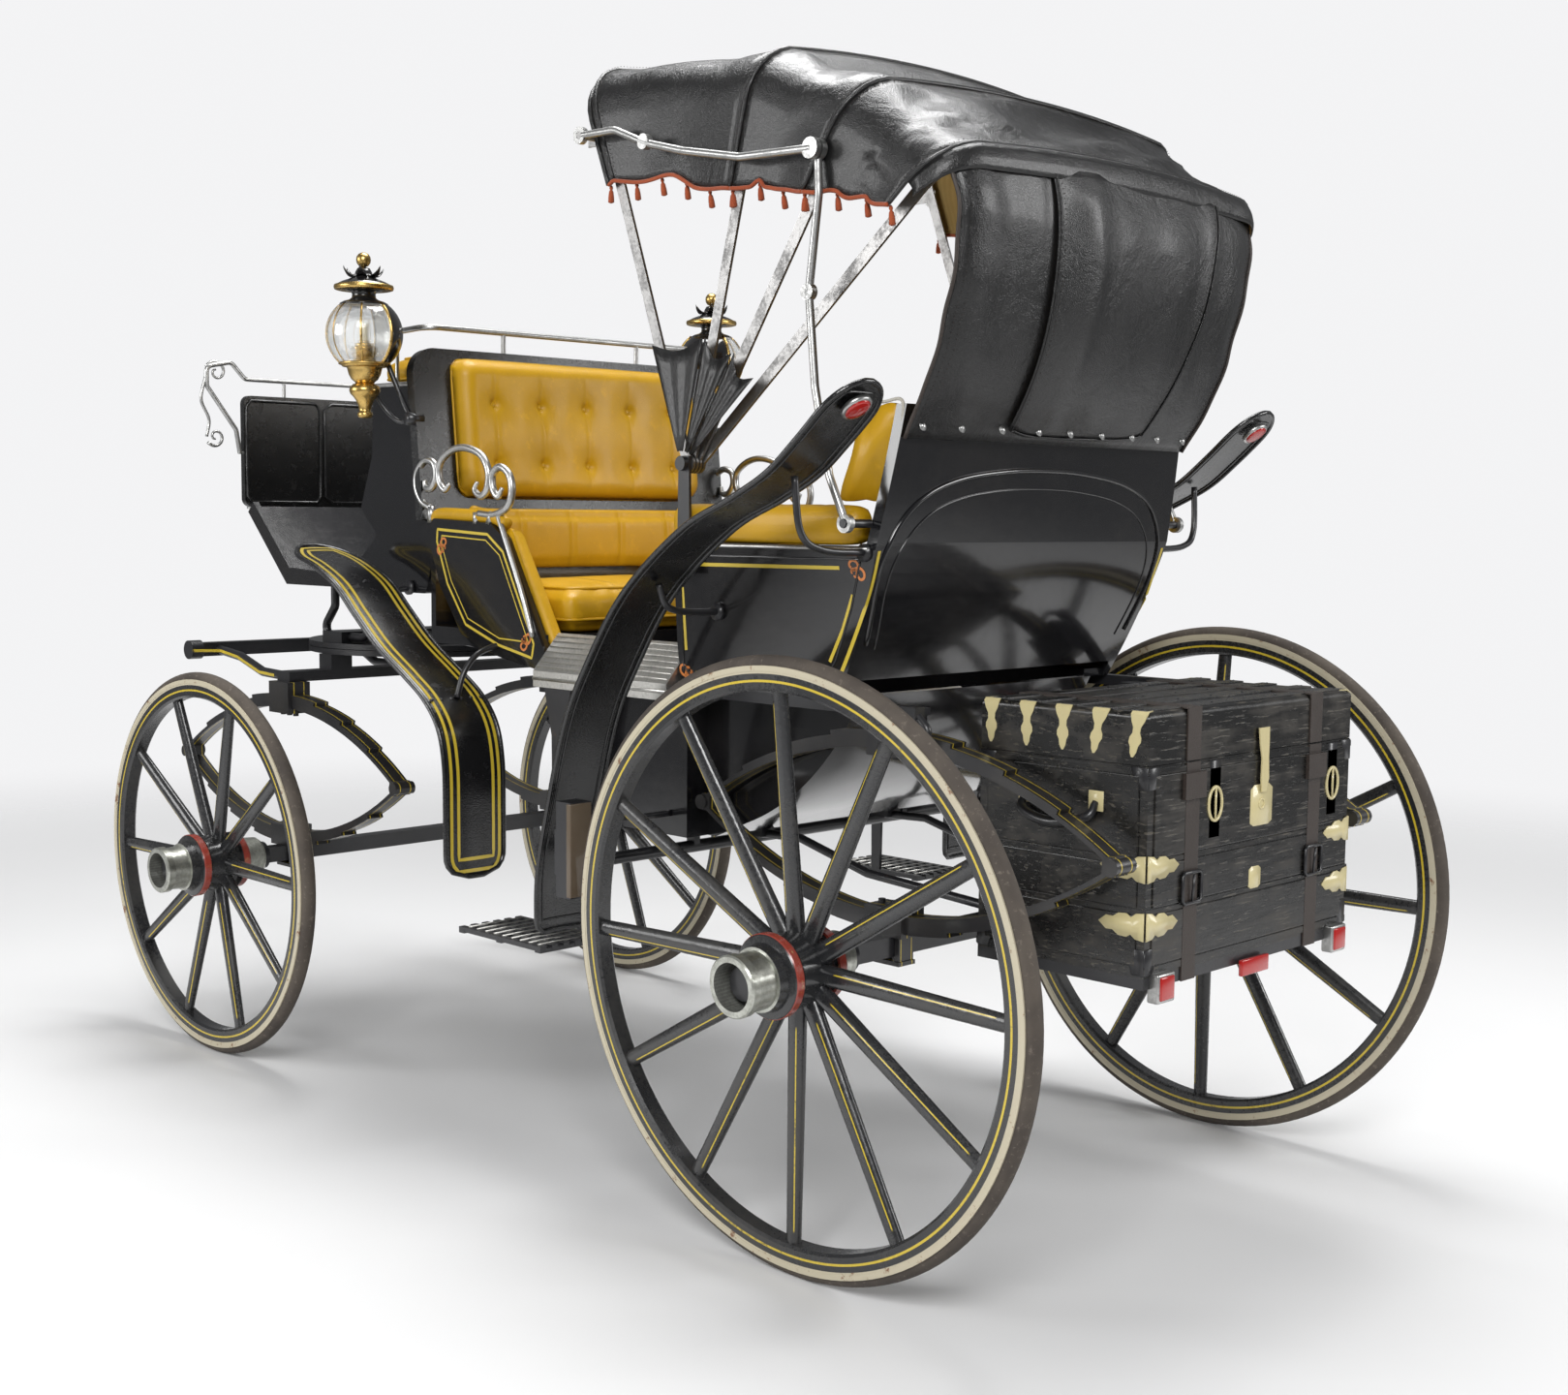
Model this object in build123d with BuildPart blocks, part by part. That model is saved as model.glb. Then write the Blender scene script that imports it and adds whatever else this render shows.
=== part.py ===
"""Horse drawn carriage: a vis-a-vis phaeton with a driver's box, a folding hood and a travelling trunk.

Millimetres. +X points forwards to the horses, +Y to the left, +Z up, and the wheels stand on Z = 0.
"""
from math import atan2, cos, radians, sin
import os

from build123d import *

os.makedirs("parts", exist_ok=True)

# Running gear
wheelbase = 2044.0
spring_half_length = 500.0
eye_radius = 15.0
eye_offset = 2.0
rear_wheel_diameter = 1120.0
front_wheel_diameter = 956.0
rear_track = 1363.0
front_track = 1346.0
rear_camber = 2.8
front_camber = 1.0
rear_spokes = 12
front_spokes = 10
rear_dish = 26.0
front_dish = 20.0
rear_axle_x = (rear_wheel_diameter / 2 - wheelbase - spring_half_length - eye_offset - eye_radius) / 2
front_axle_x = rear_axle_x + wheelbase

# Wheel sections
tyre_width = 36.0
tyre_depth = 24.0
channel_depth = 7.0
channel_wall = 3.0
felloe_depth = 35.0
felloe_width = 40.0
felloe_bevel = 5.0
spoke_root_width = 40.0
spoke_tip_width = 31.0
spoke_flattening = 0.72
nave_radius = 66.0
nave_band_radius = 77.0
nave_outer_length = 32.0
nave_inner_length = 60.0
hub_outer_reach = 137.0
hub_inner_reach = 137.0
cap_radius = 56.0
cap_bore_radius = 43.0
cap_bore_depth = 44.0
arm_radius = 21.0
arm_clearance = 0.6
axle_size = 38.0
axle_collar_radius = 34.0

# Springs
rear_arch = 154.0
front_arch = 158.0
leaf_thickness = 8.5
leaf_width = 44.0
leaf_shares = (1.0, 0.74, 0.5, 0.27)
front_spring_y = 438.0
rear_spring_y = 400.0
spring_seat = 6.0
clamp_length = 92.0
clamp_depth = 14.0

# Body
panel = 22.0
back_top_z = 1560.0
bead_z = 1304.0
sill_z = 1018.0
back_top_half = 437.0
back_rail_half = 462.0
back_foot_half = 415.0
door_half = 494.0
door_foot_half = 474.0
front_half = 474.0
door_rear_x = rear_axle_x + 515.0
door_front_x = rear_axle_x + 945.0
well_floor_z = 700.0
well_half_width = 425.0
well_wall = 18.0
well_front_x = rear_axle_x + 985.0
seat_board_z = 1095.0
seat_board = 18.0
quarter_front_x = rear_axle_x + 1372.0
soft_gap = 0.4

# Driver's place
driver_half = 450.0
driver_seat_z = 1650.0
boot_floor_z = 1168.0
boot_rear_x = rear_axle_x + 1398.0
floor_front_x = rear_axle_x + 2090.0
toe_top_x = rear_axle_x + 2276.0
toe_top_z = 1352.0
floor_half = 400.0
floor_board = 20.0
dash_x = rear_axle_x + 2280.0
dash_half = 425.0
dash_bottom_z = 1365.0
dash_top_z = 1655.0
dash_frame = 22.0
front_frame_half = 475.0
front_frame_low_z = 1340.0
front_frame_top_z = driver_seat_z + 85.0
front_frame_lean = 6.0

# Hood
pivot_x = rear_axle_x + 470.0
pivot_z = 1457.0
bow_width = 24.0
bow_thickness = 6.0
bow_layer = 9.0
hood_half = 507.0
leather = 5.0
shoulder_radius = 105.0
bow_gap = 9.0
crown_gap = 8.0
front_lip = 1.7
lip_drop = 10.0
fan_radius = 118.0

# Landau irons
knuckle_x = rear_axle_x + 745.0
knuckle_z = 2112.0
elbow_x = rear_axle_x + 100.0
elbow_z = 2010.0
landau_foot_x = rear_axle_x + 20.0
landau_foot_z = 1345.0
landau_rod = 15.0
lower_arm_y = 523.0
upper_arm_y = 539.0

# Turntable and front gear
turntable_radius = 300.0
turntable_face = 46.0
turntable_plate = 14.0
turntable_z = 1000.0
turntable_gap = 1.5
kingpin_radius = 14.0
kingpin_clearance = 0.6
bar_bottom_z = 921.0
bar_depth = 26.0
bar_half = 455.0
splinter_x = rear_axle_x + 2402.0
splinter_z = 985.0
splinter_half = 522.0
splinter_size = 36.0
draught_bolt_radius = 8.0
draught_bolt_y = 470.0

# Fenders, brake and steps
shoe_gap = 16.0
shoe_thickness = 44.0
fender_plate = 4.0
rear_fender_inner = 560.0
rear_fender_width = 142.0
front_fender_inner = 500.0
front_fender_width = 162.0
step_z = 480.0
step_x = rear_axle_x + 860.0
step_length = 280.0
step_inner = 500.0
step_width = 165.0
step_bars = 6

# Trunk
trunk_rear_x = rear_axle_x - 512.0
trunk_depth = 362.0
trunk_half = 337.0
trunk_bottom_z = 578.0
trunk_parting_z = 942.0
trunk_top_z = 1034.0
trunk_wall = 14.0
lid_gap = 1.0
rack_depth = 20.0
strap = 3.0
strap_width = 42.0
strap_y = 205.0

finished = []


def keep(block, label):
    """Label a finished piece and write it out."""
    block.part.label = label
    export_step(block.part, f"parts/{label}.step")
    finished.append(block.part)


def both_sides(shape):
    """The shape and its mirror image across the carriage's middle plane."""
    return shape + shape.mirror(Plane.XZ)


def rod(points, diameter, bend):
    """A round iron along straight runs with bends of one radius."""
    with BuildPart() as iron:
        with BuildLine() as path:
            if len(points) > 2:
                FilletPolyline(*points, radius=bend)
            else:
                Line(*points)
        with BuildSketch(Plane(origin=path.line @ 0, z_dir=path.line % 0)):
            Circle(diameter / 2)
        sweep()
    return iron.part


def plate(points, y_low, y_high, bends=0.0):
    """A plate whose outline in the side view is given, from one Y to another."""
    with BuildPart() as slab:
        with BuildSketch(Plane.XZ.offset(-y_high)):
            with BuildLine():
                if bends:
                    FilletPolyline(*points, radius=bends, close=True)
                else:
                    Polyline(*points, close=True)
            make_face()
        extrude(amount=y_high - y_low)
    return slab.part


def block(x, y, z, sizes):
    """A plain block centred on a point."""
    with BuildPart(Plane(origin=(x, y, z))) as piece:
        Box(*sizes)
    return piece.part


def disc(x, y, z, radius, length, direction=(0, 1, 0)):
    """A round boss centred on a point, along a direction."""
    with BuildPart(Plane(origin=(x, y, z), z_dir=direction)) as piece:
        Cylinder(radius, length)
    return piece.part


# Wheels: each is made about its own spin axis and then stood at its camber
def tyre_profile_radii(diameter):
    """Outside radius, seat radius and felloe radii of a wheel."""
    outside = diameter / 2
    seat = outside - tyre_depth
    return outside, seat, seat - channel_wall, seat - channel_wall - felloe_depth


def wood_wheel(diameter, spokes, dish):
    """Nave, spokes, felloe and steel channel, with the spin axis along Z and the outside face up."""
    outside, seat, felloe_outer, felloe_inner = tyre_profile_radii(diameter)
    lip = seat + channel_depth
    half = felloe_width / 2
    channel_half = tyre_width / 2
    with BuildPart() as wheel:
        with BuildSketch(Plane.XZ):
            with BuildLine():
                Polyline(
                    (felloe_inner, -half + felloe_bevel),
                    (felloe_inner + felloe_bevel, -half),
                    (felloe_outer, -half),
                    (felloe_outer, -channel_half - channel_wall),
                    (lip, -channel_half - channel_wall),
                    (lip, -channel_half),
                    (seat, -channel_half),
                    (seat, channel_half),
                    (lip, channel_half),
                    (lip, channel_half + channel_wall),
                    (felloe_outer, channel_half + channel_wall),
                    (felloe_outer, half),
                    (felloe_inner + felloe_bevel, half),
                    (felloe_inner, half - felloe_bevel),
                    close=True,
                )
            make_face()
        revolve(axis=Axis.Z)
        bore = arm_radius + arm_clearance
        outer = hub_outer_reach
        with BuildSketch(Plane.XZ):
            with BuildLine():
                Polyline(
                    (bore, -hub_inner_reach),
                    (axle_collar_radius + 8, -hub_inner_reach),
                    (axle_collar_radius + 14, -hub_inner_reach + 8),
                    (axle_collar_radius + 18, -dish - nave_inner_length),
                    (nave_radius, -dish - nave_inner_length),
                    (nave_radius + 4, -dish - nave_inner_length + 6),
                    (nave_radius + 4, -dish - nave_inner_length + 22),
                    (nave_radius - 4, -dish - nave_inner_length + 24),
                    (nave_radius + 4, -dish),
                    (nave_radius, nave_outer_length - 6),
                    (nave_band_radius - 2, nave_outer_length - 2),
                    (nave_band_radius, nave_outer_length + 3),
                    (nave_band_radius, nave_outer_length + 17),
                    (nave_band_radius - 3, nave_outer_length + 21),
                    (nave_radius - 4, nave_outer_length + 23),
                    (nave_radius - 8, nave_outer_length + 44),
                    (cap_radius - 3, nave_outer_length + 45),
                    (cap_radius - 5, outer - 22),
                    (cap_radius, outer - 19),
                    (cap_radius, outer - 3),
                    (cap_radius - 3, outer),
                    (cap_bore_radius, outer),
                    (cap_bore_radius, outer - cap_bore_depth),
                    (bore, outer - cap_bore_depth),
                    close=True,
                )
            make_face()
        revolve(axis=Axis.Z)
        root = nave_radius - 14
        tip = felloe_inner + 4
        for k in range(spokes):
            turn = radians(k * 360 / spokes)
            along = Vector(cos(turn), sin(turn), dish / (tip - root))
            side = Vector(-sin(turn), cos(turn), 0)
            start = Vector(root * cos(turn), root * sin(turn), -dish)
            with BuildSketch(Plane(origin=start, x_dir=side, z_dir=along)):
                Ellipse(spoke_root_width / 2, spoke_root_width / 2 * spoke_flattening)
            end = start + along * (tip - root)
            with BuildSketch(Plane(origin=end, x_dir=side, z_dir=along)):
                Ellipse(spoke_tip_width / 2, spoke_tip_width / 2 * spoke_flattening)
            loft()
    return wheel.part


def rubber_tyre(diameter):
    """Solid tyre that seats in the steel channel."""
    outside, seat, felloe_outer, felloe_inner = tyre_profile_radii(diameter)
    half = tyre_width / 2
    shoulder = outside - half
    with BuildPart() as tyre:
        with BuildSketch(Plane.XZ):
            with BuildLine():
                Line((seat, -half), (seat, half))
                Line((seat, half), (shoulder, half))
                ThreePointArc((shoulder, half), (outside, 0), (shoulder, -half))
                Line((shoulder, -half), (seat, -half))
            make_face()
        revolve(axis=Axis.Z)
    return tyre.part


def wheel_centre_z(diameter, camber):
    """Height of a cambered wheel's centre when its tyre touches the ground."""
    half = tyre_width / 2
    return (diameter / 2 - half) * cos(radians(camber)) + half


rear_wheel_z = wheel_centre_z(rear_wheel_diameter, rear_camber)
front_wheel_z = wheel_centre_z(front_wheel_diameter, front_camber)

# name, side, axle x, track, height, camber, diameter, spokes, dish
wheel_table = [
    ("rear_left", 1, rear_axle_x, rear_track, rear_wheel_z, rear_camber, rear_wheel_diameter, rear_spokes,
     rear_dish),
    ("rear_right", -1, rear_axle_x, rear_track, rear_wheel_z, rear_camber, rear_wheel_diameter, rear_spokes,
     rear_dish),
    ("front_left", 1, front_axle_x, front_track, front_wheel_z, front_camber, front_wheel_diameter,
     front_spokes, front_dish),
    ("front_right", -1, front_axle_x, front_track, front_wheel_z, front_camber, front_wheel_diameter,
     front_spokes, front_dish),
]

for name, side, axle_x, track, height, camber, diameter, spokes, dish in wheel_table:
    out = Vector(0, side * cos(radians(camber)), -sin(radians(camber)))
    stand = Plane(origin=(axle_x, side * track / 2, height), x_dir=(1, 0, 0), z_dir=out).location
    with BuildPart() as wheel:
        add(wood_wheel(diameter, spokes, dish).moved(stand))
    keep(wheel, f"wheel_{name}")
    with BuildPart() as tyre:
        add(rubber_tyre(diameter).moved(stand))
    keep(tyre, f"tyre_{name}")


# Axles
def axle(axle_x, track, height, camber):
    """Square bed between the wheels with round arms, collars and end nuts."""
    tilt = radians(camber)
    inner_y = track / 2 - (hub_inner_reach + 12) * cos(tilt)
    bed_z = height + (hub_inner_reach + 12) * sin(tilt)
    bed = block(axle_x, 0, bed_z, (axle_size, 2 * inner_y, axle_size))
    out = Vector(0, cos(tilt), -sin(tilt))
    hub = Vector(axle_x, track / 2, height)
    arm_length = hub_inner_reach + 12 + hub_outer_reach - cap_bore_depth + 18
    arm_mid = hub + out * (hub_outer_reach - cap_bore_depth + 18 - arm_length / 2)
    arm = disc(*arm_mid, arm_radius, arm_length, out)
    nut = disc(*(hub + out * (hub_outer_reach - cap_bore_depth + 11)), 30, 14, out)
    collar = disc(*(hub - out * (hub_inner_reach + 9)), axle_collar_radius, 14, out)
    return bed + both_sides(arm + nut + collar)


with BuildPart() as rear_axle:
    add(axle(rear_axle_x, rear_track, rear_wheel_z, rear_camber))
keep(rear_axle, "rear_axle")

with BuildPart() as front_axle:
    add(axle(front_axle_x, front_track, front_wheel_z, front_camber))
keep(front_axle, "front_axle")

rear_bed_z = rear_wheel_z + (hub_inner_reach + 12) * sin(radians(rear_camber))
front_bed_z = front_wheel_z + (hub_inner_reach + 12) * sin(radians(front_camber))


# Elliptic springs
def half_spring(centre_x, y, eye_z, arch, up):
    """A pack of arched leaves from eye to eye, with the longest leaf inside the ellipse."""
    radius = (spring_half_length**2 + arch**2) / (2 * arch)
    centre_z = eye_z + up * (arch - radius)
    pack = None
    for k, share in enumerate(leaf_shares):
        half_angle = share * atan2(spring_half_length, radius - arch)
        with BuildPart() as leaf:
            with BuildSketch(Plane.XZ.offset(-(y + leaf_width / 2))):
                with BuildLine():
                    ends = []
                    for r in (radius + k * leaf_thickness, radius + (k + 1) * leaf_thickness):
                        low = (centre_x - r * sin(half_angle), centre_z + up * r * cos(half_angle))
                        high = (centre_x + r * sin(half_angle), centre_z + up * r * cos(half_angle))
                        ThreePointArc(low, (centre_x, centre_z + up * r), high)
                        ends.append((low, high))
                    Line(ends[0][0], ends[1][0])
                    Line(ends[0][1], ends[1][1])
                make_face()
            extrude(amount=leaf_width)
        pack = leaf.part if pack is None else pack + leaf.part
    return pack


pack_depth = leaf_thickness * len(leaf_shares)


def clamp_block(centre_x, y, low_z, high_z, head_z):
    """Cast block round a spring's middle with three bolt heads on one face."""
    clamp = block(centre_x, y, (low_z + high_z) / 2, (clamp_length, leaf_width + 20, high_z - low_z))
    for k in (-1, 0, 1):
        clamp = clamp + disc(centre_x + k * 30, y, head_z, 7, 16, (0, 0, 1))
    return clamp


def elliptic_spring(centre_x, y, seat_z, arch, saddle_z):
    """Two half springs joined at their eyes, clamped to the axle below and to the saddle above."""
    bottom_z = seat_z + spring_seat
    eye_z = bottom_z + pack_depth + arch
    top_z = eye_z + arch + pack_depth
    spring = half_spring(centre_x, y, eye_z, arch, 1) + half_spring(centre_x, y, eye_z, arch, -1)
    for end in (-1, 1):
        knuckle = disc(centre_x + end * (spring_half_length + eye_offset), y, eye_z, eye_radius, leaf_width + 12)
        cheek = block(centre_x + end * (spring_half_length - 8), y, eye_z, (22, leaf_width, 34))
        spring = spring + knuckle + cheek
    low_face = bottom_z + pack_depth + clamp_depth
    high_face = top_z - pack_depth - clamp_depth
    low_clamp = clamp_block(centre_x, y, seat_z, low_face, low_face)
    high_clamp = clamp_block(centre_x, y, high_face, saddle_z, high_face)
    strap_low = seat_z - axle_size - 9
    for side in (-1, 1):
        leg_x = centre_x + side * (axle_size / 2 + 7)
        low_clamp = low_clamp + block(leg_x, y, (strap_low + seat_z) / 2, (11, 40, seat_z - strap_low))
    low_clamp = low_clamp + block(centre_x, y, strap_low - 4, (axle_size + 30, 46, 8))
    return spring + low_clamp + high_clamp


rear_seat_z = rear_bed_z + axle_size / 2
front_seat_z = front_bed_z + axle_size / 2
rear_spring_top = rear_seat_z + spring_seat + 2 * (rear_arch + pack_depth)
front_spring_top = front_seat_z + spring_seat + 2 * (front_arch + pack_depth)
handle_bottom_z = sill_z - 22.0

with BuildPart() as rear_springs:
    rear_left = elliptic_spring(rear_axle_x, rear_spring_y, rear_seat_z, rear_arch, handle_bottom_z)
    add(both_sides(rear_left))
keep(rear_springs, "rear_springs")

with BuildPart() as front_springs:
    front_left = elliptic_spring(front_axle_x, front_spring_y, front_seat_z, front_arch, bar_bottom_z)
    add(both_sides(front_left))
keep(front_springs, "front_springs")


# Rear body: curved back, side panels that taper to the rear and downwards, seat board and sill flanges
def side_shell(rear_x, rear_top, rear_foot, front_x, front_top, front_foot, low_z, high_z):
    """A side panel whose half widths are given at its two ends, at its top and at its foot."""
    with BuildPart() as shell:
        for x, top, foot in ((rear_x, rear_top, rear_foot), (front_x, front_top, front_foot)):
            with BuildSketch(Plane(origin=(x, 0, 0), x_dir=(0, 1, 0), z_dir=(1, 0, 0))):
                with BuildLine():
                    Polyline(
                        (top, high_z),
                        (foot, low_z),
                        (foot - panel, low_z),
                        (top - panel, high_z),
                        close=True,
                    )
                make_face()
        loft(ruled=True)
    return shell.part


def back_curve(shift):
    """The lines of the back from the top to its foot, moved forwards by a wall's thickness."""
    x = rear_axle_x + shift
    return [
        ((x - 45, back_top_z), (x - 24, 1430), (x, 1310)),
        ((x, 1310), (x + 42, 1185), (x + 105, 1050)),
    ]


with BuildPart() as back_panel:
    with BuildSketch(Plane.XZ.offset(-back_rail_half)):
        with BuildLine():
            outer = back_curve(0)
            inner = back_curve(panel + 2)
            for run in outer + inner:
                ThreePointArc(*run)
            Line(outer[0][0], inner[0][0])
            Line(outer[1][2], inner[1][2])
        make_face()
    extrude(amount=2 * back_rail_half)
    with BuildSketch(Plane.YZ.offset(rear_axle_x - 200)):
        with BuildLine():
            Polyline(
                (back_foot_half, 1040),
                (back_rail_half, 1310),
                (back_top_half, back_top_z + 1),
                (-back_top_half, back_top_z + 1),
                (-back_rail_half, 1310),
                (-back_foot_half, 1040),
                close=True,
            )
        make_face()
    extrude(amount=500, mode=Mode.INTERSECT)

with BuildPart() as rear_side:
    add(side_shell(rear_axle_x, back_rail_half, back_foot_half,
                   door_rear_x, door_half, door_foot_half, sill_z, bead_z))
    with BuildSketch(Plane.XZ.offset(-600)):
        with BuildLine():
            ThreePointArc(*back_curve(0)[1])
            Line((rear_axle_x + 105, 1050), (rear_axle_x + 122, sill_z))
            Line((rear_axle_x + 122, sill_z), (door_rear_x - 12, sill_z))
            ThreePointArc((door_rear_x - 12, sill_z), (door_rear_x - 3, 1060), (door_rear_x, 1110))
            Line((door_rear_x, 1110), (door_rear_x, 1310))
            Line((door_rear_x, 1310), (rear_axle_x, 1310))
        make_face()
    extrude(amount=600, mode=Mode.INTERSECT)

seat_front_x = door_rear_x
spring_space_half = 366.0
spring_space_x = rear_axle_x + 545

with BuildPart() as rear_body:
    add(back_panel.part)
    add(both_sides(rear_side.part))
    add(block((rear_axle_x + 95 + seat_front_x) / 2, 0, seat_board_z - seat_board / 2,
              (seat_front_x - rear_axle_x - 95, 2 * (back_foot_half + 4), seat_board)))
    ledge_half = (spring_space_half - well_wall, back_foot_half + 16)
    ledge = block((rear_axle_x + 125 + door_rear_x - 12) / 2, sum(ledge_half) / 2, sill_z + 8,
                  (door_rear_x - 12 - rear_axle_x - 125, ledge_half[1] - ledge_half[0], 16))
    add(both_sides(ledge))
keep(rear_body, "rear_body")

# Footwell: an open trough that rises to the back under the rear seat, narrower there between the springs
def trough(half, narrow_half, narrow_x, wall):
    """The trough's outside, or its inside when the wall is taken off."""
    x = rear_axle_x
    floor_z = well_floor_z + wall
    front = well_front_x - wall
    rear = x + 122 + wall * 1.25
    with BuildPart() as body:
        with BuildSketch(Plane.XZ.offset(-half)):
            with BuildLine():
                slope_foot = (x + 430 + wall * 0.4, 738 + wall)
                ThreePointArc((rear, sill_z), (x + 236 + wall * 0.8, 862 + wall * 0.6), slope_foot)
                Line(slope_foot, (x + 520, floor_z))
                Line((x + 520, floor_z), (front - 55, floor_z))
                Line((front - 55, floor_z), (front, 760))
                Line((front, 760), (front, sill_z))
                Line((front, sill_z), (rear, sill_z))
            make_face()
        extrude(amount=2 * half)
        for side in (-1, 1):
            with Locations((narrow_x - 400, side * (narrow_half + 100), well_floor_z)):
                Box(800, 200, 900, mode=Mode.SUBTRACT)
    return body.part


with BuildPart() as footwell:
    add(trough(well_half_width, spring_space_half, spring_space_x, 0))
    inside = trough(well_half_width - well_wall, spring_space_half - well_wall,
                    spring_space_x + well_wall, well_wall)
    add(inside, mode=Mode.SUBTRACT)
keep(footwell, "footwell")

# Door sills: a timber wedge each side that carries the slanting tread
with BuildPart() as sill_treads:
    with BuildSketch(Plane.YZ.offset(door_rear_x + 1)):
        with BuildLine():
            Polyline(
                (well_half_width - well_wall, sill_z),
                (well_half_width - well_wall, sill_z + 74),
                (well_half_width + 14, sill_z + 82),
                (508, sill_z + 4),
                (508, sill_z - 30),
                (well_half_width, sill_z - 30),
                (well_half_width, sill_z),
                close=True,
            )
        make_face()
    extrude(amount=door_front_x - door_rear_x - 2)
    mirror(about=Plane.XZ)
keep(sill_treads, "sill_treads")

# Front body: side quarters, bottom board and seat board
quarter = [
    (rear_axle_x + 1362, 1343),
    (rear_axle_x + 1140, 1334),
    (rear_axle_x + 1092, 1302),
    (door_front_x + 2, 1057),
    (door_front_x + 16, sill_z),
    (rear_axle_x + 1110, 1040),
    (rear_axle_x + 1250, 1083),
    (rear_axle_x + 1330, 1190),
    (quarter_front_x, 1290),
]
with BuildPart() as front_body:
    add(plate(quarter, front_half - panel, front_half, 14))
    mirror(about=Plane.XZ)
    base = [
        (rear_axle_x + 962, sill_z),
        (rear_axle_x + 1110, 1036),
        (rear_axle_x + 1250, 1056),
        (rear_axle_x + 1378, 1056),
        (boot_rear_x - 2, 1074),
        (boot_rear_x - 2, front_frame_low_z - 5),
        (boot_rear_x - 20, front_frame_low_z - 5),
        (boot_rear_x - 20, seat_board_z),
        (rear_axle_x + 962, seat_board_z),
    ]
    add(plate(base, -front_half + panel, front_half - panel))
keep(front_body, "front_body")


# Soft pieces
def cushion(x_low, x_high, half, z_low, z_high, soft):
    """A cushion block across the carriage with all its edges rounded."""
    with BuildPart(Plane(origin=((x_low + x_high) / 2, 0, (z_low + z_high) / 2))) as pad:
        Box(x_high - x_low, 2 * half, z_high - z_low)
        fillet(pad.edges(), radius=soft)
    return pad.part


with BuildPart() as rear_seat_cushion:
    add(cushion(rear_axle_x + 134, seat_front_x + 34, 404, seat_board_z + soft_gap, seat_board_z + 140, 26))
keep(rear_seat_cushion, "rear_seat_cushion")

with BuildPart() as front_seat_cushion:
    add(cushion(rear_axle_x + 952, rear_axle_x + 1334, 404, seat_board_z + soft_gap, seat_board_z + 118, 26))
keep(front_seat_cushion, "front_seat_cushion")

back_pad_points = [
    (rear_axle_x + 62, seat_board_z + 150),
    (rear_axle_x + 27, 1310),
    (rear_axle_x - 20, back_top_z + 4),
    (rear_axle_x + 42, back_top_z + 4),
    (rear_axle_x + 92, 1310),
    (rear_axle_x + 128, seat_board_z + 150),
]
with BuildPart() as rear_back_pad:
    add(plate(back_pad_points, -back_foot_half + 10, back_foot_half - 10, 12))
    wing = [
        (rear_axle_x + 8, bead_z + 84),
        (rear_axle_x - 19, back_top_z - 2),
        (rear_axle_x + 66, back_top_z - 8),
        (rear_axle_x + 120, bead_z + 84),
    ]
    add(both_sides(plate(wing, back_foot_half - 30, back_top_half - 1, 10)))
keep(rear_back_pad, "rear_back_pad")

with BuildPart() as arm_pads:
    with BuildPart(Plane(origin=((rear_axle_x + 36 + door_rear_x + 14) / 2, 449, bead_z + 37.4))) as pad:
        Box(door_rear_x + 14 - rear_axle_x - 36, 62, 74)
        fillet(pad.edges(), radius=24)
    add(both_sides(pad.part.rotate(Axis((rear_axle_x + 36, 449, 0), (0, 0, 1)), 1.6)))
keep(arm_pads, "arm_pads")

with BuildPart() as front_lower_pad:
    pad_front = boot_rear_x - 20 - soft_gap
    pad_z = (seat_board_z + 120 + front_frame_low_z + 34) / 2
    with BuildPart(Plane(origin=(pad_front - 20, 0, pad_z))) as pad:
        Box(40, 744, front_frame_low_z + 34 - seat_board_z - 120)
        fillet(pad.edges(), radius=12)
    add(pad.part)
keep(front_lower_pad, "front_lower_pad")

lean_plane = Plane(
    origin=(boot_rear_x - 4, 0, front_frame_low_z),
    x_dir=(0, 1, 0),
    z_dir=(cos(radians(front_frame_lean)), 0, -sin(radians(front_frame_lean))),
)
frame_height = (front_frame_top_z - front_frame_low_z) / cos(radians(front_frame_lean))

with BuildPart() as front_back_frame:
    with BuildSketch(lean_plane):
        with Locations((0, frame_height / 2)):
            Rectangle(2 * front_frame_half, frame_height)

    extrude(amount=26)
    top_corners = front_back_frame.edges().filter_by(lambda e: e.length < 30).group_by(Axis.Z)[-1]
    fillet(top_corners, radius=62)
keep(front_back_frame, "front_back_frame")

with BuildPart() as front_quilted_back:
    with BuildSketch(lean_plane):
        with Locations((0, frame_height / 2 + 14)):
            RectangleRounded(744, frame_height - 70, 30)
    extrude(amount=-48 - soft_gap)
    with BuildSketch(lean_plane):
        with Locations((0, frame_height / 2 + 14)):
            RectangleRounded(760, frame_height, 30)
    extrude(amount=-soft_gap, mode=Mode.SUBTRACT)
keep(front_quilted_back, "front_quilted_back")

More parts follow.
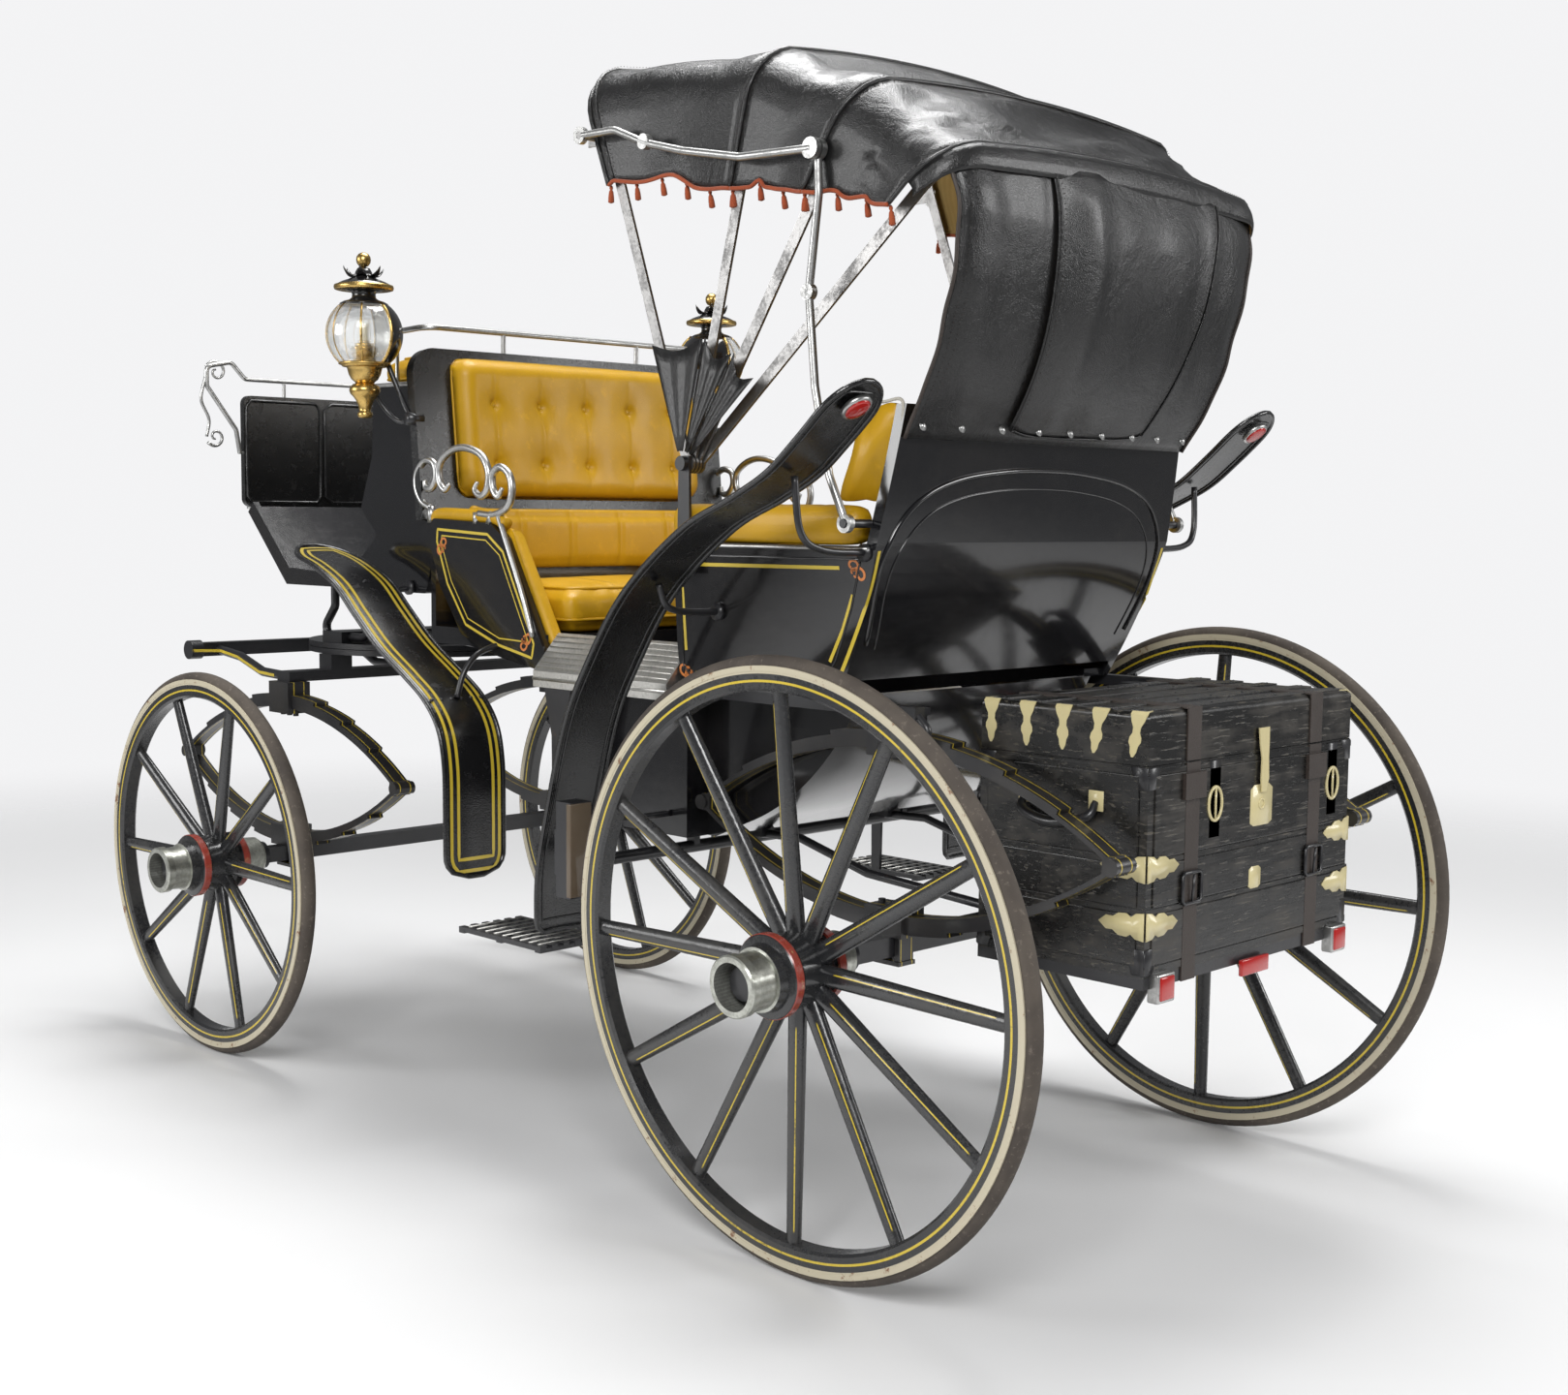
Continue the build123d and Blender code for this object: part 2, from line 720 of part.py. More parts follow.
# Driver's box, open to the front under the seat
box_outline = [
    (boot_rear_x, 1235),
    (boot_rear_x, front_frame_low_z - 4),
    (boot_rear_x + 27, front_frame_low_z - 4),
    (boot_rear_x + 40, 1480),
    (boot_rear_x + 57, driver_seat_z),
    (rear_axle_x + 1630, driver_seat_z),
    (rear_axle_x + 1637, 1490),
    (rear_axle_x + 1688, 1363),
    (rear_axle_x + 1618, 1300),
    (rear_axle_x + 1690, 1245),
    (rear_axle_x + 1690, boot_floor_z),
    (rear_axle_x + 1420, boot_floor_z),
]
with BuildPart() as driver_box:
    add(plate(box_outline, driver_half - panel, driver_half, 9))
    mirror(about=Plane.XZ)
    span = driver_half - panel
    add(plate([(boot_rear_x, 1235), (boot_rear_x, front_frame_low_z - 4),
               (boot_rear_x + 18, front_frame_low_z - 4),
               (boot_rear_x + 18, 1242), (rear_axle_x + 1432, boot_floor_z + 18),
               (rear_axle_x + 1690, boot_floor_z + 18), (rear_axle_x + 1690, boot_floor_z),
               (rear_axle_x + 1420, boot_floor_z)], -span, span))
    add(plate([(boot_rear_x + 62, driver_seat_z), (rear_axle_x + 1640, driver_seat_z),
               (rear_axle_x + 1640, driver_seat_z - 18), (boot_rear_x + 59, driver_seat_z - 18)],
              -span - 4, span + 4))
    back_slab = [
        (boot_rear_x + 34, front_frame_low_z + 4),
        (boot_rear_x + 72, driver_seat_z - 10),
        (boot_rear_x + 88, driver_seat_z - 10),
        (boot_rear_x + 50, front_frame_low_z + 4),
    ]
    add(plate(back_slab, -span, span))
    add(plate([(boot_rear_x, front_frame_low_z - 18), (boot_rear_x, front_frame_low_z - 4),
               (boot_rear_x + 26, front_frame_low_z - 4), (boot_rear_x + 30, front_frame_low_z + 6),
               (boot_rear_x + 56, front_frame_low_z + 6), (boot_rear_x + 56, front_frame_low_z - 18)],
              -span, span))
keep(driver_box, "driver_box")

with BuildPart() as driver_cushion:
    add(cushion(boot_rear_x + 70, rear_axle_x + 1662, 404, driver_seat_z + soft_gap, driver_seat_z + 88, 24))
keep(driver_cushion, "driver_cushion")

# Footboard: level floor and the slanting toe board with its side rims
with BuildPart() as footboard:
    floor_run = [
        (rear_axle_x + 1691, boot_floor_z),
        (floor_front_x, boot_floor_z),
        (toe_top_x, toe_top_z),
        (toe_top_x - 14, toe_top_z + 14),
        (floor_front_x - 8, boot_floor_z + floor_board),
        (rear_axle_x + 1691, boot_floor_z + floor_board),
    ]
    add(plate(floor_run, -floor_half, floor_half))
    rim = [
        (rear_axle_x + 1740, boot_floor_z),
        (floor_front_x, boot_floor_z),
        (toe_top_x, toe_top_z),
        (toe_top_x - 26, toe_top_z + 26),
        (floor_front_x - 14, boot_floor_z + floor_board + 22),
        (rear_axle_x + 1740, boot_floor_z + floor_board + 4),
    ]
    add(plate(rim, floor_half - 2, floor_half + 14))
    add(plate(rim, -floor_half - 14, -floor_half + 2))
keep(footboard, "footboard")

# Dashboard: framed leather panel with a divider, standing on the toe board
with BuildPart() as dashboard:
    with BuildSketch(Plane.YZ.offset(dash_x - 9)):
        with Locations((0, (dash_bottom_z + dash_top_z) / 2)):
            RectangleRounded(2 * dash_half, dash_top_z - dash_bottom_z, 22)
    extrude(amount=18)
    with BuildSketch(Plane.YZ.offset(dash_x - 3)):
        with Locations((0, (dash_bottom_z + dash_top_z) / 2)):
            RectangleRounded(2 * (dash_half - dash_frame), dash_top_z - dash_bottom_z - 2 * dash_frame, 10)
    extrude(amount=20, mode=Mode.SUBTRACT)
    for y in (-190, 190):
        add(block(dash_x, y, (dash_bottom_z + dash_top_z) / 2, (16, 20, dash_top_z - dash_bottom_z - 20)))
    face = dash_x + 9
    strap_points = [
        (face, dash_bottom_z + 40),
        (face + 7, dash_bottom_z + 40),
        (face + 7, dash_bottom_z - 2),
        (toe_top_x - 22, toe_top_z - 30),
        (toe_top_x - 26, toe_top_z - 26),
        (toe_top_x, toe_top_z),
        (face, toe_top_z + 13),
    ]
    for y in (-360, 0, 360):
        add(plate(strap_points, y - 14, y + 14))
keep(dashboard, "dashboard")

with BuildPart() as dash_rail:
    top_z = dash_top_z + 42
    rail = [
        (dash_x, -dash_half - 8, dash_top_z - 150),
        (dash_x, -dash_half - 18, dash_top_z - 90),
        (dash_x, -dash_half - 100, dash_top_z + 20),
        (dash_x, -dash_half - 100, dash_top_z + 70),
        (dash_x, -dash_half - 30, dash_top_z + 84),
        (dash_x, -dash_half + 10, top_z),
        (dash_x, dash_half - 10, top_z),
        (dash_x, dash_half + 30, dash_top_z + 84),
        (dash_x, dash_half + 100, dash_top_z + 70),
        (dash_x, dash_half + 100, dash_top_z + 20),
        (dash_x, dash_half + 18, dash_top_z - 90),
        (dash_x, dash_half + 8, dash_top_z - 150),
    ]
    add(rod(rail, 12, 18))
    for y in (-300, 0, 300):
        add(disc(dash_x, y, (dash_top_z + top_z) / 2, 4.5, top_z - dash_top_z, (0, 0, 1)))
    for side in (-1, 1):
        add(disc(dash_x, side * (dash_half + 6), dash_top_z - 148, 4.5, 12, (0, 1, 0)))
keep(dash_rail, "dash_rail")

with BuildPart() as driver_rail:
    rail_x = boot_rear_x + 54
    rail_z = front_frame_top_z + 50
    add(rod([(rail_x + 130, -420, rail_z - 6), (rail_x, -420, rail_z), (rail_x, 420, rail_z),
             (rail_x + 130, 420, rail_z - 6)], 14, 40))
    for y in (-220, 200):
        add(disc(rail_x, y, (front_frame_top_z + rail_z) / 2, 5.5, rail_z - front_frame_top_z, (0, 0, 1)))
    for side in (-1, 1):
        post = rail_z - driver_seat_z
        add(disc(rail_x + 121, side * 420, driver_seat_z + (post - 6) / 2, 5, post - 6, (0, 0, 1)))
keep(driver_rail, "driver_rail")

# Scroll arms of the front seat
with BuildPart() as arm_scrolls:
    scroll = [
        (rear_axle_x + 1060, 468, 1335),
        (rear_axle_x + 1048, 468, 1410),
        (rear_axle_x + 1062, 468, 1490),
        (rear_axle_x + 1190, 468, 1502),
        (rear_axle_x + 1330, 468, 1496),
        (rear_axle_x + 1392, 468, 1486),
    ]
    add(both_sides(rod(scroll, 16, 30)))
    scroll_foot = block(rear_axle_x + 1060, 463, 1337, (30, 22, 10))
    add(both_sides(scroll_foot))
keep(arm_scrolls, "arm_scrolls")


# Lamps: a shade, a metal shell on the inner rear half, a glass on the outer front half, cup and tail
lamp_x = rear_axle_x + 1520
lamp_y = 545
lamp_z = 1762
globe_radius = 88.0
globe_half_height = 72.0
lamp_wall = 2.5
glass_turn = 45.0


def globe_shell(start, sweep_angle, reach):
    """Part of the globe as a thin shell about the lamp's upright axis."""
    with BuildPart() as shell:
        with BuildSketch(Plane.XZ):
            with BuildLine():
                top = (34, reach)
                foot = (27, -reach)
                ThreePointArc(top, (globe_radius, 0), foot)
                Line(foot, (27 - lamp_wall, -reach))
                ThreePointArc((27 - lamp_wall, -reach), (globe_radius - lamp_wall, 0), (34 - lamp_wall, reach))
                Line((34 - lamp_wall, reach), top)
            make_face()
        revolve(axis=Axis.Z, revolution_arc=sweep_angle)
    return shell.part.rotate(Axis.Z, start)


with BuildPart() as lamp:
    add(globe_shell(glass_turn + 91, 178, globe_half_height + 1))
    with BuildSketch(Plane.XZ):
        with BuildLine():
            Polyline(
                (0, globe_half_height + 10), (28, globe_half_height + 10), (28, globe_half_height),
                (38, globe_half_height), (44, globe_half_height + 8), (40, globe_half_height + 22),
                (68, globe_half_height + 32), (68, globe_half_height + 38), (30, globe_half_height + 46),
                (22, globe_half_height + 66), (8, globe_half_height + 74), (0, globe_half_height + 74),
                close=True,
            )
        make_face()
    revolve(axis=Axis.Z)
    with Locations((0, 0, globe_half_height + 84)):
        Sphere(15)
    with BuildSketch(Plane.XZ):
        with BuildLine():
            base = -globe_half_height
            Polyline(
                (0, base + 8), (18, base + 8), (18, base), (34, base), (43, base - 22), (38, base - 40),
                (24, base - 50), (35, base - 64), (33, base - 78), (18, base - 92), (11, base - 112),
                (0, base - 116),
                close=True,
            )
        make_face()
    revolve(axis=Axis.Z)
    with Locations((0, 0, base + 40)):
        Cylinder(11, 70)

with BuildPart() as lamps:
    left = lamp.part.moved(Location((lamp_x, lamp_y, lamp_z)))
    boss_x = boot_rear_x + 33
    arm = rod([(lamp_x - 6, lamp_y - 10, lamp_z - globe_half_height - 70), (lamp_x - 14, lamp_y - 22, 1578),
               (boss_x + 24, 496, 1572), (boss_x, 484, 1570)], 14, 12)
    boss = disc(boss_x, front_frame_half + 8, 1570, 15, 16, (0, 1, 0))
    add(both_sides(left + arm + boss))
keep(lamps, "lamps")

with BuildPart() as lamp_glass:
    glass = globe_shell(glass_turn - 89, 178, globe_half_height - 0.5).moved(Location((lamp_x, lamp_y, lamp_z)))
    add(both_sides(glass))
keep(lamp_glass, "lamp_glass")


# Fenders
def fender(points, y_inner, width, bend):
    """A thin plate bent along the points of the side view."""
    with BuildPart() as sheet:
        with BuildSketch(Plane.XZ.offset(-(y_inner + width))):
            with BuildLine():
                FilletPolyline(*points, radius=bend)
            trace(line_width=fender_plate)
        extrude(amount=width)
    return sheet.part


rear_rim_x = rear_axle_x + rear_wheel_diameter / 2
rear_fender_run = [
    (rear_rim_x + 132, 520),
    (rear_rim_x + 128, 640),
    (rear_rim_x + 95, 780),
    (rear_rim_x + 44, 945),
    (rear_rim_x - 15, 1050),
    (rear_axle_x + 432, 1200),
    (rear_axle_x + 272, 1318),
    (rear_axle_x + 120, 1392),
    (rear_axle_x + 10, 1440),
    (rear_axle_x - 60, 1505),
    (rear_axle_x - 120, 1552),
    (rear_axle_x - 188, 1570),
]
with BuildPart() as rear_fenders:
    sheet = fender(rear_fender_run, rear_fender_inner, rear_fender_width, 60)
    front_stay = rod([(rear_axle_x + 290, 474, 1240), (rear_axle_x + 290, 600, 1240),
                      (rear_axle_x + 290, 630, 1306)], 14, 16)
    rear_stay = rod([(rear_axle_x + 40, 460, 1268), (rear_axle_x + 40, 600, 1268),
                     (rear_axle_x + 40, 630, 1424)], 14, 16)
    low_stay = rod([(rear_rim_x + 40, well_half_width, 745), (rear_rim_x + 40, 500, 745),
                    (rear_rim_x + 104, 590, 745)], 14, 30)
    add(both_sides(sheet + front_stay + rear_stay + low_stay))
keep(rear_fenders, "rear_fenders")

front_fender_run = [
    (rear_axle_x + 1690, 1262),
    (rear_axle_x + 1560, 1246),
    (rear_axle_x + 1470, 1196),
    (rear_axle_x + 1310, 1056),
    (rear_axle_x + 1165, 978),
    (rear_axle_x + 1060, 895),
    (rear_axle_x + 1054, 572),
]
with BuildPart() as front_fenders:
    sheet = fender(front_fender_run, front_fender_inner, front_fender_width, 60)
    tip_stay = rod([(rear_axle_x + 1600, driver_half, 1200), (rear_axle_x + 1600, 560, 1200),
                    (rear_axle_x + 1600, 580, 1251)], 12, 12)
    low_stay = rod([(well_front_x - 30, well_half_width, 800), (well_front_x - 30, 500, 800),
                    (rear_axle_x + 1055, 570, 800)], 12, 30)
    add(both_sides(sheet + tip_stay + low_stay))
keep(front_fenders, "front_fenders")

with BuildPart() as reflectors:
    for side in (-1, 1):
        add(disc(rear_axle_x - 146, side * 683, 1530, 22, 14, (-0.9, 0, -0.44)))
        add(disc(trunk_rear_x - 14, side * 292, trunk_bottom_z - 26, 18, 18, (1, 0, 0)))
    add(block(trunk_rear_x - 10, 0, trunk_bottom_z - 26, (6, 90, 30)))
keep(reflectors, "reflectors")

# Steps: a slatted plate each side on a tapering hanger from the sill
with BuildPart() as steps:
    pitch = (step_width - 16) / (step_bars - 1)
    for k in range(step_bars):
        add(block(step_x, step_inner + 8 + k * pitch, step_z - 5, (step_length, 15, 10)))
    for end in (-1, 0, 1):
        add(block(step_x + end * (step_length / 2 - 10), step_inner + step_width / 2, step_z - 9,
                  (18, step_width, 8)))
    with BuildSketch(Plane.XZ.offset(-(step_inner + 9))):
        with BuildLine():
            Polyline(
                (step_x - 44, sill_z - 31), (step_x + 44, sill_z - 31), (step_x + 20, sill_z - 130),
                (step_x + 13, step_z - 6), (step_x - 13, step_z - 6), (step_x - 20, sill_z - 130), close=True,
            )
        make_face()
    extrude(amount=9)
    step_arm = step_inner + 5 - well_half_width
    add(block(step_x, well_half_width + step_arm / 2, sill_z - 44, (60, step_arm, 24)))
    mirror(about=Plane.XZ)
keep(steps, "steps")

# Body irons: pump handles over the rear springs, stays from the turntable to the boot and to the front body
with BuildPart() as body_irons:
    handle_z = (handle_bottom_z + sill_z) / 2
    handle = block(rear_axle_x + 195, 440, handle_z, (570, 26, sill_z - handle_bottom_z))
    toe = block(rear_axle_x - 4, 408, handle_bottom_z + 7, (100, 78, 14))
    rear_stay = rod([(rear_axle_x - 78, 440, handle_z), (rear_axle_x - 112, 440, handle_z - 30),
                     (rear_axle_x - 100, 440, handle_z - 66), (rear_axle_x - 66, 440, handle_z - 60)], 16, 18)
    front_plate = turntable_z + turntable_plate
    stay_z = front_plate + 17
    boot_stay = rod([(front_axle_x - 45, 280, stay_z), (front_axle_x - 110, 280, stay_z),
                     (front_axle_x - 170, 280, boot_floor_z - 50), (front_axle_x - 170, 280, boot_floor_z)],
                    22, 34)
    toe_stay = rod([(front_axle_x + 45, 280, stay_z), (front_axle_x + 100, 280, stay_z),
                    (front_axle_x + 30, 280, boot_floor_z - 60), (front_axle_x + 30, 280, boot_floor_z)], 22, 22)
    body_stay = rod([(front_axle_x - 45, 220, stay_z), (front_axle_x - 100, 220, stay_z),
                     (rear_axle_x + 1700, 220, 1048),
                     (rear_axle_x + 1500, 220, 1034), (rear_axle_x + 1330, 220, 1030),
                     (rear_axle_x + 1330, 220, 1056)], 22, 20)
    add(both_sides(handle + toe + rear_stay + boot_stay + toe_stay + body_stay))
keep(body_irons, "body_irons")


# Turntable
def ring_plate(low_z):
    """A flat ring of the turntable."""
    with BuildPart(Plane(origin=(front_axle_x, 0, low_z + turntable_plate / 2))) as ring:
        Cylinder(turntable_radius + turntable_face / 2, turntable_plate)
        Cylinder(turntable_radius - turntable_face / 2, turntable_plate, mode=Mode.SUBTRACT)
    return ring.part


upper_z = turntable_z + turntable_gap
with BuildPart() as turntable_upper:
    add(ring_plate(upper_z))
    add(block(front_axle_x, 0, upper_z + turntable_plate / 2, (60, 2 * turntable_radius, turntable_plate)))
    add(block(front_axle_x, 0, upper_z + turntable_plate / 2, (2 * turntable_radius, 60, turntable_plate)))
    add(block(front_axle_x, 0, upper_z + turntable_plate + 14, (90, 2 * turntable_radius + 20, 30)))
    pin_low = bar_bottom_z - 16
    add(disc(front_axle_x, 0, (pin_low + upper_z) / 2, kingpin_radius, upper_z - pin_low + 4, (0, 0, 1)))
keep(turntable_upper, "turntable_upper")

lower_z = turntable_z - turntable_plate
with BuildPart() as turntable_lower:
    add(ring_plate(lower_z))
    cross_z = lower_z + turntable_plate / 2 - 1
    add(block(front_axle_x, 0, cross_z, (2 * turntable_radius, 56, turntable_plate - 2)))
    add(block(front_axle_x, 0, cross_z, (56, 2 * turntable_radius, turntable_plate - 2)))
    hole = kingpin_radius + kingpin_clearance
    with Locations((front_axle_x, 0, turntable_z)):
        Cylinder(hole, 200, mode=Mode.SUBTRACT)
keep(turntable_lower, "turntable_lower")

# Spring bar: the cross bar on the springs, its swan necks and the splinter bar with the draught bolt holes
bar_z = bar_bottom_z + bar_depth / 2
with BuildPart() as spring_bar:
    add(block(front_axle_x, 0, bar_z, (58, 2 * bar_half, bar_depth)))
    riser = lower_z - bar_bottom_z - bar_depth
    for y in (-turntable_radius, 0, turntable_radius):
        add(block(front_axle_x, y, bar_bottom_z + bar_depth + riser / 2, (58, 62, riser)))
    with Locations((front_axle_x, 0, turntable_z)):
        Cylinder(kingpin_radius + kingpin_clearance, 300, mode=Mode.SUBTRACT)
    neck = rod([(front_axle_x + 10, bar_half - 13, bar_z), (front_axle_x + 120, bar_half - 13, bar_z + 4),
                (front_axle_x + 230, bar_half - 13, splinter_z - 14), (splinter_x, bar_half - 13, splinter_z)],
               24, 40)
    add(both_sides(neck))
    add(block(splinter_x, 0, splinter_z, (splinter_size, 2 * splinter_half, splinter_size)))
    for side in (-1, 1):
        add(disc(splinter_x, side * (splinter_half - 14), splinter_z, splinter_size / 2 + 7, 34, (0, 1, 0)))
    centre_stay = rod([(front_axle_x + 20, 0, bar_z), (front_axle_x + 270, 0, bar_z),
                       (splinter_x, 0, splinter_z - 12)], 24, 60)
    add(centre_stay)
    with Locations(*[(splinter_x, side * draught_bolt_y, splinter_z) for side in (-1, 1)]):
        Cylinder(draught_bolt_radius, 120, mode=Mode.SUBTRACT)
keep(spring_bar, "spring_bar")

# Brake gear: cross bar under the body and a shoe ahead of each rear wheel
with BuildPart() as brake_gear:
    shoe_x = rear_rim_x + shoe_gap + shoe_thickness / 2
    brake_x = shoe_x + 30
    add(disc(brake_x, 0, 662, 13, 2 * 690, (0, 1, 0)))
    shoe = block(shoe_x, 678, 700, (shoe_thickness, 52, 190))
    shoe_arm = block(brake_x, 678, 690, (22, 30, 90))
    hanger = block(brake_x, 330, 682, (24, 16, 2 * (well_floor_z - 682)))
    add(both_sides(shoe + shoe_arm + hanger))
keep(brake_gear, "brake_gear")

# Trunk
trunk_x = trunk_rear_x + trunk_depth / 2
with BuildPart() as trunk_box:
    height = trunk_parting_z - trunk_bottom_z
    add(block(trunk_x, 0, trunk_bottom_z + height / 2, (trunk_depth, 2 * trunk_half, height)))
    with Locations((trunk_x, 0, trunk_bottom_z + trunk_wall + height / 2)):
        Box(trunk_depth - 2 * trunk_wall, 2 * (trunk_half - trunk_wall), height, mode=Mode.SUBTRACT)
keep(trunk_box, "trunk_box")

with BuildPart() as trunk_lid:
    lid_low = trunk_parting_z + lid_gap
    height = trunk_top_z - lid_low
    add(block(trunk_x, 0, lid_low + height / 2, (trunk_depth, 2 * trunk_half, height)))
    edges = trunk_lid.edges().group_by(Axis.Z)[-1]
    fillet(edges, radius=12)
    with Locations((trunk_x, 0, lid_low - trunk_wall + height / 2)):
        Box(trunk_depth - 2 * trunk_wall, 2 * (trunk_half - trunk_wall), height, mode=Mode.SUBTRACT)
keep(trunk_lid, "trunk_lid")

strap_low = trunk_parting_z - 1.5
with BuildPart() as trunk_straps:
    for y in (-strap_y, strap_y):
        rear = trunk_rear_x - strap / 2
        front = trunk_rear_x + trunk_depth + strap / 2
        high = strap_low - trunk_bottom_z + rack_depth + 1
        mid = (strap_low + trunk_bottom_z - rack_depth - 1) / 2
        add(block(rear, y, mid, (strap, strap_width, high)))
        add(block(rear - 4, y, trunk_parting_z - 42, (8, strap_width + 22, 46)))
keep(trunk_straps, "trunk_straps")

with BuildPart() as lid_straps:
    for y in (-strap_y, strap_y):
        high = trunk_top_z + strap - lid_low - 1
        add(block(trunk_x, y, trunk_top_z + strap / 2, (trunk_depth + 2 * strap, strap_width, strap)))
        add(block(rear, y, lid_low + 1 + high / 2, (strap, strap_width, high)))
        add(block(front, y, lid_low + 1 + high / 2, (strap, strap_width, high)))
keep(lid_straps, "lid_straps")

with BuildPart() as luggage_rack:
    rack_z = trunk_bottom_z - rack_depth / 2
    rack_front = trunk_rear_x + trunk_depth
    for x in (trunk_rear_x + 14, rack_front - 14):
        add(block(x, 0, rack_z, (28, 2 * trunk_half, rack_depth)))
    for y in (-trunk_half + 15, -130, 130, trunk_half - 15):
        add(block(trunk_x, y, rack_z, (trunk_depth, 30, rack_depth)))
    over_z = rear_bed_z + axle_size / 2 + 34
    for y in (-200, 200):
        add(rod([(rack_front - 20, y, rack_z + 1), (rear_axle_x - 90, y, rack_z + 1),
                 (rear_axle_x - 50, y, over_z),
                 (rear_axle_x + 250, y, over_z + 20), (rear_axle_x + 440, y, 688),
                 (rear_axle_x + 560, y, 684)], 18, 20))
        add(block(rear_axle_x + 580, y, well_floor_z - 10, (90, 40, 20)))
keep(luggage_rack, "luggage_rack")

# Hood: name, angle from straight ahead, layer inwards, foot of the leather, crown distance, crown rise
bow_table = [
    ("bow_1", 70.0, 0, 598.0, 894.0, 34.0),
    ("bow_2", 104.5, 1, 528.0, 822.0, 22.0),
    ("bow_3", 123.5, 2, 582.0, 838.0, 20.0),
    ("bow_4", 140.3, 3, 690.0, 872.0, 20.0),
]


def bow_plane(angle):
    """The plane of a bow, with its Y away from the pivot."""
    turn = radians(angle)
    return Plane(origin=(pivot_x, 0, pivot_z), x_dir=(0, 1, 0), z_dir=(sin(turn), 0, -cos(turn)))


def arch_points(half, crown, rise, radius):
    """Leg top, shoulder middle and shoulder end of an arch, on the left side."""
    leg = crown - rise - radius
    corner = half - radius
    middle = (corner + radius * cos(radians(45)), leg + radius * sin(radians(45)))
    return (half, leg), middle, (corner, leg + radius)


for name, angle, layer, foot, crown, rise in bow_table:
    outer_y = hood_half - bow_gap - layer * bow_layer
    top = crown - leather - crown_gap
    with BuildPart() as bow:
        with BuildSketch(bow_plane(angle)):
            with BuildLine():
                for offset in (0, bow_thickness):
                    half = outer_y - offset
                    leg, middle, end = arch_points(half, top - offset, rise, shoulder_radius - offset)
                    Line((half, 0), leg)
                    ThreePointArc(leg, middle, end)
                    ThreePointArc(end, (0, top - offset), (-end[0], end[1]))
                    ThreePointArc((-leg[0], leg[1]), (-middle[0], middle[1]), (-end[0], end[1]))
                    Line((-leg[0], leg[1]), (-half, 0))
                Line((outer_y, 0), (outer_y - bow_thickness, 0))
                Line((-outer_y, 0), (-outer_y + bow_thickness, 0))
            make_face()
        extrude(amount=bow_width / 2, both=True)
        for side in (-1, 1):
            add(disc(pivot_x, side * (outer_y - bow_thickness / 2), pivot_z, 19, bow_thickness))
        pin_hole = disc(pivot_x, 0, pivot_z, 7.6, 2 * outer_y + 20)
        add(pin_hole, mode=Mode.SUBTRACT)
        if layer == 0:
            turn = radians(angle)
            for side in (-1, 1):
                ear = block((pivot_x + 715 * cos(turn) + knuckle_x) / 2 + 4, side * (outer_y - 2),
                            knuckle_z - 2, (76, 4, 26))
                add(ear)
                pin_length = upper_arm_y - outer_y + 10
                add(disc(knuckle_x, side * (outer_y - 4 + pin_length / 2), knuckle_z, 7, pin_length))
    keep(bow, f"hood_{name}")


def skin_section(angle, foot, crown, rise):
    """Closed outline of the leather across the hood in a bow's plane."""
    with BuildSketch(bow_plane(angle)) as section:
        with BuildLine():
            for offset in (0, leather):
                half = hood_half + leather - offset
                leg, middle, end = arch_points(half, crown - offset, rise, shoulder_radius + leather - offset)
                Line((half, foot), leg)
                ThreePointArc(leg, middle, end)
                ThreePointArc(end, (0, crown - offset), (-end[0], end[1]))
                ThreePointArc((-leg[0], leg[1]), (-middle[0], middle[1]), (-end[0], end[1]))
                Line((-leg[0], leg[1]), (-half, foot))
            Line((hood_half + leather, foot), (hood_half, foot))
            Line((-hood_half - leather, foot), (-hood_half, foot))
        make_face()
    return section.sketch


for k in range(3):
    front_name, front_angle, layer_a, front_foot, front_crown, front_rise = bow_table[k]
    rear_name, rear_angle, layer_b, rear_foot, rear_crown, rear_rise = bow_table[k + 1]
    with BuildPart() as bay:
        if k == 0:
            add(skin_section(front_angle - front_lip, front_foot, front_crown - lip_drop, front_rise))
        add(skin_section(front_angle, front_foot, front_crown, front_rise))
        add(skin_section(rear_angle - 0.06, rear_foot, rear_crown, rear_rise))
        loft(ruled=True)
        fan_y = hood_half - 2
        with BuildSketch(Plane.XZ.offset(-fan_y)):
            with BuildLine():
                rim = []
                for a in (front_angle, rear_angle - 0.4):
                    rim.append((pivot_x + fan_radius * cos(radians(a)), pivot_z + fan_radius * sin(radians(a))))
                    rim.append((pivot_x + 26 * cos(radians(a)), pivot_z + 26 * sin(radians(a))))
                Polyline(rim[0], rim[1], rim[3], rim[2], close=True)
            make_face()
        extrude(amount=2)
        with BuildSketch(Plane.XZ.offset(fan_y - 2)):
            with BuildLine():
                Polyline(rim[0], rim[1], rim[3], rim[2], close=True)
            make_face()
        extrude(amount=2)
    keep(bay, f"hood_leather_{k + 1}")

# Rear curtain, from the last bow down to the body's back
curtain_top = (pivot_x + 862 * cos(radians(140.3)), pivot_z + 862 * sin(radians(140.3)))
curtain_line = [
    (curtain_top[0] - 22, curtain_top[1]),
    (rear_axle_x - 207, 1895),
    (rear_axle_x - 176, 1750),
    (rear_axle_x - 128, 1620),
    (rear_axle_x - 58, 1500),
]
with BuildPart() as rear_curtain:
    with BuildSketch(Plane.XZ.offset(-442)):
        with BuildLine():
            FilletPolyline(*curtain_line, radius=90)
        trace(line_width=4)
    extrude(amount=884)
keep(rear_curtain, "rear_curtain")

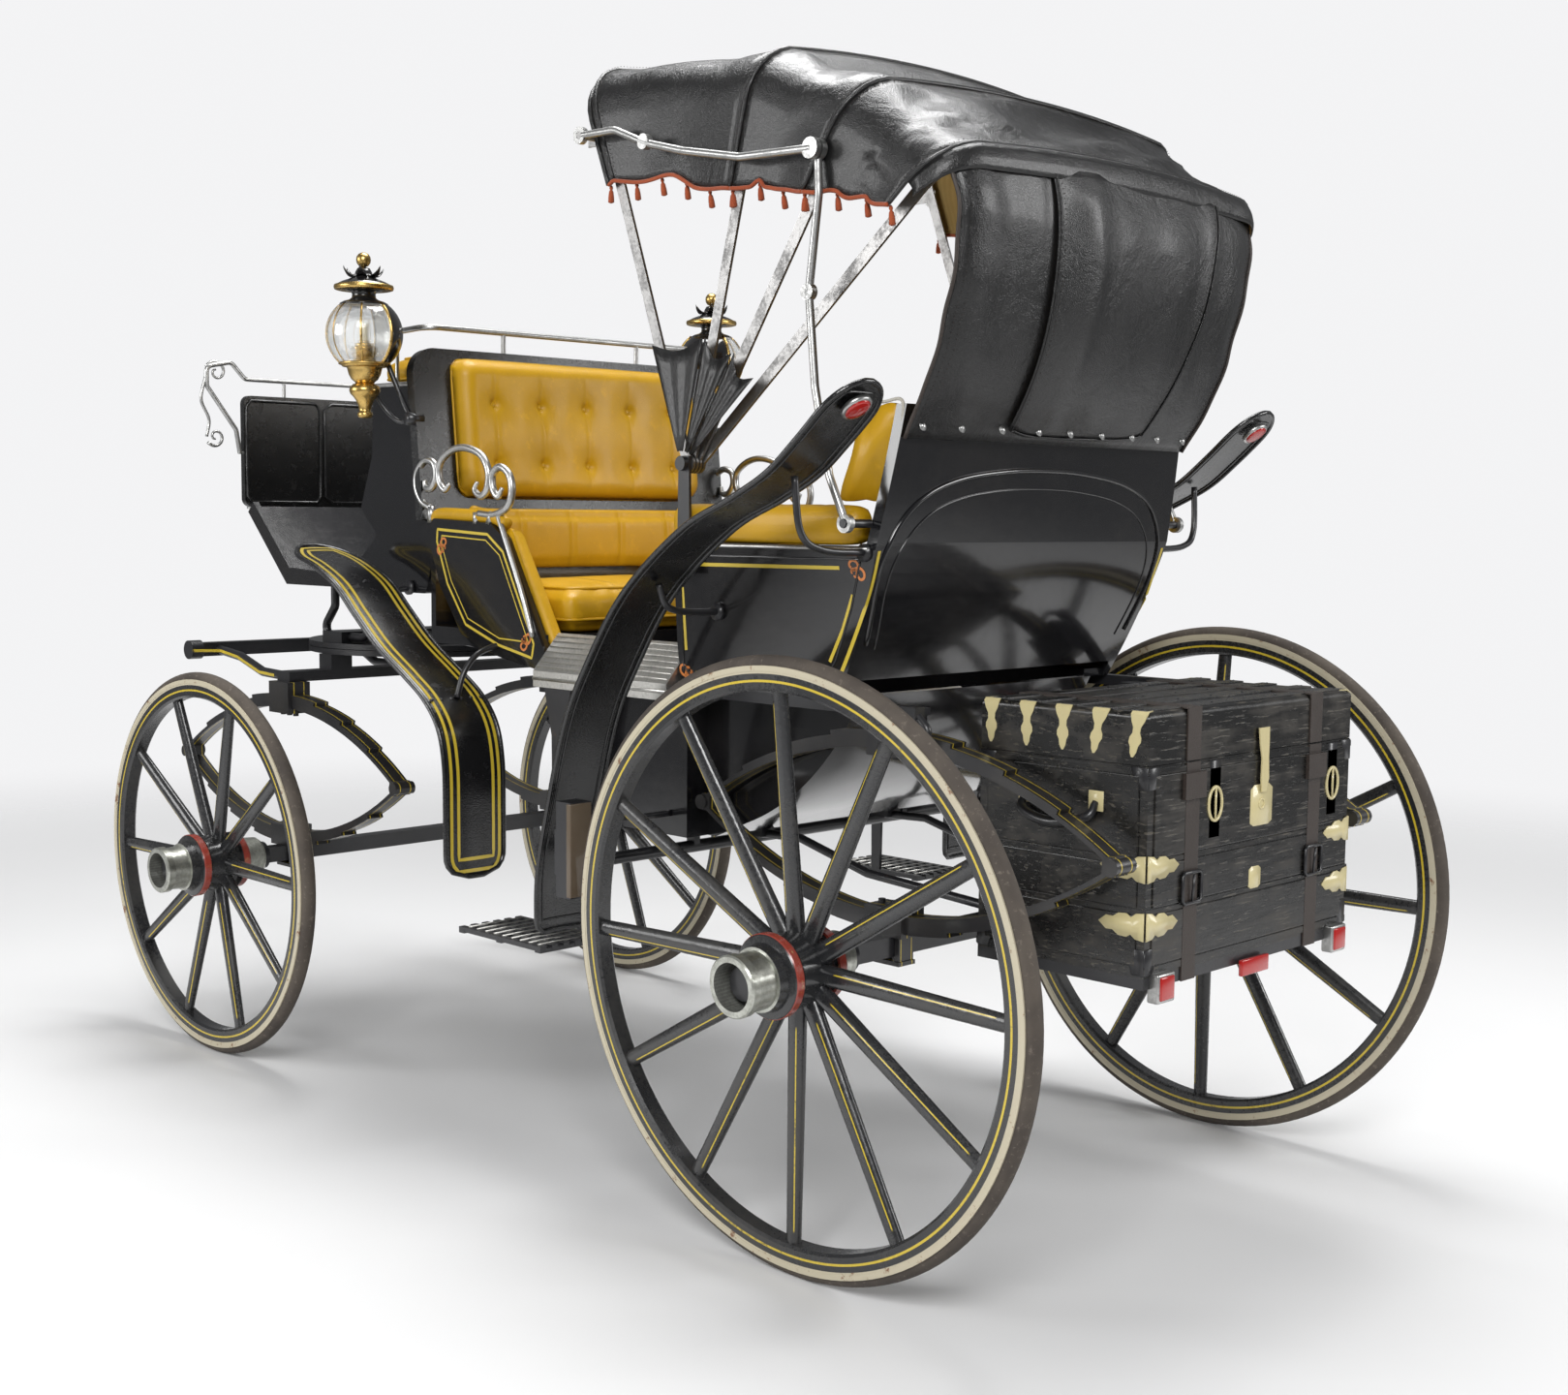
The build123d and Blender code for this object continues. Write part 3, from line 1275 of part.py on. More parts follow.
# Pivot brackets of the hood, with the pins that carry the bows
with BuildPart() as hood_brackets:
    for side in (-1, 1):
        with BuildSketch(Plane.XZ.offset(-side * 506.5)):
            with BuildLine():
                Polyline(
                    (pivot_x - 15, pivot_z + 15), (pivot_x + 15, pivot_z + 15), (pivot_x + 17, 1330),
                    (pivot_x + 30, 1240), (pivot_x - 30, 1240), (pivot_x - 17, 1330), close=True,
                )
            make_face()
        extrude(amount=side * 6)
        add(disc(pivot_x, side * 487, pivot_z, 7, 54))
        add(disc(pivot_x, side * 511, pivot_z, 14, 12))
        add(block(pivot_x, side * 497, 1262, (44, 9, 36)))
    pin_from = 459.5
    pin_to = lower_arm_y + 9
    for side in (-1, 1):
        add(disc(landau_foot_x, side * (pin_from + pin_to) / 2, landau_foot_z, 8, pin_to - pin_from))
keep(hood_brackets, "hood_brackets")

# Landau irons
with BuildPart() as landau_lower:
    run = [
        (landau_foot_x, lower_arm_y, landau_foot_z),
        (rear_axle_x + 62, lower_arm_y, 1430),
        (rear_axle_x + 100, lower_arm_y, 1590),
        (rear_axle_x + 118, lower_arm_y, 1760),
        (rear_axle_x + 96, lower_arm_y, 1932),
        (elbow_x, lower_arm_y, elbow_z),
    ]
    arm = rod(run, landau_rod, 50)
    eye = disc(landau_foot_x, lower_arm_y, landau_foot_z, 17, 12)
    hole = disc(landau_foot_x, lower_arm_y, landau_foot_z, 8.6, 40)
    knob = disc(rear_axle_x + 118, lower_arm_y, 1760, 15, 14)
    elbow = disc(elbow_x, lower_arm_y, elbow_z, 19, 12)
    add(both_sides((arm + eye + knob + elbow) - hole))
keep(landau_lower, "landau_lower")

with BuildPart() as landau_upper:
    run = [
        (knuckle_x, upper_arm_y, knuckle_z),
        (rear_axle_x + 640, upper_arm_y, knuckle_z - 2),
        (rear_axle_x + 550, upper_arm_y, knuckle_z - 38),
        (rear_axle_x + 440, upper_arm_y, knuckle_z - 66),
        (rear_axle_x + 283, upper_arm_y, knuckle_z - 96),
        (elbow_x, upper_arm_y, elbow_z),
    ]
    arm = rod(run, landau_rod, 60)
    eye = disc(knuckle_x, upper_arm_y, knuckle_z, 17, 12)
    hole = disc(knuckle_x, upper_arm_y, knuckle_z, 7.6, 40)
    knob = disc(rear_axle_x + 550, upper_arm_y, knuckle_z - 36, 15, 14)
    elbow = disc(elbow_x, upper_arm_y, elbow_z, 19, 12)
    add(both_sides((arm + eye + knob + elbow) - hole))
keep(landau_upper, "landau_upper")

whole = [shape.bounding_box() for shape in finished]
low_x = min(box.min.X for box in whole)
high_x = max(box.max.X for box in whole)
high_z = max(box.max.Z for box in whole)
low_z = min(box.min.Z for box in whole)
width = max(box.max.Y for box in whole)
print(f"pieces {len(finished)} x {low_x:.1f} {high_x:.1f} half width {width:.1f} z {low_z:.3f} {high_z:.1f}")
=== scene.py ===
from math import copysign, cos, exp, hypot, pi, radians, sin, sqrt

import bmesh
import bpy
from mathutils import Matrix, Vector, noise
from mathutils.bvhtree import BVHTree


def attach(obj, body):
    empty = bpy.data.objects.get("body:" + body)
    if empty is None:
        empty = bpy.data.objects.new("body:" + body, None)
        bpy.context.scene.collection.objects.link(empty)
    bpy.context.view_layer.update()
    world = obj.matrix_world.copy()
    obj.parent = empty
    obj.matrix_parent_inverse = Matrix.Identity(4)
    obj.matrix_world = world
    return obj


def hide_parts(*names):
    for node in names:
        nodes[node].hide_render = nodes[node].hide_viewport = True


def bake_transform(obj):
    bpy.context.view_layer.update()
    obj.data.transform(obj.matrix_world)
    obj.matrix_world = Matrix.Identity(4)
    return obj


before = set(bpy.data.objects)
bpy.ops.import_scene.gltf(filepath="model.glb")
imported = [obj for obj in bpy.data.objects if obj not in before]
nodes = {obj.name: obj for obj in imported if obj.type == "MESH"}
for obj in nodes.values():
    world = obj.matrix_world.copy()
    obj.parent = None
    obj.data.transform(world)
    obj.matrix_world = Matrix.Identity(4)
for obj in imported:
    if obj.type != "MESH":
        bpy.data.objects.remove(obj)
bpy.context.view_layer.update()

scene = bpy.context.scene

# shared places, in metres, the same as in the part's source
layout = {
    "rearAxleX": -1.0005,
    "wheelbase": 2.044,
    "rearTrack": 1.363,
    "frontTrack": 1.346,
    "rearCamber": 2.8,
    "frontCamber": 1.0,
    "rearWheel": 1.12,
    "frontWheel": 0.956,
    "pivotX": 0.47,
    "pivotZ": 1.457,
}


def fromAxle(x, y, z):
    # measured lengths count from the rear axle
    return Vector((layout["rearAxleX"] + x, y, z))


def sideRun(side, *spots):
    return [fromAxle(x, side * y, z) for x, y, z in spots]


bothSides = ((1, "Left"), (-1, "Right"))


# shader maths
class Field:
    def __init__(self, shade, socket):
        self.shade = shade
        self.socket = socket

    def math(self, operation, *others):
        return self.shade.node("ShaderNodeMath", {"operation": operation}, dict(enumerate((self, *others))))

    def __add__(self, other):
        return self.math("ADD", other)

    __radd__ = __add__

    def __sub__(self, other):
        return self.math("SUBTRACT", other)

    def __rsub__(self, other):
        return self.shade.node("ShaderNodeMath", {"operation": "SUBTRACT"}, {0: other, 1: self})

    def __mul__(self, other):
        return self.math("MULTIPLY", other)

    __rmul__ = __mul__

    def __truediv__(self, other):
        return self.math("DIVIDE", other)

    def __abs__(self):
        return self.math("ABSOLUTE")

    def above(self, edge, soft=0.001):
        # 0 below the edge, 1 above it, with a soft step
        return self.shade.node("ShaderNodeMapRange", {"interpolation_type": "SMOOTHSTEP"},
                               {"Value": self, "From Min": edge - soft, "From Max": edge + soft,
                                "To Min": 0.0, "To Max": 1.0})

    def near(self, centre, halfWidth, soft=0.0004):
        # 1 within halfWidth of the centre
        return 1 - abs(self - centre).above(halfWidth, soft)

    def larger(self, other):
        return self.math("MAXIMUM", other)


def wired(tree, *pairs):
    for source, target in pairs:
        tree.links.new(source, target)


class Shade:
    def __init__(self, name):
        self.material = bpy.data.materials.new(name)
        self.material.use_nodes = True
        self.tree = self.material.node_tree
        self.tree.nodes.clear()
        self.output = self.tree.nodes.new("ShaderNodeOutputMaterial")
        self.surface = self.tree.nodes.new("ShaderNodeBsdfPrincipled")
        self.tree.links.new(self.surface.outputs[0], self.output.inputs["Surface"])
        coords = self.tree.nodes.new("ShaderNodeTexCoord")
        self.place = Field(self, coords.outputs["Object"])
        split = self.tree.nodes.new("ShaderNodeSeparateXYZ")
        self.tree.links.new(coords.outputs["Object"], split.inputs[0])
        self.x, self.y, self.z = (Field(self, s) for s in split.outputs)

    def node(self, kind, settings=None, inputs=None, output=0):
        made = self.tree.nodes.new(kind)
        for key, value in (settings or {}).items():
            setattr(made, key, value)
        for key, value in (inputs or {}).items():
            self.put(made.inputs[key], value)
        return Field(self, made.outputs[output])

    def put(self, socket, value):
        if isinstance(value, Field):
            self.tree.links.new(value.socket, socket)
        elif isinstance(value, (tuple, list)) and len(value) == 3 and len(socket.default_value) == 4:
            socket.default_value = (*value, 1.0)
        else:
            socket.default_value = value

    def noise(self, scale, detail=4.0, roughness=0.55, place=None, distortion=0.0):
        return self.node("ShaderNodeTexNoise", {"noise_dimensions": "3D"},
                         {"Vector": place or self.place, "Scale": scale, "Detail": detail,
                          "Roughness": roughness, "Distortion": distortion})

    def stretched(self, scale):
        return self.node("ShaderNodeMapping", {"vector_type": "POINT"},
                         {"Vector": self.place, "Scale": scale})

    def cells(self, scale):
        return self.node("ShaderNodeTexVoronoi", {"feature": "F1"}, {"Vector": self.place, "Scale": scale})

    def mix(self, amount, first, second):
        made = self.tree.nodes.new("ShaderNodeMix")
        made.data_type = "RGBA"
        self.put(made.inputs[0], amount)
        self.put(made.inputs[6], first)
        self.put(made.inputs[7], second)
        return Field(self, made.outputs[2])

    def dot(self, vector, origin=(0, 0, 0)):
        shifted = self.node("ShaderNodeVectorMath", {"operation": "SUBTRACT"}, {0: self.place, 1: origin})
        return self.node("ShaderNodeVectorMath", {"operation": "DOT_PRODUCT"}, {0: shifted, 1: vector},
                         "Value")

    def bump(self, height, strength, distance):
        return self.node("ShaderNodeBump", None, {"Height": height, "Strength": strength,
                                                  "Distance": distance})

    def finish(self, **sockets):
        names = {
            "colour": "Base Color", "rough": "Roughness", "metal": "Metallic", "normal": "Normal",
            "coat": "Coat Weight", "coatRough": "Coat Roughness", "sheen": "Sheen Weight", "alpha": "Alpha",
            "specular": "Specular IOR Level", "transmission": "Transmission Weight", "ior": "IOR",
            "sheenRough": "Sheen Roughness", "emission": "Emission Color",
            "emissionStrength": "Emission Strength",
        }
        for key, value in sockets.items():
            self.put(self.surface.inputs[names[key]], value)
        return self.material


paints = {
    "coachBlack": (0.006, 0.006, 0.0072),
    "wheelGrey": (0.019, 0.0195, 0.021),
    "stripeYellow": (0.58, 0.43, 0.035),
    "hubRed": (0.3, 0.045, 0.03),
    "silver": (0.62, 0.61, 0.57),
    "cream": (0.5, 0.45, 0.33),
    "rust": (0.2, 0.09, 0.04),
    "dust": (0.2, 0.17, 0.13),
}


def coachPaint(name, colour, rough=0.11, dust=0.14):
    # gloss coach paint with faint ripple, fine scratches and settled dust
    s = Shade(name)
    cloud = s.noise(3.2, 5, 0.6)
    fine = s.noise(55, 3, 0.7)
    settled = (cloud * 0.7 + fine * 0.3).above(0.56, 0.16) * dust
    tone = s.mix(settled, colour, tuple(c * 0.7 + d * 0.25 for c, d in zip(colour, paints["dust"])))
    ripple = s.noise(26, 2, 0.4)
    grain = s.noise(240, 2, 0.6)
    return s.finish(colour=tone, rough=rough + settled * 0.35 + fine * 0.06,
                    normal=s.bump(ripple + grain * 0.1, 0.06, 0.004), coat=0.6, coatRough=0.08, specular=0.5)


def ironPaint(name, colour=(0.014, 0.014, 0.016), chips=0.25, rough=0.28):
    # brushed-on black paint over forged iron
    s = Shade(name)
    lumps = s.noise(34, 4, 0.6)
    fine = s.noise(190, 3, 0.7)
    worn = (s.noise(12, 5, 0.7) * 0.6 + fine * 0.4).above(0.64, 0.03) * chips
    tone = s.mix(worn, colour, paints["rust"])
    return s.finish(colour=tone, rough=rough + lumps * 0.18 + worn * 0.3,
                    normal=s.bump(lumps + fine * 0.25, 0.16, 0.003), coat=0.25, coatRough=0.15)


def plate(name, colour, rough, tarnish):
    # plated metal with tarnish in patches
    s = Shade(name)
    cloud = s.noise(18, 5, 0.65)
    fine = s.noise(160, 3, 0.6)
    dull = (cloud * 0.65 + fine * 0.35).above(0.55, 0.12) * tarnish
    tone = s.mix(dull, colour, tuple(c * 0.45 for c in colour))
    return s.finish(colour=tone, metal=1.0, rough=rough + dull * 0.3 + fine * 0.06,
                    normal=s.bump(fine, 0.05, 0.001))


def leatherSkin(name, colour, rough=0.42, grainSize=420, crease=0.5, gloss=0.0, deep=0.35, shine=0.5):
    # grained leather with soft creases
    s = Shade(name)
    pebble = s.cells(grainSize)
    folds = s.noise(9, 5, 0.62, distortion=0.6)
    cloud = s.noise(4, 4, 0.6)
    scuff = (s.noise(30, 5, 0.75)).above(0.62, 0.08)
    tone = s.mix(cloud.above(0.5, 0.25) * 0.55, colour, tuple(min(1.0, c * 1.5 + 0.002) for c in colour))
    tone = s.mix(scuff * 0.22, tone, tuple(min(1.0, c * 2.0 + 0.014) for c in colour))
    return s.finish(colour=tone, rough=rough + scuff * 0.15 + cloud * 0.08,
                    normal=s.bump(pebble * 0.25 + folds * 2.2 * crease, deep, 0.004), specular=shine,
                    coat=gloss, coatRough=0.18)


def wornBoards(name):
    # blackened boards rubbed brown, with scratches along them
    s = Shade(name)
    grain = s.noise(1.0, 4, 0.6, place=s.stretched((22, 5, 46)))
    cloud = s.noise(6, 5, 0.65)
    scratch = s.noise(1.0, 3, 0.7, place=s.stretched((60, 14, 240))).above(0.63, 0.03)
    rubbed = (cloud * 0.55 + grain * 0.45).above(0.55, 0.09)
    tone = s.mix(rubbed, (0.007, 0.0068, 0.0065), (0.03, 0.026, 0.021))
    tone = s.mix(scratch * 0.55, tone, (0.11, 0.095, 0.07))
    return s.finish(colour=tone, rough=0.26 + rubbed * 0.22 + scratch * 0.2,
                    normal=s.bump(grain * 0.5 + cloud * 1.1 - scratch * 0.3, 0.3, 0.004), coat=0.2,
                    coatRough=0.2)


def wovenCloth(name, colour, dark, rib=0.0, weave=900, sheen=0.35):
    # woven upholstery, with an optional ribbed stripe across
    s = Shade(name)
    warp = s.node("ShaderNodeTexWave", {"wave_type": "BANDS", "bands_direction": "Y", "wave_profile": "SIN"},
                  {"Vector": s.place, "Scale": weave * 0.32, "Distortion": 0.6, "Detail": 1.0})
    weft = s.node("ShaderNodeTexWave", {"wave_type": "BANDS", "bands_direction": "Z", "wave_profile": "SIN"},
                  {"Vector": s.place, "Scale": weave * 0.3, "Distortion": 0.6, "Detail": 1.0})
    cloud = s.noise(7, 5, 0.62)
    fibre = s.noise(600, 2, 0.6)
    threads = warp * 0.5 + weft * 0.5
    shadeAmount = cloud.above(0.5, 0.28) * 0.45 + threads * 0.3 + fibre * 0.18
    tone = s.mix(shadeAmount, colour, dark)
    height = threads + fibre * 0.5
    if rib:
        cord = s.node("ShaderNodeTexWave", {"wave_type": "BANDS", "bands_direction": "Y",
                                            "wave_profile": "SIN"},
                      {"Vector": s.place, "Scale": rib, "Distortion": 0.0})
        tone = s.mix(cord * 0.35, tone, dark)
        height = height + cord * 2.0
    return s.finish(colour=tone, rough=0.86, normal=s.bump(height, 0.35, 0.0015), sheen=sheen, sheenRough=0.4,
                    specular=0.25)


def rubberTyre(name):
    s = Shade(name)
    cloud = s.noise(6, 5, 0.6)
    fine = s.noise(90, 4, 0.7)
    grit = s.cells(500)
    tone = s.mix(cloud.above(0.5, 0.22), (0.055, 0.046, 0.04), (0.105, 0.088, 0.072))
    tone = s.mix(fine.above(0.63, 0.05) * 0.5, tone, (0.2, 0.17, 0.14))
    return s.finish(colour=tone, rough=0.82, normal=s.bump(fine + grit * 0.3, 0.25, 0.002), specular=0.3)


def glassClear(name):
    s = Shade(name)
    smear = s.noise(40, 3, 0.6)
    return s.finish(colour=(0.95, 0.97, 0.96), rough=0.03 + smear * 0.05, transmission=1.0, ior=1.45,
                    alpha=0.45, normal=s.bump(smear, 0.03, 0.001))


wheels = [
    {"name": f"{end}_{hand}", "side": side, "x": x, "end": end, "spokes": spokes}
    for end, x, spokes in (("rear", 0.0, 12), ("front", layout["wheelbase"], 10))
    for side, hand in ((1, "left"), (-1, "right"))
]

wheelLook = {
    "whiteFrom": 0.031,  # from the tread inwards
    "whiteTo": 0.0165,
    "yellowLine": 0.044,
    "yellowHalf": 0.0022,
    "spokeLine": 0.0085,
    "spokeLineHalf": 0.0011,
    "yellowTo": 0.0175,
    "spokeFrom": 0.105,
    "spokeTo": 0.085,  # from the tread inwards
    "hub": 0.0875,
    "redBand": (0.033, 0.051),
    "redFrom": 0.0705,
    "innerBand": (-0.0865, -0.0605),
    "innerFrom": 0.0655,
    "bore": (0.0285, 0.043),
    "boreFrom": 0.0915,
    "collarFrom": 0.0755,
    "innerCapTo": -0.0885,
}


def wheelFrame(w):
    tilt = radians(layout[w["end"] + "Camber"])
    radius = layout[w["end"] + "Wheel"] / 2
    out = Vector((0, w["side"] * cos(tilt), -sin(tilt)))
    centre = fromAxle(w["x"], w["side"] * layout[w["end"] + "Track"] / 2,
                      (radius - 0.018) * cos(tilt) + 0.018)
    return centre, out, radius


def wheelPaint(w):
    centre, out, radius = wheelFrame(w)
    first = Vector((1, 0, 0))
    second = out.cross(first)
    s = Shade("wheelPaint_" + w["name"])
    height = s.dot(out, centre)
    u = s.dot(first, centre)
    v = s.dot(second, centre)
    r = s.node("ShaderNodeMath", {"operation": "SQRT"}, {0: u * u + v * v})
    angle = v.math("ARCTAN2", u)
    pitch = 2 * pi / w["spokes"]
    turn = (angle / pitch + 0.5).math("FRACT") - 0.5
    across = r * (turn * pitch).math("SINE")
    cloud = s.noise(5, 5, 0.6)
    fine = s.noise(120, 4, 0.7)
    dusty = (cloud * 0.6 + fine * 0.4).above(0.54, 0.12)
    tone = s.mix(dusty * 0.45, paints["wheelGrey"], (0.06, 0.056, 0.05))
    look = wheelLook
    # worn cream on the steel channel
    wear = (s.noise(70, 5, 0.75) * 0.6 + s.noise(16, 3, 0.6) * 0.4).above(0.6, 0.04)
    white = r.above(radius - look["whiteFrom"], 0.0006) * abs(height).above(look["whiteTo"], 0.0006)
    creamTone = s.mix(wear, paints["cream"], paints["rust"])
    tone = s.mix(white, tone, creamTone)
    # yellow lines on the felloe and along each spoke
    ring = r.near(radius - look["yellowLine"], look["yellowHalf"])
    ring = ring * abs(height).above(look["yellowTo"], 0.0008)
    onSpoke = r.above(look["spokeFrom"], 0.004) * (1 - r.above(radius - look["spokeTo"], 0.004))
    onSpoke = onSpoke * (height + 0.03).above(0.0, 0.004)
    line = across.near(look["spokeLine"], look["spokeLineHalf"]) * onSpoke
    faded = 1 - (fine * 0.5 + cloud * 0.5).above(0.6, 0.05) * 0.7
    striped = ring.larger(line) * faded
    tone = s.mix(striped, tone, paints["stripeYellow"])
    # hub: red band, plated collar, grey inner cap, and painted shade in the bore
    hub = 1 - r.above(look["hub"], 0.0008)
    low, high = look["redBand"]
    band = hub * height.above(low, 0.0006) * (1 - height.above(high, 0.0006))
    band = band * r.above(look["redFrom"], 0.0008)
    low, high = look["innerBand"]
    innerBand = hub * (1 - height.above(high, 0.0006)) * height.above(low, 0.0006)
    innerBand = innerBand * r.above(look["innerFrom"], 0.0008)
    redTone = s.mix(wear * 0.8, paints["hubRed"], (0.42, 0.3, 0.14))
    tone = s.mix(band.larger(innerBand), tone, redTone)
    collar = hub * height.above(look["collarFrom"], 0.0006)
    inner = hub * (1 - height.above(look["innerCapTo"], 0.0006))
    plated = collar.larger(inner)
    worn = s.noise(60, 5, 0.7).above(0.5, 0.15)
    plateTone = s.mix(worn * 0.6, (0.52, 0.53, 0.48), (0.22, 0.22, 0.19))
    tone = s.mix(plated, tone, plateTone)
    # painted shade: the ring inside the hub's bore is painted near black and kept from being metal
    low, high = look["bore"]
    deep = hub * height.above(look["boreFrom"], 0.0004) * (1 - r.above(high, 0.0005)) * r.above(low, 0.0008)
    tone = s.mix(deep, tone, (0.01, 0.01, 0.01))
    return s.finish(colour=tone, metal=plated * (1 - deep) * 0.95,
                    rough=0.22 + dusty * 0.3 + white * 0.35 + plated * 0.1,
                    normal=s.bump(fine + cloud * 2, 0.08, 0.002), coat=0.35, coatRough=0.12)


def springPaint(name, springY):
    # black leaves with a yellow line along each edge
    s = Shade(name)
    fine = s.noise(150, 3, 0.7)
    cloud = s.noise(9, 4, 0.6)
    lineA = abs(s.y).near(springY + 0.0145, 0.0012)
    lineB = abs(s.y).near(springY - 0.0145, 0.0012)
    wear = 1 - (fine * 0.5 + cloud * 0.5).above(0.58, 0.05) * 0.8
    tone = s.mix(cloud.above(0.52, 0.2) * 0.4, (0.014, 0.014, 0.016), (0.045, 0.04, 0.034))
    tone = s.mix(lineA.larger(lineB) * wear, tone, paints["stripeYellow"])
    return s.finish(colour=tone, rough=0.3 + fine * 0.15, normal=s.bump(fine, 0.15, 0.002), coat=0.3,
                    coatRough=0.15)


looks = {
    "wornWood": coachPaint("wornBrakeWood", (0.085, 0.056, 0.03), 0.5, 0.9),
    "brassWorn": coachPaint("wornCream", (0.6, 0.52, 0.27), 0.38, 0.5),
    "coach": coachPaint("coachPaint", paints["coachBlack"]),
    "fender": leatherSkin("fenderPatent", (0.006, 0.006, 0.0065), 0.2, 260, 0.25, 0.5),
    "iron": ironPaint("blackIron"),
    "silver": plate("silverPlate", (0.5, 0.5, 0.49), 0.3, 0.6),
    "bowMetal": plate("bowMetal", (0.34, 0.335, 0.33), 0.38, 0.6),
    "gilt": plate("giltBrass", (0.62, 0.42, 0.14), 0.24, 0.4),
    "blackEnamel": coachPaint("blackEnamel", (0.01, 0.01, 0.011), 0.12, 0.2),
    "tread": plate("ribbedTread", (0.56, 0.55, 0.52), 0.34, 0.6),
    "tyre": rubberTyre("wornRubber"),
    "glass": glassClear("lampGlass"),
    "red": coachPaint("redLens", (0.42, 0.012, 0.01), 0.08, 0.1),
    "hood": leatherSkin("hoodLeather", (0.0062, 0.006, 0.006), 0.27, 520, 1.4, 0.26, 0.6),
    "patent": leatherSkin("patentLeather", (0.006, 0.006, 0.006), 0.22, 380, 0.5, 0.35),
    "trunkHide": wornBoards("trunkBoards"),
    "strap": leatherSkin("strapLeather", (0.03, 0.022, 0.018), 0.45, 480, 0.4),
    "yellowHide": leatherSkin("yellowHide", (0.44, 0.245, 0.006), 0.32, 620, 0.3, 0.12, 0.35, 0.32),
    "lining": wovenCloth("hoodLining", (0.4, 0.28, 0.1), (0.2, 0.13, 0.04)),
    "redTrim": wovenCloth("redTrim", (0.42, 0.1, 0.035), (0.22, 0.035, 0.015)),
    "stripe": coachPaint("stripeYellow", paints["stripeYellow"], 0.3, 0.3),
    "orange": coachPaint("scrollOrange", (0.55, 0.17, 0.03), 0.3, 0.2),
    "whitePiping": wovenCloth("whitePiping", (0.55, 0.53, 0.47), (0.35, 0.33, 0.28)),
    "candle": wovenCloth("candleWax", (0.72, 0.68, 0.55), (0.62, 0.56, 0.42)),
}

# lamp metal: black enamel above, bright brass on the cup and bulb below and on the finial
lampShade = Shade("lampMetal")
cloudy = lampShade.noise(30, 4, 0.6)
cupTop, finialFoot = 1.683, 1.898
brassy = 1 - lampShade.z.above(cupTop, 0.001) + lampShade.z.above(finialFoot, 0.001)
toneLamp = lampShade.mix(brassy, (0.008, 0.008, 0.009), (0.5, 0.34, 0.12))
toneLamp = lampShade.mix(cloudy.above(0.6, 0.1) * brassy * 0.5, toneLamp, (0.22, 0.14, 0.05))
looks["lampMetal"] = lampShade.finish(colour=toneLamp, rough=0.12 + brassy * 0.24 + cloudy * 0.06,
                                      metal=brassy * 0.9, normal=lampShade.bump(cloudy, 0.08, 0.001))

nodeLooks = {
    "iron": "rear_axle front_axle body_irons turntable_upper turntable_lower spring_bar brake_gear "
            "luggage_rack hood_brackets steps",
    "silver": "landau_lower landau_upper dash_rail driver_rail arm_scrolls",
    "coach": "rear_body footwell front_body driver_box footboard",
    "tread": "sill_treads",
    "patent": "front_back_frame dashboard",
    "lampMetal": "lamps",
    "glass": "lamp_glass",
    "fender": "rear_fenders front_fenders",
    "red": "reflectors",
    "trunkHide": "trunk_box trunk_lid",
    "strap": "trunk_straps lid_straps",
    "bowMetal": "hood_bow_1 hood_bow_2 hood_bow_3 hood_bow_4",
    "hood": "hood_leather_1 hood_leather_2 hood_leather_3 rear_curtain",
    "yellowHide": "rear_seat_cushion front_seat_cushion rear_back_pad arm_pads front_lower_pad "
                  "front_quilted_back driver_cushion",
}


def dress(obj, material):
    obj.data.materials.clear()
    obj.data.materials.append(material)


for look, names in nodeLooks.items():
    for name in names.split():
        dress(nodes[name], looks[look])
for w in wheels:
    dress(nodes["wheel_" + w["name"]], wheelPaint(w))
    dress(nodes["tyre_" + w["name"]], looks["tyre"])
dress(nodes["rear_springs"], springPaint("rearSpringPaint", 0.4))
dress(nodes["front_springs"], springPaint("frontSpringPaint", 0.438))
print("carried-over pieces dressed")


def facesOut(obj):
    mesh = bmesh.new()
    mesh.from_mesh(obj.data)
    bmesh.ops.recalc_face_normals(mesh, faces=mesh.faces)
    mesh.to_mesh(obj.data)
    mesh.free()
    return obj


slotLooks = {
    "black_iron": "iron wornWood",
    "silver_plate": "silver whitePiping",
    "hood_leather": "hood strap",
    "black_leather": "fender patent",
    "yellow_leather": "yellowHide redTrim",
    "body_paint": "stripe orange coach",
    "lamp_metal": "gilt brassWorn blackEnamel",
    "tread_metal": "tread",
    "trunk_leather": "trunkHide",
    "clear_glass": "glass",
    "red_lens": "red",
}
lookSlots = {look: slot for slot, group in slotLooks.items() for look in group.split()}


def fitted(obj, look, body, slot):
    # attaches a piece to the body that it rides; the finish slot that its look stands for, unless another is
    # named, is worked out but not used
    slot = slot or lookSlots.get(look)
    if body:
        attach(obj, body)
    return obj


def piece(name, points, faces, look, body="carriage", slot=None, solid=False, smooth=True):
    # a mesh of its own that rides a body; a solid one gets its faces turned outwards
    mesh = bpy.data.meshes.new(name)
    mesh.from_pydata([tuple(p) for p in points], [], faces)
    mesh.update()
    if smooth:
        mesh.polygons.foreach_set("use_smooth", [True] * len(mesh.polygons))
    obj = bpy.data.objects.new(name, mesh)
    scene.collection.objects.link(obj)
    obj.data.materials.append(looks[look])
    if solid:
        facesOut(obj)
    return fitted(obj, look, body, slot)


def settle(obj):
    # applies the modifiers, so that the finished mesh is plain
    graph = bpy.context.evaluated_depsgraph_get()
    baked = bpy.data.meshes.new_from_object(obj.evaluated_get(graph))
    obj.modifiers.clear()
    obj.data = baked
    return obj


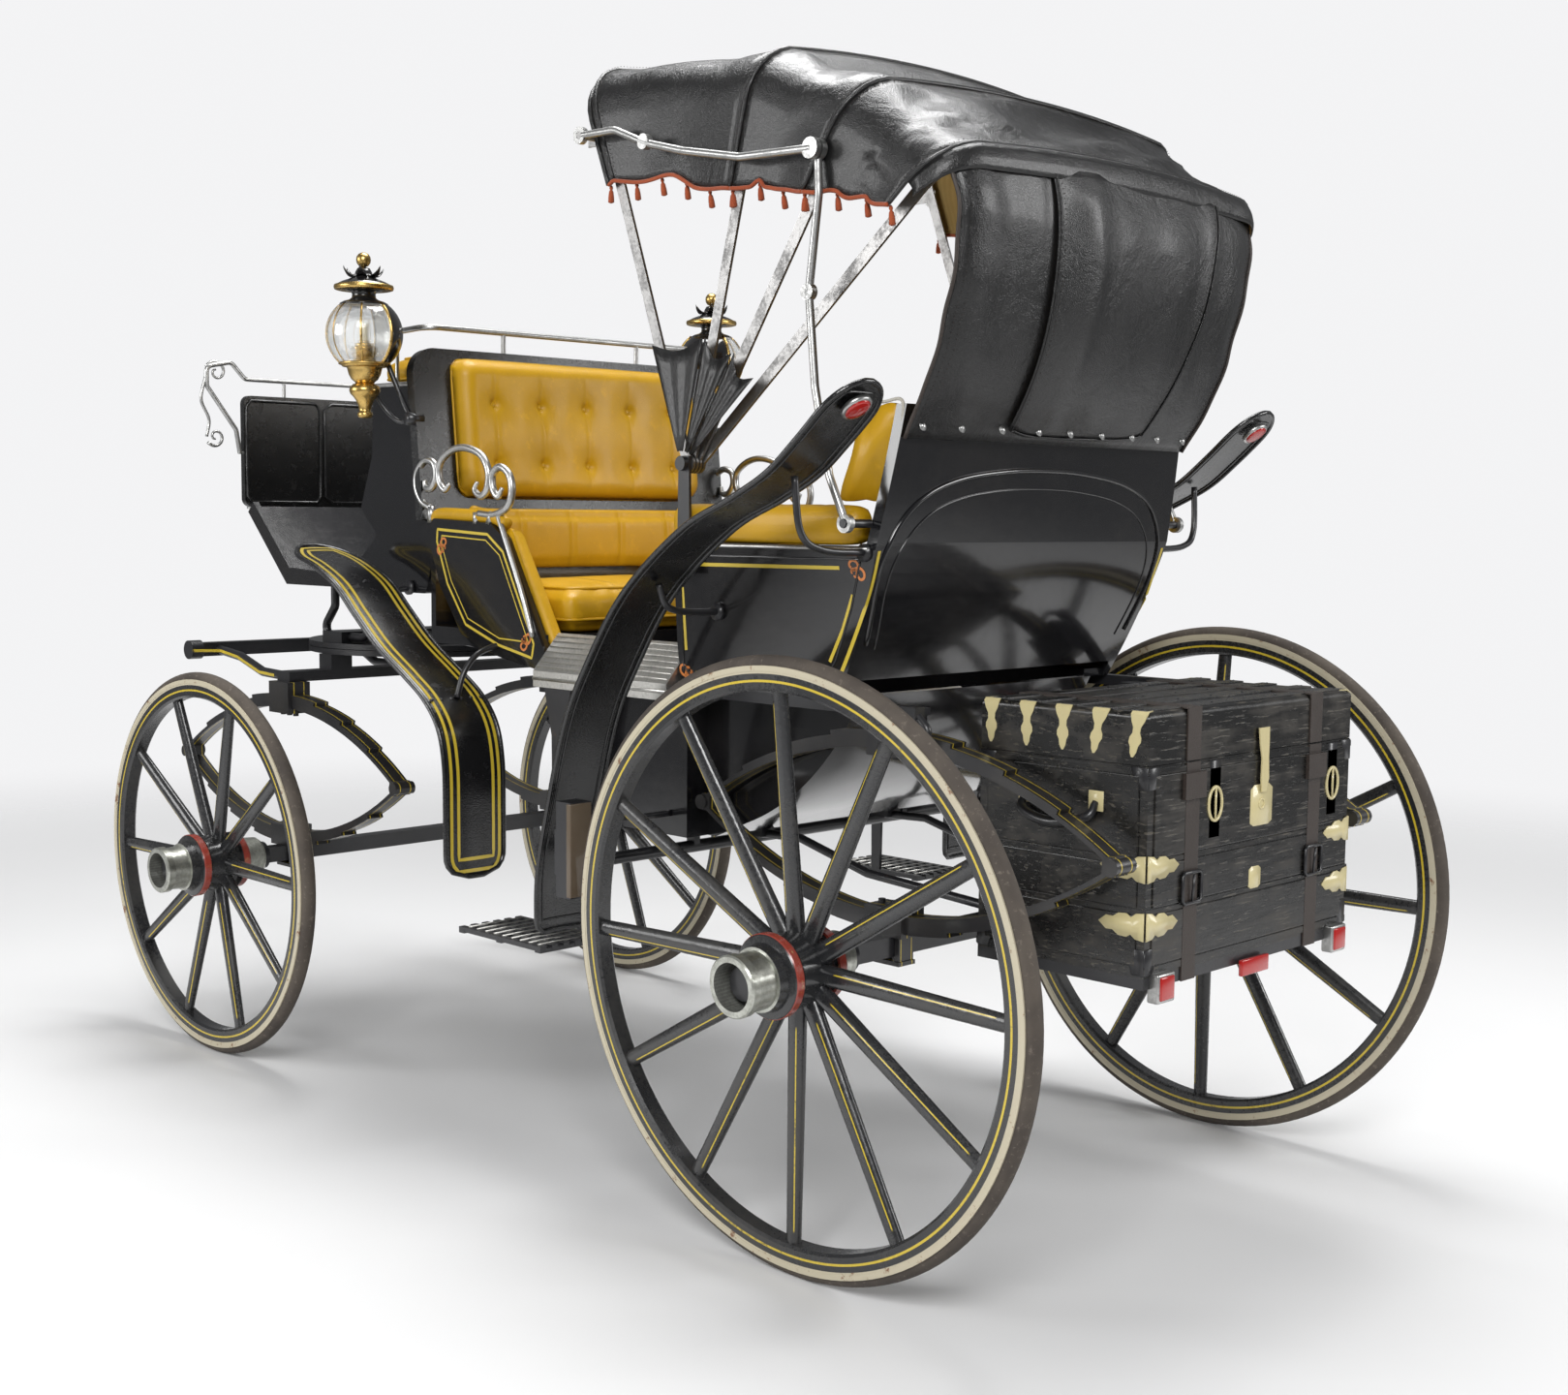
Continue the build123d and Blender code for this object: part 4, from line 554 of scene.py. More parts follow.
def ringFaces(rows, sides, closed=False):
    # the skin between rings of points, with a cap at each end unless it closes on itself
    faces = []
    for i in range(rows if closed else rows - 1):
        j = (i + 1) % rows
        for k in range(sides):
            m = (k + 1) % sides
            faces.append((i * sides + k, i * sides + m, j * sides + m, j * sides + k))
    if not closed:
        faces.append(tuple(reversed(range(sides))))
        faces.append(tuple((rows - 1) * sides + k for k in range(sides)))
    return faces


def rimLoop(rows, cols):
    # the outer points of a grid, in order
    loop = list(range(cols)) + [r * cols + cols - 1 for r in range(1, rows)]
    loop += [(rows - 1) * cols + c for c in range(cols - 2, -1, -1)]
    return loop + [r * cols for r in range(rows - 2, 0, -1)]


def sheetFaces(rows, cols):
    # both skins and the rim of a thin shell, from a grid of points that is listed twice
    faces = []
    back = rows * cols
    for r in range(rows - 1):
        for c in range(cols - 1):
            a = r * cols + c
            faces.append((a, a + 1, a + cols + 1, a + cols))
            faces.append((back + a, back + a + cols, back + a + cols + 1, back + a + 1))
    loop = rimLoop(rows, cols)
    for i, a in enumerate(loop):
        b = loop[(i + 1) % len(loop)]
        faces.append((b, a, a + back, b + back))
    return faces


def turned(centre, profile, sides=28, axes=((1, 0, 0), (0, 1, 0), (0, 0, 1))):
    # a turned form: (radius, height) places in millimetres about the last axis through a centre
    first, second, along = (Vector(a) for a in axes)
    points = []
    for radius, height in [(r / 1000, h / 1000) for r, h in profile]:
        for k in range(sides):
            a = 2 * pi * k / sides
            points.append(centre + (first * cos(a) + second * sin(a)) * radius + along * height)
    return points, ringFaces(len(profile), sides)


def tube(points, radius, sides=8, closed=False, flat=1.0):
    # a round run along points, as points and faces
    pts = [Vector(p) for p in points]
    count = len(pts)
    made = []
    tangents = []
    for i in range(count):
        a = pts[(i - 1) % count] if closed or i > 0 else pts[i]
        b = pts[(i + 1) % count] if closed or i < count - 1 else pts[i]
        tangents.append((b - a).normalized())
    normal = tangents[0].orthogonal().normalized()
    for i, (p, t) in enumerate(zip(pts, tangents)):
        normal = (normal - t * normal.dot(t)).normalized()
        side = t.cross(normal)
        r = radius[i] if isinstance(radius, (list, tuple)) else radius
        for k in range(sides):
            a = 2 * pi * k / sides
            made.append(p + normal * cos(a) * r + side * sin(a) * r * flat)
    return made, ringFaces(count, sides, closed)


def joined(parts):
    points, faces = [], []
    for pts, fcs in parts:
        base = len(points)
        points += list(pts)
        faces += [tuple(base + i for i in f) for f in fcs]
    return points, faces


def mirrored(parts):
    out = list(parts)
    for pts, fcs in parts:
        out.append(([Vector((p[0], -p[1], p[2])) for p in pts], [tuple(reversed(f)) for f in fcs]))
    return out


def smoothRun(points, steps=8, closed=False):
    # a soft curve through the points
    pts = [Vector(p) for p in points]
    count = len(pts)
    out = []
    last = count if closed else count - 1
    for i in range(last):
        p0 = pts[(i - 1) % count] if closed or i > 0 else pts[i] * 2 - pts[i + 1]
        p1 = pts[i]
        p2 = pts[(i + 1) % count]
        p3 = pts[(i + 2) % count] if closed or i < count - 2 else p2 * 2 - p1
        for k in range(steps):
            t = k / steps
            out.append(0.5 * ((2 * p1) + (p2 - p0) * t + (2 * p0 - 5 * p1 + 4 * p2 - p3) * t * t
                              + (3 * p1 - p0 - 3 * p2 + p3) * t * t * t))
    if not closed:
        out.append(pts[-1])
    return out


def alongRun(line, share):
    # the point at a share of a run of points
    spot = share * (len(line) - 1)
    i = min(int(spot), len(line) - 2)
    return line[i].lerp(line[i + 1], spot - i)


# camera, light and floor
view = {"x": -2.3827, "y": 3.096, "z": 1.3636, "yaw": -45.21, "pitch": -5.392, "roll": 0.555, "focal": 2023.1}
yaw, pitch, roll = (radians(view[k]) for k in ("yaw", "pitch", "roll"))
ahead = Vector((cos(yaw) * cos(pitch), sin(yaw) * cos(pitch), sin(pitch)))
right = Vector((sin(yaw), -cos(yaw), 0))
up = right.cross(ahead)
rightRolled = right * cos(roll) + up * sin(roll)
upRolled = up * cos(roll) - right * sin(roll)
cameraData = bpy.data.cameras.new("photoCamera")
cameraData.sensor_width = 36
cameraData.lens = view["focal"] / 1619 * 36
camera = bpy.data.objects.new("photoCamera", cameraData)
scene.collection.objects.link(camera)
aimed = Matrix((rightRolled, upRolled, -ahead)).transposed().to_4x4()
camera.matrix_world = Matrix.Translation(fromAxle(view["x"], view["y"], view["z"])) @ aimed
cameraData.clip_end = 100
scene.camera = camera

scene.view_settings.view_transform = "Standard"

studio = {"world": 0.22, "key": 330, "fill": 190, "top": 330, "back": 170}


def softLight(name, place, aim, size, power, colour=(1, 1, 1)):
    data = bpy.data.lights.new(name, "AREA")
    data.shape = "RECTANGLE"
    data.size, data.size_y = size
    data.energy = power
    data.color = colour
    lamp = bpy.data.objects.new(name, data)
    scene.collection.objects.link(lamp)
    lamp.location = place
    lamp.rotation_mode = "QUATERNION"
    lamp.rotation_quaternion = (Vector(aim) - Vector(place)).to_track_quat("-Z", "Y")
    return lamp


softLight("keyLight", (-4.5, 5.0, 4.6), (0, 0, 1.0), (3.0, 2.4), studio["key"])
softLight("fillLight", (3.0, 6.0, 2.6), (0, 0, 1.0), (3.2, 2.6), studio["fill"])
softLight("topLight", (0.6, -0.8, 6.0), (0, 0, 0), (3.4, 2.6), studio["top"])
softLight("backLight", (-5.5, -3.5, 3.2), (0, 0, 1.0), (2.6, 2.4), studio["back"])

world = bpy.data.worlds.new("studioWorld")
scene.world = world
world.use_nodes = True
worldTree = world.node_tree
worldTree.nodes.clear()
kinds = ("OutputWorld", "Background", "Background", "LightPath", "MixShader", "Math")
worldOut, lit, shown, rays, worldMix, seen = (worldTree.nodes.new("ShaderNode" + kind) for kind in kinds)
lit.inputs[0].default_value = (0.82, 0.83, 0.85, 1)
lit.inputs[1].default_value = studio["world"]
shown.inputs[0].default_value = (0.9, 0.9, 0.91, 1)
shown.inputs[1].default_value = 1.0
seen.operation = "MAXIMUM"
wired(worldTree, (rays.outputs["Is Camera Ray"], seen.inputs[0]),
      (rays.outputs["Is Transmission Ray"], seen.inputs[1]), (seen.outputs[0], worldMix.inputs[0]),
      (lit.outputs[0], worldMix.inputs[1]), (shown.outputs[0], worldMix.inputs[2]),
      (worldMix.outputs[0], worldOut.inputs[0]))

floorShade = Shade("paleFloor")
speckle = floorShade.noise(3.0, 4, 0.6)
floorShade.finish(colour=floorShade.mix(speckle * 0.25, (0.8, 0.8, 0.8), (0.74, 0.74, 0.75)), rough=0.55,
                  specular=0.25)
reach = floorShade.node("ShaderNodeVectorMath", {"operation": "LENGTH"}, {0: floorShade.place}, "Value")
clearShade = floorShade.tree.nodes.new("ShaderNodeBsdfTransparent")
fadeMix = floorShade.tree.nodes.new("ShaderNodeMixShader")
floorShade.put(fadeMix.inputs[0], reach.above(4.6, 2.2))
wired(floorShade.tree, (floorShade.surface.outputs[0], fadeMix.inputs[1]),
      (clearShade.outputs[0], fadeMix.inputs[2]), (fadeMix.outputs[0], floorShade.output.inputs["Surface"]))
looks["floor"] = floorShade.material
floor = piece("studioFloor", [(-14, -14, 0), (14, -14, 0), (14, 14, 0), (-14, 14, 0)], [(0, 1, 2, 3)],
              "floor", None, smooth=False)
print("camera, lights and floor ready")

# rows of small things along a path
def rowTree():
    tree = bpy.data.node_groups.new("rowAlongPath", "GeometryNodeTree")
    for name, kind in (("Path", "Geometry"), ("Item", "Object"), ("Spacing", "Float"), ("Facing", "Vector"),
                       ("Size", "Float"), ("Sway", "Float"), ("Finish", "Material")):
        tree.interface.new_socket(name, in_out="INPUT", socket_type="NodeSocket" + kind)
    tree.interface.new_socket("Row", in_out="OUTPUT", socket_type="NodeSocketGeometry")

    def add(kind, **settings):
        made = tree.nodes.new(kind)
        for key, value in settings.items():
            setattr(made, key, value)
        return made

    taken, given, curve = add("NodeGroupInput"), add("NodeGroupOutput"), add("GeometryNodeMeshToCurve")
    resample = add("GeometryNodeResampleCurve", mode="LENGTH")
    info, spread = add("GeometryNodeObjectInfo"), add("GeometryNodeInstanceOnPoints")
    along = add("GeometryNodeInputTangent")
    lean = add("FunctionNodeRandomValue", data_type="FLOAT_VECTOR")
    lean.inputs["Seed"].default_value = 7
    low, high = (add("ShaderNodeVectorMath", operation="SCALE") for _ in range(2))
    low.inputs[0].default_value = (-1, -1, -1)
    high.inputs[0].default_value = (1, 1, 1)
    toFacing = add("FunctionNodeAlignRotationToVector", axis="Z")
    toRun = add("FunctionNodeAlignRotationToVector", axis="X", pivot_axis="Z")
    turn, real = add("GeometryNodeRotateInstances"), add("GeometryNodeRealizeInstances")
    finish = add("GeometryNodeSetMaterial")
    wired(tree, (taken.outputs["Path"], curve.inputs["Mesh"]), (curve.outputs[0], resample.inputs["Curve"]),
          (taken.outputs["Spacing"], resample.inputs["Length"]),
          (resample.outputs[0], spread.inputs["Points"]), (taken.outputs["Item"], info.inputs["Object"]),
          (info.outputs["Geometry"], spread.inputs["Instance"]),
          (taken.outputs["Facing"], toFacing.inputs["Vector"]),
          (toFacing.outputs[0], toRun.inputs["Rotation"]), (along.outputs[0], toRun.inputs["Vector"]),
          (toRun.outputs[0], spread.inputs["Rotation"]), (taken.outputs["Size"], spread.inputs["Scale"]),
          (taken.outputs["Sway"], low.inputs["Scale"]), (taken.outputs["Sway"], high.inputs["Scale"]),
          (low.outputs[0], lean.inputs["Min"]), (high.outputs[0], lean.inputs["Max"]),
          (spread.outputs[0], turn.inputs["Instances"]), (lean.outputs[0], turn.inputs["Rotation"]),
          (turn.outputs[0], real.inputs[0]), (real.outputs[0], finish.inputs["Geometry"]),
          (taken.outputs["Finish"], finish.inputs["Material"]), (finish.outputs[0], given.inputs[0]))
    return tree


rowNodes = rowTree()
rowSockets = {s.name: s.identifier for s in rowNodes.interface.items_tree if s.in_out == "INPUT"}


def smallThing(name, rings, sides=10):
    # the one item that a row repeats, turned about Z
    mesh = bpy.data.meshes.new(name)
    points, faces = turned(Vector(), rings, sides)
    mesh.from_pydata([tuple(p) for p in points], [], faces)
    mesh.polygons.foreach_set("use_smooth", [True] * len(mesh.polygons))
    return bpy.data.objects.new(name, mesh)


items = {
    "dome": smallThing("domeItem", [(4, 0), (4.8, 0.4), (4.4, 1.8), (2.6, 3), (0.8, 3.4)]),
    "bolt": smallThing("boltItem", [(7.5, 0), (8.8, 1), (8.8, 5), (7, 6.5), (3.8, 6.6), (3.6, 10.5),
                                    (2, 12)], 6),
    "tassel": smallThing("tasselItem", [(0.6, -4), (3.5, -1), (4.4, 3), (2.8, 7), (5.2, 11), (6.6, 22),
                                        (7, 34), (3, 36)], 9),
    "stitch": smallThing("stitchItem", [(0.4, -0.2), (0.9, 0.2), (0.7, 0.7), (0.2, 0.9)], 6),
    "snap": smallThing("snapItem", [(8.5, 0), (9.2, 0.8), (7.8, 2.2), (5, 2.6), (4.6, 4.2), (2.2, 5.2)], 14),
}


def row(name, path, item, spacing, facing, finish, body="carriage", slot=None, size=1.0, sway=0.0):
    mesh = bpy.data.meshes.new(name)
    mesh.from_pydata([tuple(p) for p in path], [(i, i + 1) for i in range(len(path) - 1)], [])
    obj = bpy.data.objects.new(name, mesh)
    scene.collection.objects.link(obj)
    tool = obj.modifiers.new("row", "NODES")
    tool.node_group = rowNodes
    for key, value in (("Item", items[item]), ("Spacing", spacing), ("Facing", facing), ("Size", size),
                       ("Sway", sway), ("Finish", looks[finish])):
        tool[rowSockets[key]] = value
    settle(obj)
    obj.data.name = name
    return fitted(obj, finish, body, slot)


# hood
hood = {
    "bows": [
        {"angle": 70.0, "foot": 0.598, "crown": 0.894, "rise": 0.034, "body": "hood_1"},
        {"angle": 104.5, "foot": 0.528, "crown": 0.822, "rise": 0.022, "body": "hood_2"},
        {"angle": 123.5, "foot": 0.582, "crown": 0.838, "rise": 0.02, "body": "hood_3"},
        {"angle": 140.3, "foot": 0.69, "crown": 0.872, "rise": 0.02, "body": "hood_4"},
    ],
    "lipAngle": 1.7, "lipDrop": 0.01,
    "half": 0.512, "corner": 0.11,
    "thick": 0.0026, "sag": 0.026, "sideSag": 0.011,
    "columns": {"side": 9, "corner": 7, "top": 18},
    "rows": 12,
}
pivot = fromAxle(layout["pivotX"], 0, layout["pivotZ"])


def bowPoint(angle, across, away):
    a = radians(angle)
    return Vector((pivot.x + away * cos(a), across, pivot.z + away * sin(a)))


def archProfile(bow, inset=0.0, drop=0.0):
    # points across the hood as (across, away), from the left foot to the right one
    half = hood["half"] - inset
    corner = hood["corner"] - inset
    crown = bow["crown"] - inset - drop
    shoulder = crown - bow["rise"]
    counts = hood["columns"]
    left = []
    for i in range(counts["side"]):
        t = i / counts["side"]
        left.append((half, bow["foot"] + (shoulder - corner - bow["foot"]) * t))
    for i in range(counts["corner"]):
        a = pi / 2 * i / counts["corner"]
        left.append((half - corner + corner * cos(a), shoulder - corner + corner * sin(a)))
    flat = half - corner
    over = []
    radius = (flat * flat + bow["rise"] ** 2) / (2 * bow["rise"])
    for i in range(counts["top"] + 1):
        y = flat * (1 - 2 * i / counts["top"])
        over.append((y, crown - radius + sqrt(radius * radius - y * y)))
    return left + over + [(-y, z) for y, z in reversed(left)]


def hoodSurface(front, rear, t, drop=0.0):
    # a share t of the way from one bow to the next
    pairs = zip(archProfile(front, 0.0, drop), archProfile(rear))
    return [bowPoint(front["angle"], *p).lerp(bowPoint(rear["angle"], *q), t) for p, q in pairs]


def sagged(points, t, seed):
    # leather hangs a little between its bows, with slack ripples near the sides
    out = []
    count = len(points)
    dip = sin(pi * t) ** 0.8
    for i, p in enumerate(points):
        s = i / (count - 1)
        top = sin(pi * s) ** 2
        ripple = noise.noise(Vector((s * 9 + seed, t * 3, seed * 2.3)))
        outward = Vector((p.x - pivot.x, 0, p.z - pivot.z)).normalized()
        pull = 1 - abs(noise.noise(Vector((s * 5.5 + seed * 1.7, t * 1.6 + s * 2.2, seed))) * 5)
        pull = max(0.0, pull)
        pull = pull * pull * (3 - 2 * pull)
        side = Vector((0, copysign(1, p.y), 0)) if abs(p.y) > 0.05 else Vector((0, 0, 0))
        crease = exp(-((s - 0.5 - 0.27 * copysign(1, s - 0.5)) / 0.055) ** 2)
        depth = hood["sag"] * top * (0.75 + 0.25 * sin(s * 7 + seed))
        depth += 0.013 * ripple - 0.01 * crease - 0.012 * pull
        out.append(p - outward * depth * dip - side * (hood["sideSag"] + 0.003 * ripple) * dip * (1 - top))
    return out


def shellOf(name, grid, thick, body=None):
    # a closed thin sheet from a grid of points, leather outside and lining inside
    rows, cols = len(grid), len(grid[0])
    points = [p for line in grid for p in line]
    normals = [Vector((0, 0, 0)) for _ in points]
    faces = []
    for r in range(rows - 1):
        for c in range(cols - 1):
            a = r * cols + c
            faces += [(a, a + 1, a + cols + 1), (a, a + cols + 1, a + cols)]
    for f in faces:
        n = (points[f[1]] - points[f[0]]).cross(points[f[2]] - points[f[0]])
        for i in f:
            normals[i] += n
    # the grid's own turn decides which way its normals point, so they are set away from the hood's middle
    heart = Vector((pivot.x + 0.15, 0, pivot.z + 0.25))
    facing = 1 if sum(n.dot(p - heart) for p, n in zip(points, normals)) > 0 else -1
    inner = [p - n.normalized() * thick * facing for p, n in zip(points, normals)]
    count = len(points)
    skins = [0] * len(faces)
    back = [tuple(reversed([i + count for i in f])) for f in faces]
    skins += [1] * len(back)
    loop = rimLoop(rows, cols)
    rim = [(b, a, a + count, b + count) for a, b in zip(loop, loop[1:] + loop[:1])]
    skins += [0] * len(rim)
    obj = piece(name, points + inner, faces + back + rim, "hood", body)
    obj.data.materials.append(looks["lining"])
    obj.data.polygons.foreach_set("material_index", skins)
    return facesOut(obj)


def sheetOf(obj, grid, restsOn, least=0.0):
    # works out the flat size of a leather sheet from the grid that it was made on, and keeps nothing
    (wide, long), area = gridArea(grid)
    wide, long = max(wide, 2 * least), max(long, least)
    min(area, wide * long)


def gridArea(grid):
    width = sum((grid[len(grid) // 2][i + 1] - grid[len(grid) // 2][i]).length
                for i in range(len(grid[0]) - 1))
    length = sum((grid[i + 1][0] - grid[i][0]).length for i in range(len(grid) - 1))
    middle = len(grid[0]) // 2
    length = max(length, sum((grid[i + 1][middle] - grid[i][middle]).length for i in range(len(grid) - 1)))
    area = 0.0
    for i in range(len(grid) - 1):
        for j in range(len(grid[0]) - 1):
            a, b, c, d = grid[i][j], grid[i][j + 1], grid[i + 1][j + 1], grid[i + 1][j]
            area += ((c - a).cross(d - b)).length / 2
    return (width, length), area


for k in range(3):
    front, rear = hood["bows"][k], hood["bows"][k + 1]
    grid = []
    if k == 0:
        lip = dict(front, angle=front["angle"] - hood["lipAngle"])
        for t in (0.0, 0.5):
            grid.append(hoodSurface(lip, front, t, hood["lipDrop"]))
    for r in range(hood["rows"] + 1):
        t = r / hood["rows"]
        grid.append(sagged(hoodSurface(front, rear, t), t, k + 1))
    bay = shellOf(f"hoodBay{k + 1}", grid, hood["thick"])
    between = (front["body"], rear["body"], tuple(bowPoint(front["angle"], 0, 0.7)),
               tuple(bowPoint(rear["angle"], 0, 0.7)))
    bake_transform(bay)
    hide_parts(f"hood_leather_{k + 1}")
    sheetOf(bay, grid, [f"hood_bow_{k + 1}", f"hood_bow_{k + 2}"])
    # the trimmed lower edges, and tassels along them
    for side, column in (("Left", 0), ("Right", -1)):
        edge = [line[column] for line in grid]
        trim = piece(f"hoodTrim{side}{k + 1}", *tube(smoothRun(edge, 3), 0.0042, 8), "redTrim", None)
        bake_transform(trim)
        inner = [p + Vector((0, -copysign(0.007, p.y), -0.003)) for p in edge]
        fringe = row(f"hoodTassels{side}{k + 1}", inner, "tassel", 0.062, (0, 0, -1), "redTrim", None,
                     size=0.9, sway=0.16)
        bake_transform(fringe)

# welts sewn over each bow, and the bound front edge
for k, bow in enumerate(hood["bows"]):
    profile = archProfile(dict(bow, foot=bow["foot"] + 0.004), -0.0012)
    points = [bowPoint(bow["angle"], *p) for p in profile]
    piece(f"hoodWelt{k + 1}", *tube(points, 0.004, 8, flat=0.55), "hood", bow["body"])
    for shift in (-0.75, 0.75):
        line = [bowPoint(bow["angle"] + shift, *p) for p in archProfile(bow, -0.0004)]
        if k < 3 or shift < 0:
            row(f"hoodStitch{k + 1}{'a' if shift < 0 else 'b'}", line, "stitch", 0.009, (0, 0, 1), "strap",
                bow["body"], size=1.3)
lipBow = dict(hood["bows"][0], angle=hood["bows"][0]["angle"] - hood["lipAngle"])
lipPoints = [bowPoint(lipBow["angle"], *p) for p in archProfile(lipBow, 0.0, hood["lipDrop"])]
piece("hoodFrontBinding", *tube(lipPoints, 0.005, 10), "hood", "hood_1")

# fan of leather at the pivot, folded between the bows
fanForm = {"rows": 16, "columns": 6, "from": 0.024, "reach": 0.222, "hollow": 0.13, "half": 0.516,
           "layer": 0.006}
for side, tag in bothSides:
    for k in range(3):
        front, rear = hood["bows"][k], hood["bows"][k + 1]
        fan = []
        for r in range(fanForm["rows"] + 1):
            t = r / fanForm["rows"]
            arc = sin(pi * t)
            angle = front["angle"] + (rear["angle"] - front["angle"]) * t
            line = []
            for c in range(fanForm["columns"] + 1):
                out = c / fanForm["columns"]
                away = fanForm["from"] + fanForm["reach"] * out * (1 - fanForm["hollow"] * arc)
                across = fanForm["half"] - fanForm["layer"] * k
                across += 0.0015 * sin(pi * t * 5) * out - 0.0012 * arc * out
                line.append(bowPoint(angle, side * across, away))
            fan.append(line)
        obj = shellOf(f"hoodFan{tag}{k + 1}", fan, 0.002)
        tuple(bowPoint(front["angle"], 0, 0.08))
        tuple(bowPoint(rear["angle"], 0, 0.08))
        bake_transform(obj)
        sheetOf(obj, fan, [f"hood_bow_{k + 1}", f"hood_bow_{k + 2}"], 0.03)

# rear curtain
curtain = {
    "line": [(-0.201, 2.012), (-0.207, 1.895), (-0.176, 1.75), (-0.128, 1.62), (-0.056, 1.498)],
    "topHalf": 0.482, "bottomHalf": 0.44, "wrap": 0.04, "thick": 0.003, "columns": 44, "rows": 30,
}


def bowReach(y):
    # how far the last bow stands from the pivot at a given half width
    bow = hood["bows"][3]
    half, corner = hood["half"] - 0.004, hood["corner"] - 0.004
    crown = bow["crown"] - 0.004
    flat = half - corner
    if abs(y) <= flat:
        radius = (flat * flat + bow["rise"] ** 2) / (2 * bow["rise"])
        return crown - radius + sqrt(radius * radius - y * y)
    side = min(corner, abs(y) - flat)
    return crown - bow["rise"] - corner + sqrt(corner * corner - side * side)


curtain["crown"] = hood["bows"][3]["crown"] - 0.004


def curtainPoint(u, v, lift=0.0):
    # u from -1 to 1 across, v from 0 at the top to 1 at the body
    p = alongRun(curtain["smooth"], v)
    half = curtain["topHalf"] + (curtain["bottomHalf"] - curtain["topHalf"]) * v ** 0.8
    wrap = curtain["wrap"] * abs(u) ** 4 * v * 0.3
    drop = curtain["crown"] - bowReach(u * half)
    fade = (1 - v) ** 1.6
    p = p + Vector((drop * 0.769 * fade, 0, -drop * 0.639 * fade))
    belly = 0.022 * sin(pi * min(1, v * 1.05)) * (1 - u * u)
    hang = sin(pi * min(1.0, v * 1.02)) ** 0.5 if v < 0.98 else 0.0
    folds = 0.006 * sin(u * 15 + v * 2.2) * hang * (0.4 + abs(u) ** 2)
    deep = exp(-((u - 0.3 + 0.1 * v) / 0.085) ** 2)
    deep -= 0.8 * exp(-((u - 0.5 + 0.06 * v) / 0.09) ** 2)
    folds += 0.02 * deep * sin(pi * min(1, v)) ** 0.8 * (1 - 0.55 * v)
    folds += 0.012 * exp(-((u + 0.55 + 0.1 * v) / 0.08) ** 2) * hang
    folds += 0.007 * noise.noise(Vector((u * 2.2, v * 1.6, 4.1))) * hang
    folds += 0.004 * noise.noise(Vector((u * 3.1, v * 4.7, 1.7)))
    folds += 0.003 * sin(v * 26 + u * 3) * sin(pi * v) * max(0, abs(u) - 0.62) * 2.2
    return Vector((p.x + wrap - belly - folds - lift, u * half, p.z))


curtain["smooth"] = smoothRun([fromAxle(x, 0, z) for x, z in curtain["line"]], 8)
grid = [[curtainPoint(1 - 2 * c / curtain["columns"], r / curtain["rows"])
         for c in range(curtain["columns"] + 1)] for r in range(curtain["rows"] + 1)]
rearCurtain = shellOf("hoodRearCurtain", grid, curtain["thick"])
toLastBow = ("carriage", "hood_4", tuple(fromAxle(-0.05, 0, 1.5)), tuple(fromAxle(-0.2, 0, 2.0)))
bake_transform(rearCurtain)
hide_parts("rear_curtain")
sheetOf(rearCurtain, grid, ["hood_bow_4", "rear_body"])


def sewnOn(name, path):
    # a line of stitches that bends with the curtain
    sewn = row(name, path, "stitch", 0.009, (-1, 0, 0.1), "strap", None, size=1.2)
    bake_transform(sewn)


for side, tag in bothSides:
    run = [curtainPoint(side, v / 40, 0.0012) for v in range(41)]
    binding = piece(f"curtainBinding{tag}", *tube(run, 0.0036, 8), "strap", None)
    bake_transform(binding)
    for shift, letter in ((0.016, "a"), (0.045, "b")):
        sewnOn(f"curtainStitch{tag}{letter}",
               [curtainPoint(side * (0.975 - shift), v / 40, 0.001) for v in range(1, 40)])
# a lapped middle panel hangs over the curtain
panel = {"left": 0.5, "right": -0.62, "narrow": 0.07, "top": 0.062, "foot": 0.985, "columns": 40, "rows": 30}


def panelPoint(a, b, lift=0.0):
    # a from 0 at the left edge to 1 at the right edge, b from 0 at the top to 1 at the foot
    left, right = panel["left"] - panel["narrow"] * b, panel["right"] + panel["narrow"] * b
    foot = panel["foot"] - 0.03 * (2 * a - 1) ** 6 - 0.01 * a
    v = panel["top"] + (foot - panel["top"]) * b
    loose = 0.0055 + 0.01 * b * b * (0.4 + 0.6 * sin(a * 5.2 + 0.6) ** 2)
    loose += 0.004 * sin(a * 11 + b * 2.4) * b * (1 - b) * 4
    return curtainPoint(left + (right - left) * a, v, loose + lift)


grid = [[panelPoint(c / panel["columns"], r / panel["rows"]) for c in range(panel["columns"] + 1)]
        for r in range(panel["rows"] + 1)]
curtainPanel = shellOf("curtainPanel", grid, 0.0026)
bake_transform(curtainPanel)
sheetOf(curtainPanel, grid, ["hoodRearCurtain"])
hemRun = [panelPoint(0.012, r / 30, 0.0012) for r in range(31)]
hemRun += [panelPoint(c / 40, 0.992, 0.0012) for c in range(1, 40)]
hemRun += [panelPoint(0.988, r / 30, 0.0012) for r in range(30, -1, -1)]
hem = piece("curtainPanelHem", *tube(hemRun, 0.0022, 6, flat=0.7), "hood", None)
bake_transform(hem)
for spot, tag in ((0.034, "Left"), (0.966, "Right")):
    sewnOn(f"panelStitch{tag}", [panelPoint(spot, r / 30, 0.001) for r in range(31)])
snapPath = [curtainPoint(u, 0.955, 0.0016 if abs(u) > 0.6 else 0.0135)
            for u in (-0.93, -0.72, -0.5, -0.25, 0.0, 0.2, 0.38, 0.62, 0.93)]
snaps = row("curtainSnaps", snapPath, "snap", 0.098, (-1, 0, 0.3), "silver", None)
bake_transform(snaps)
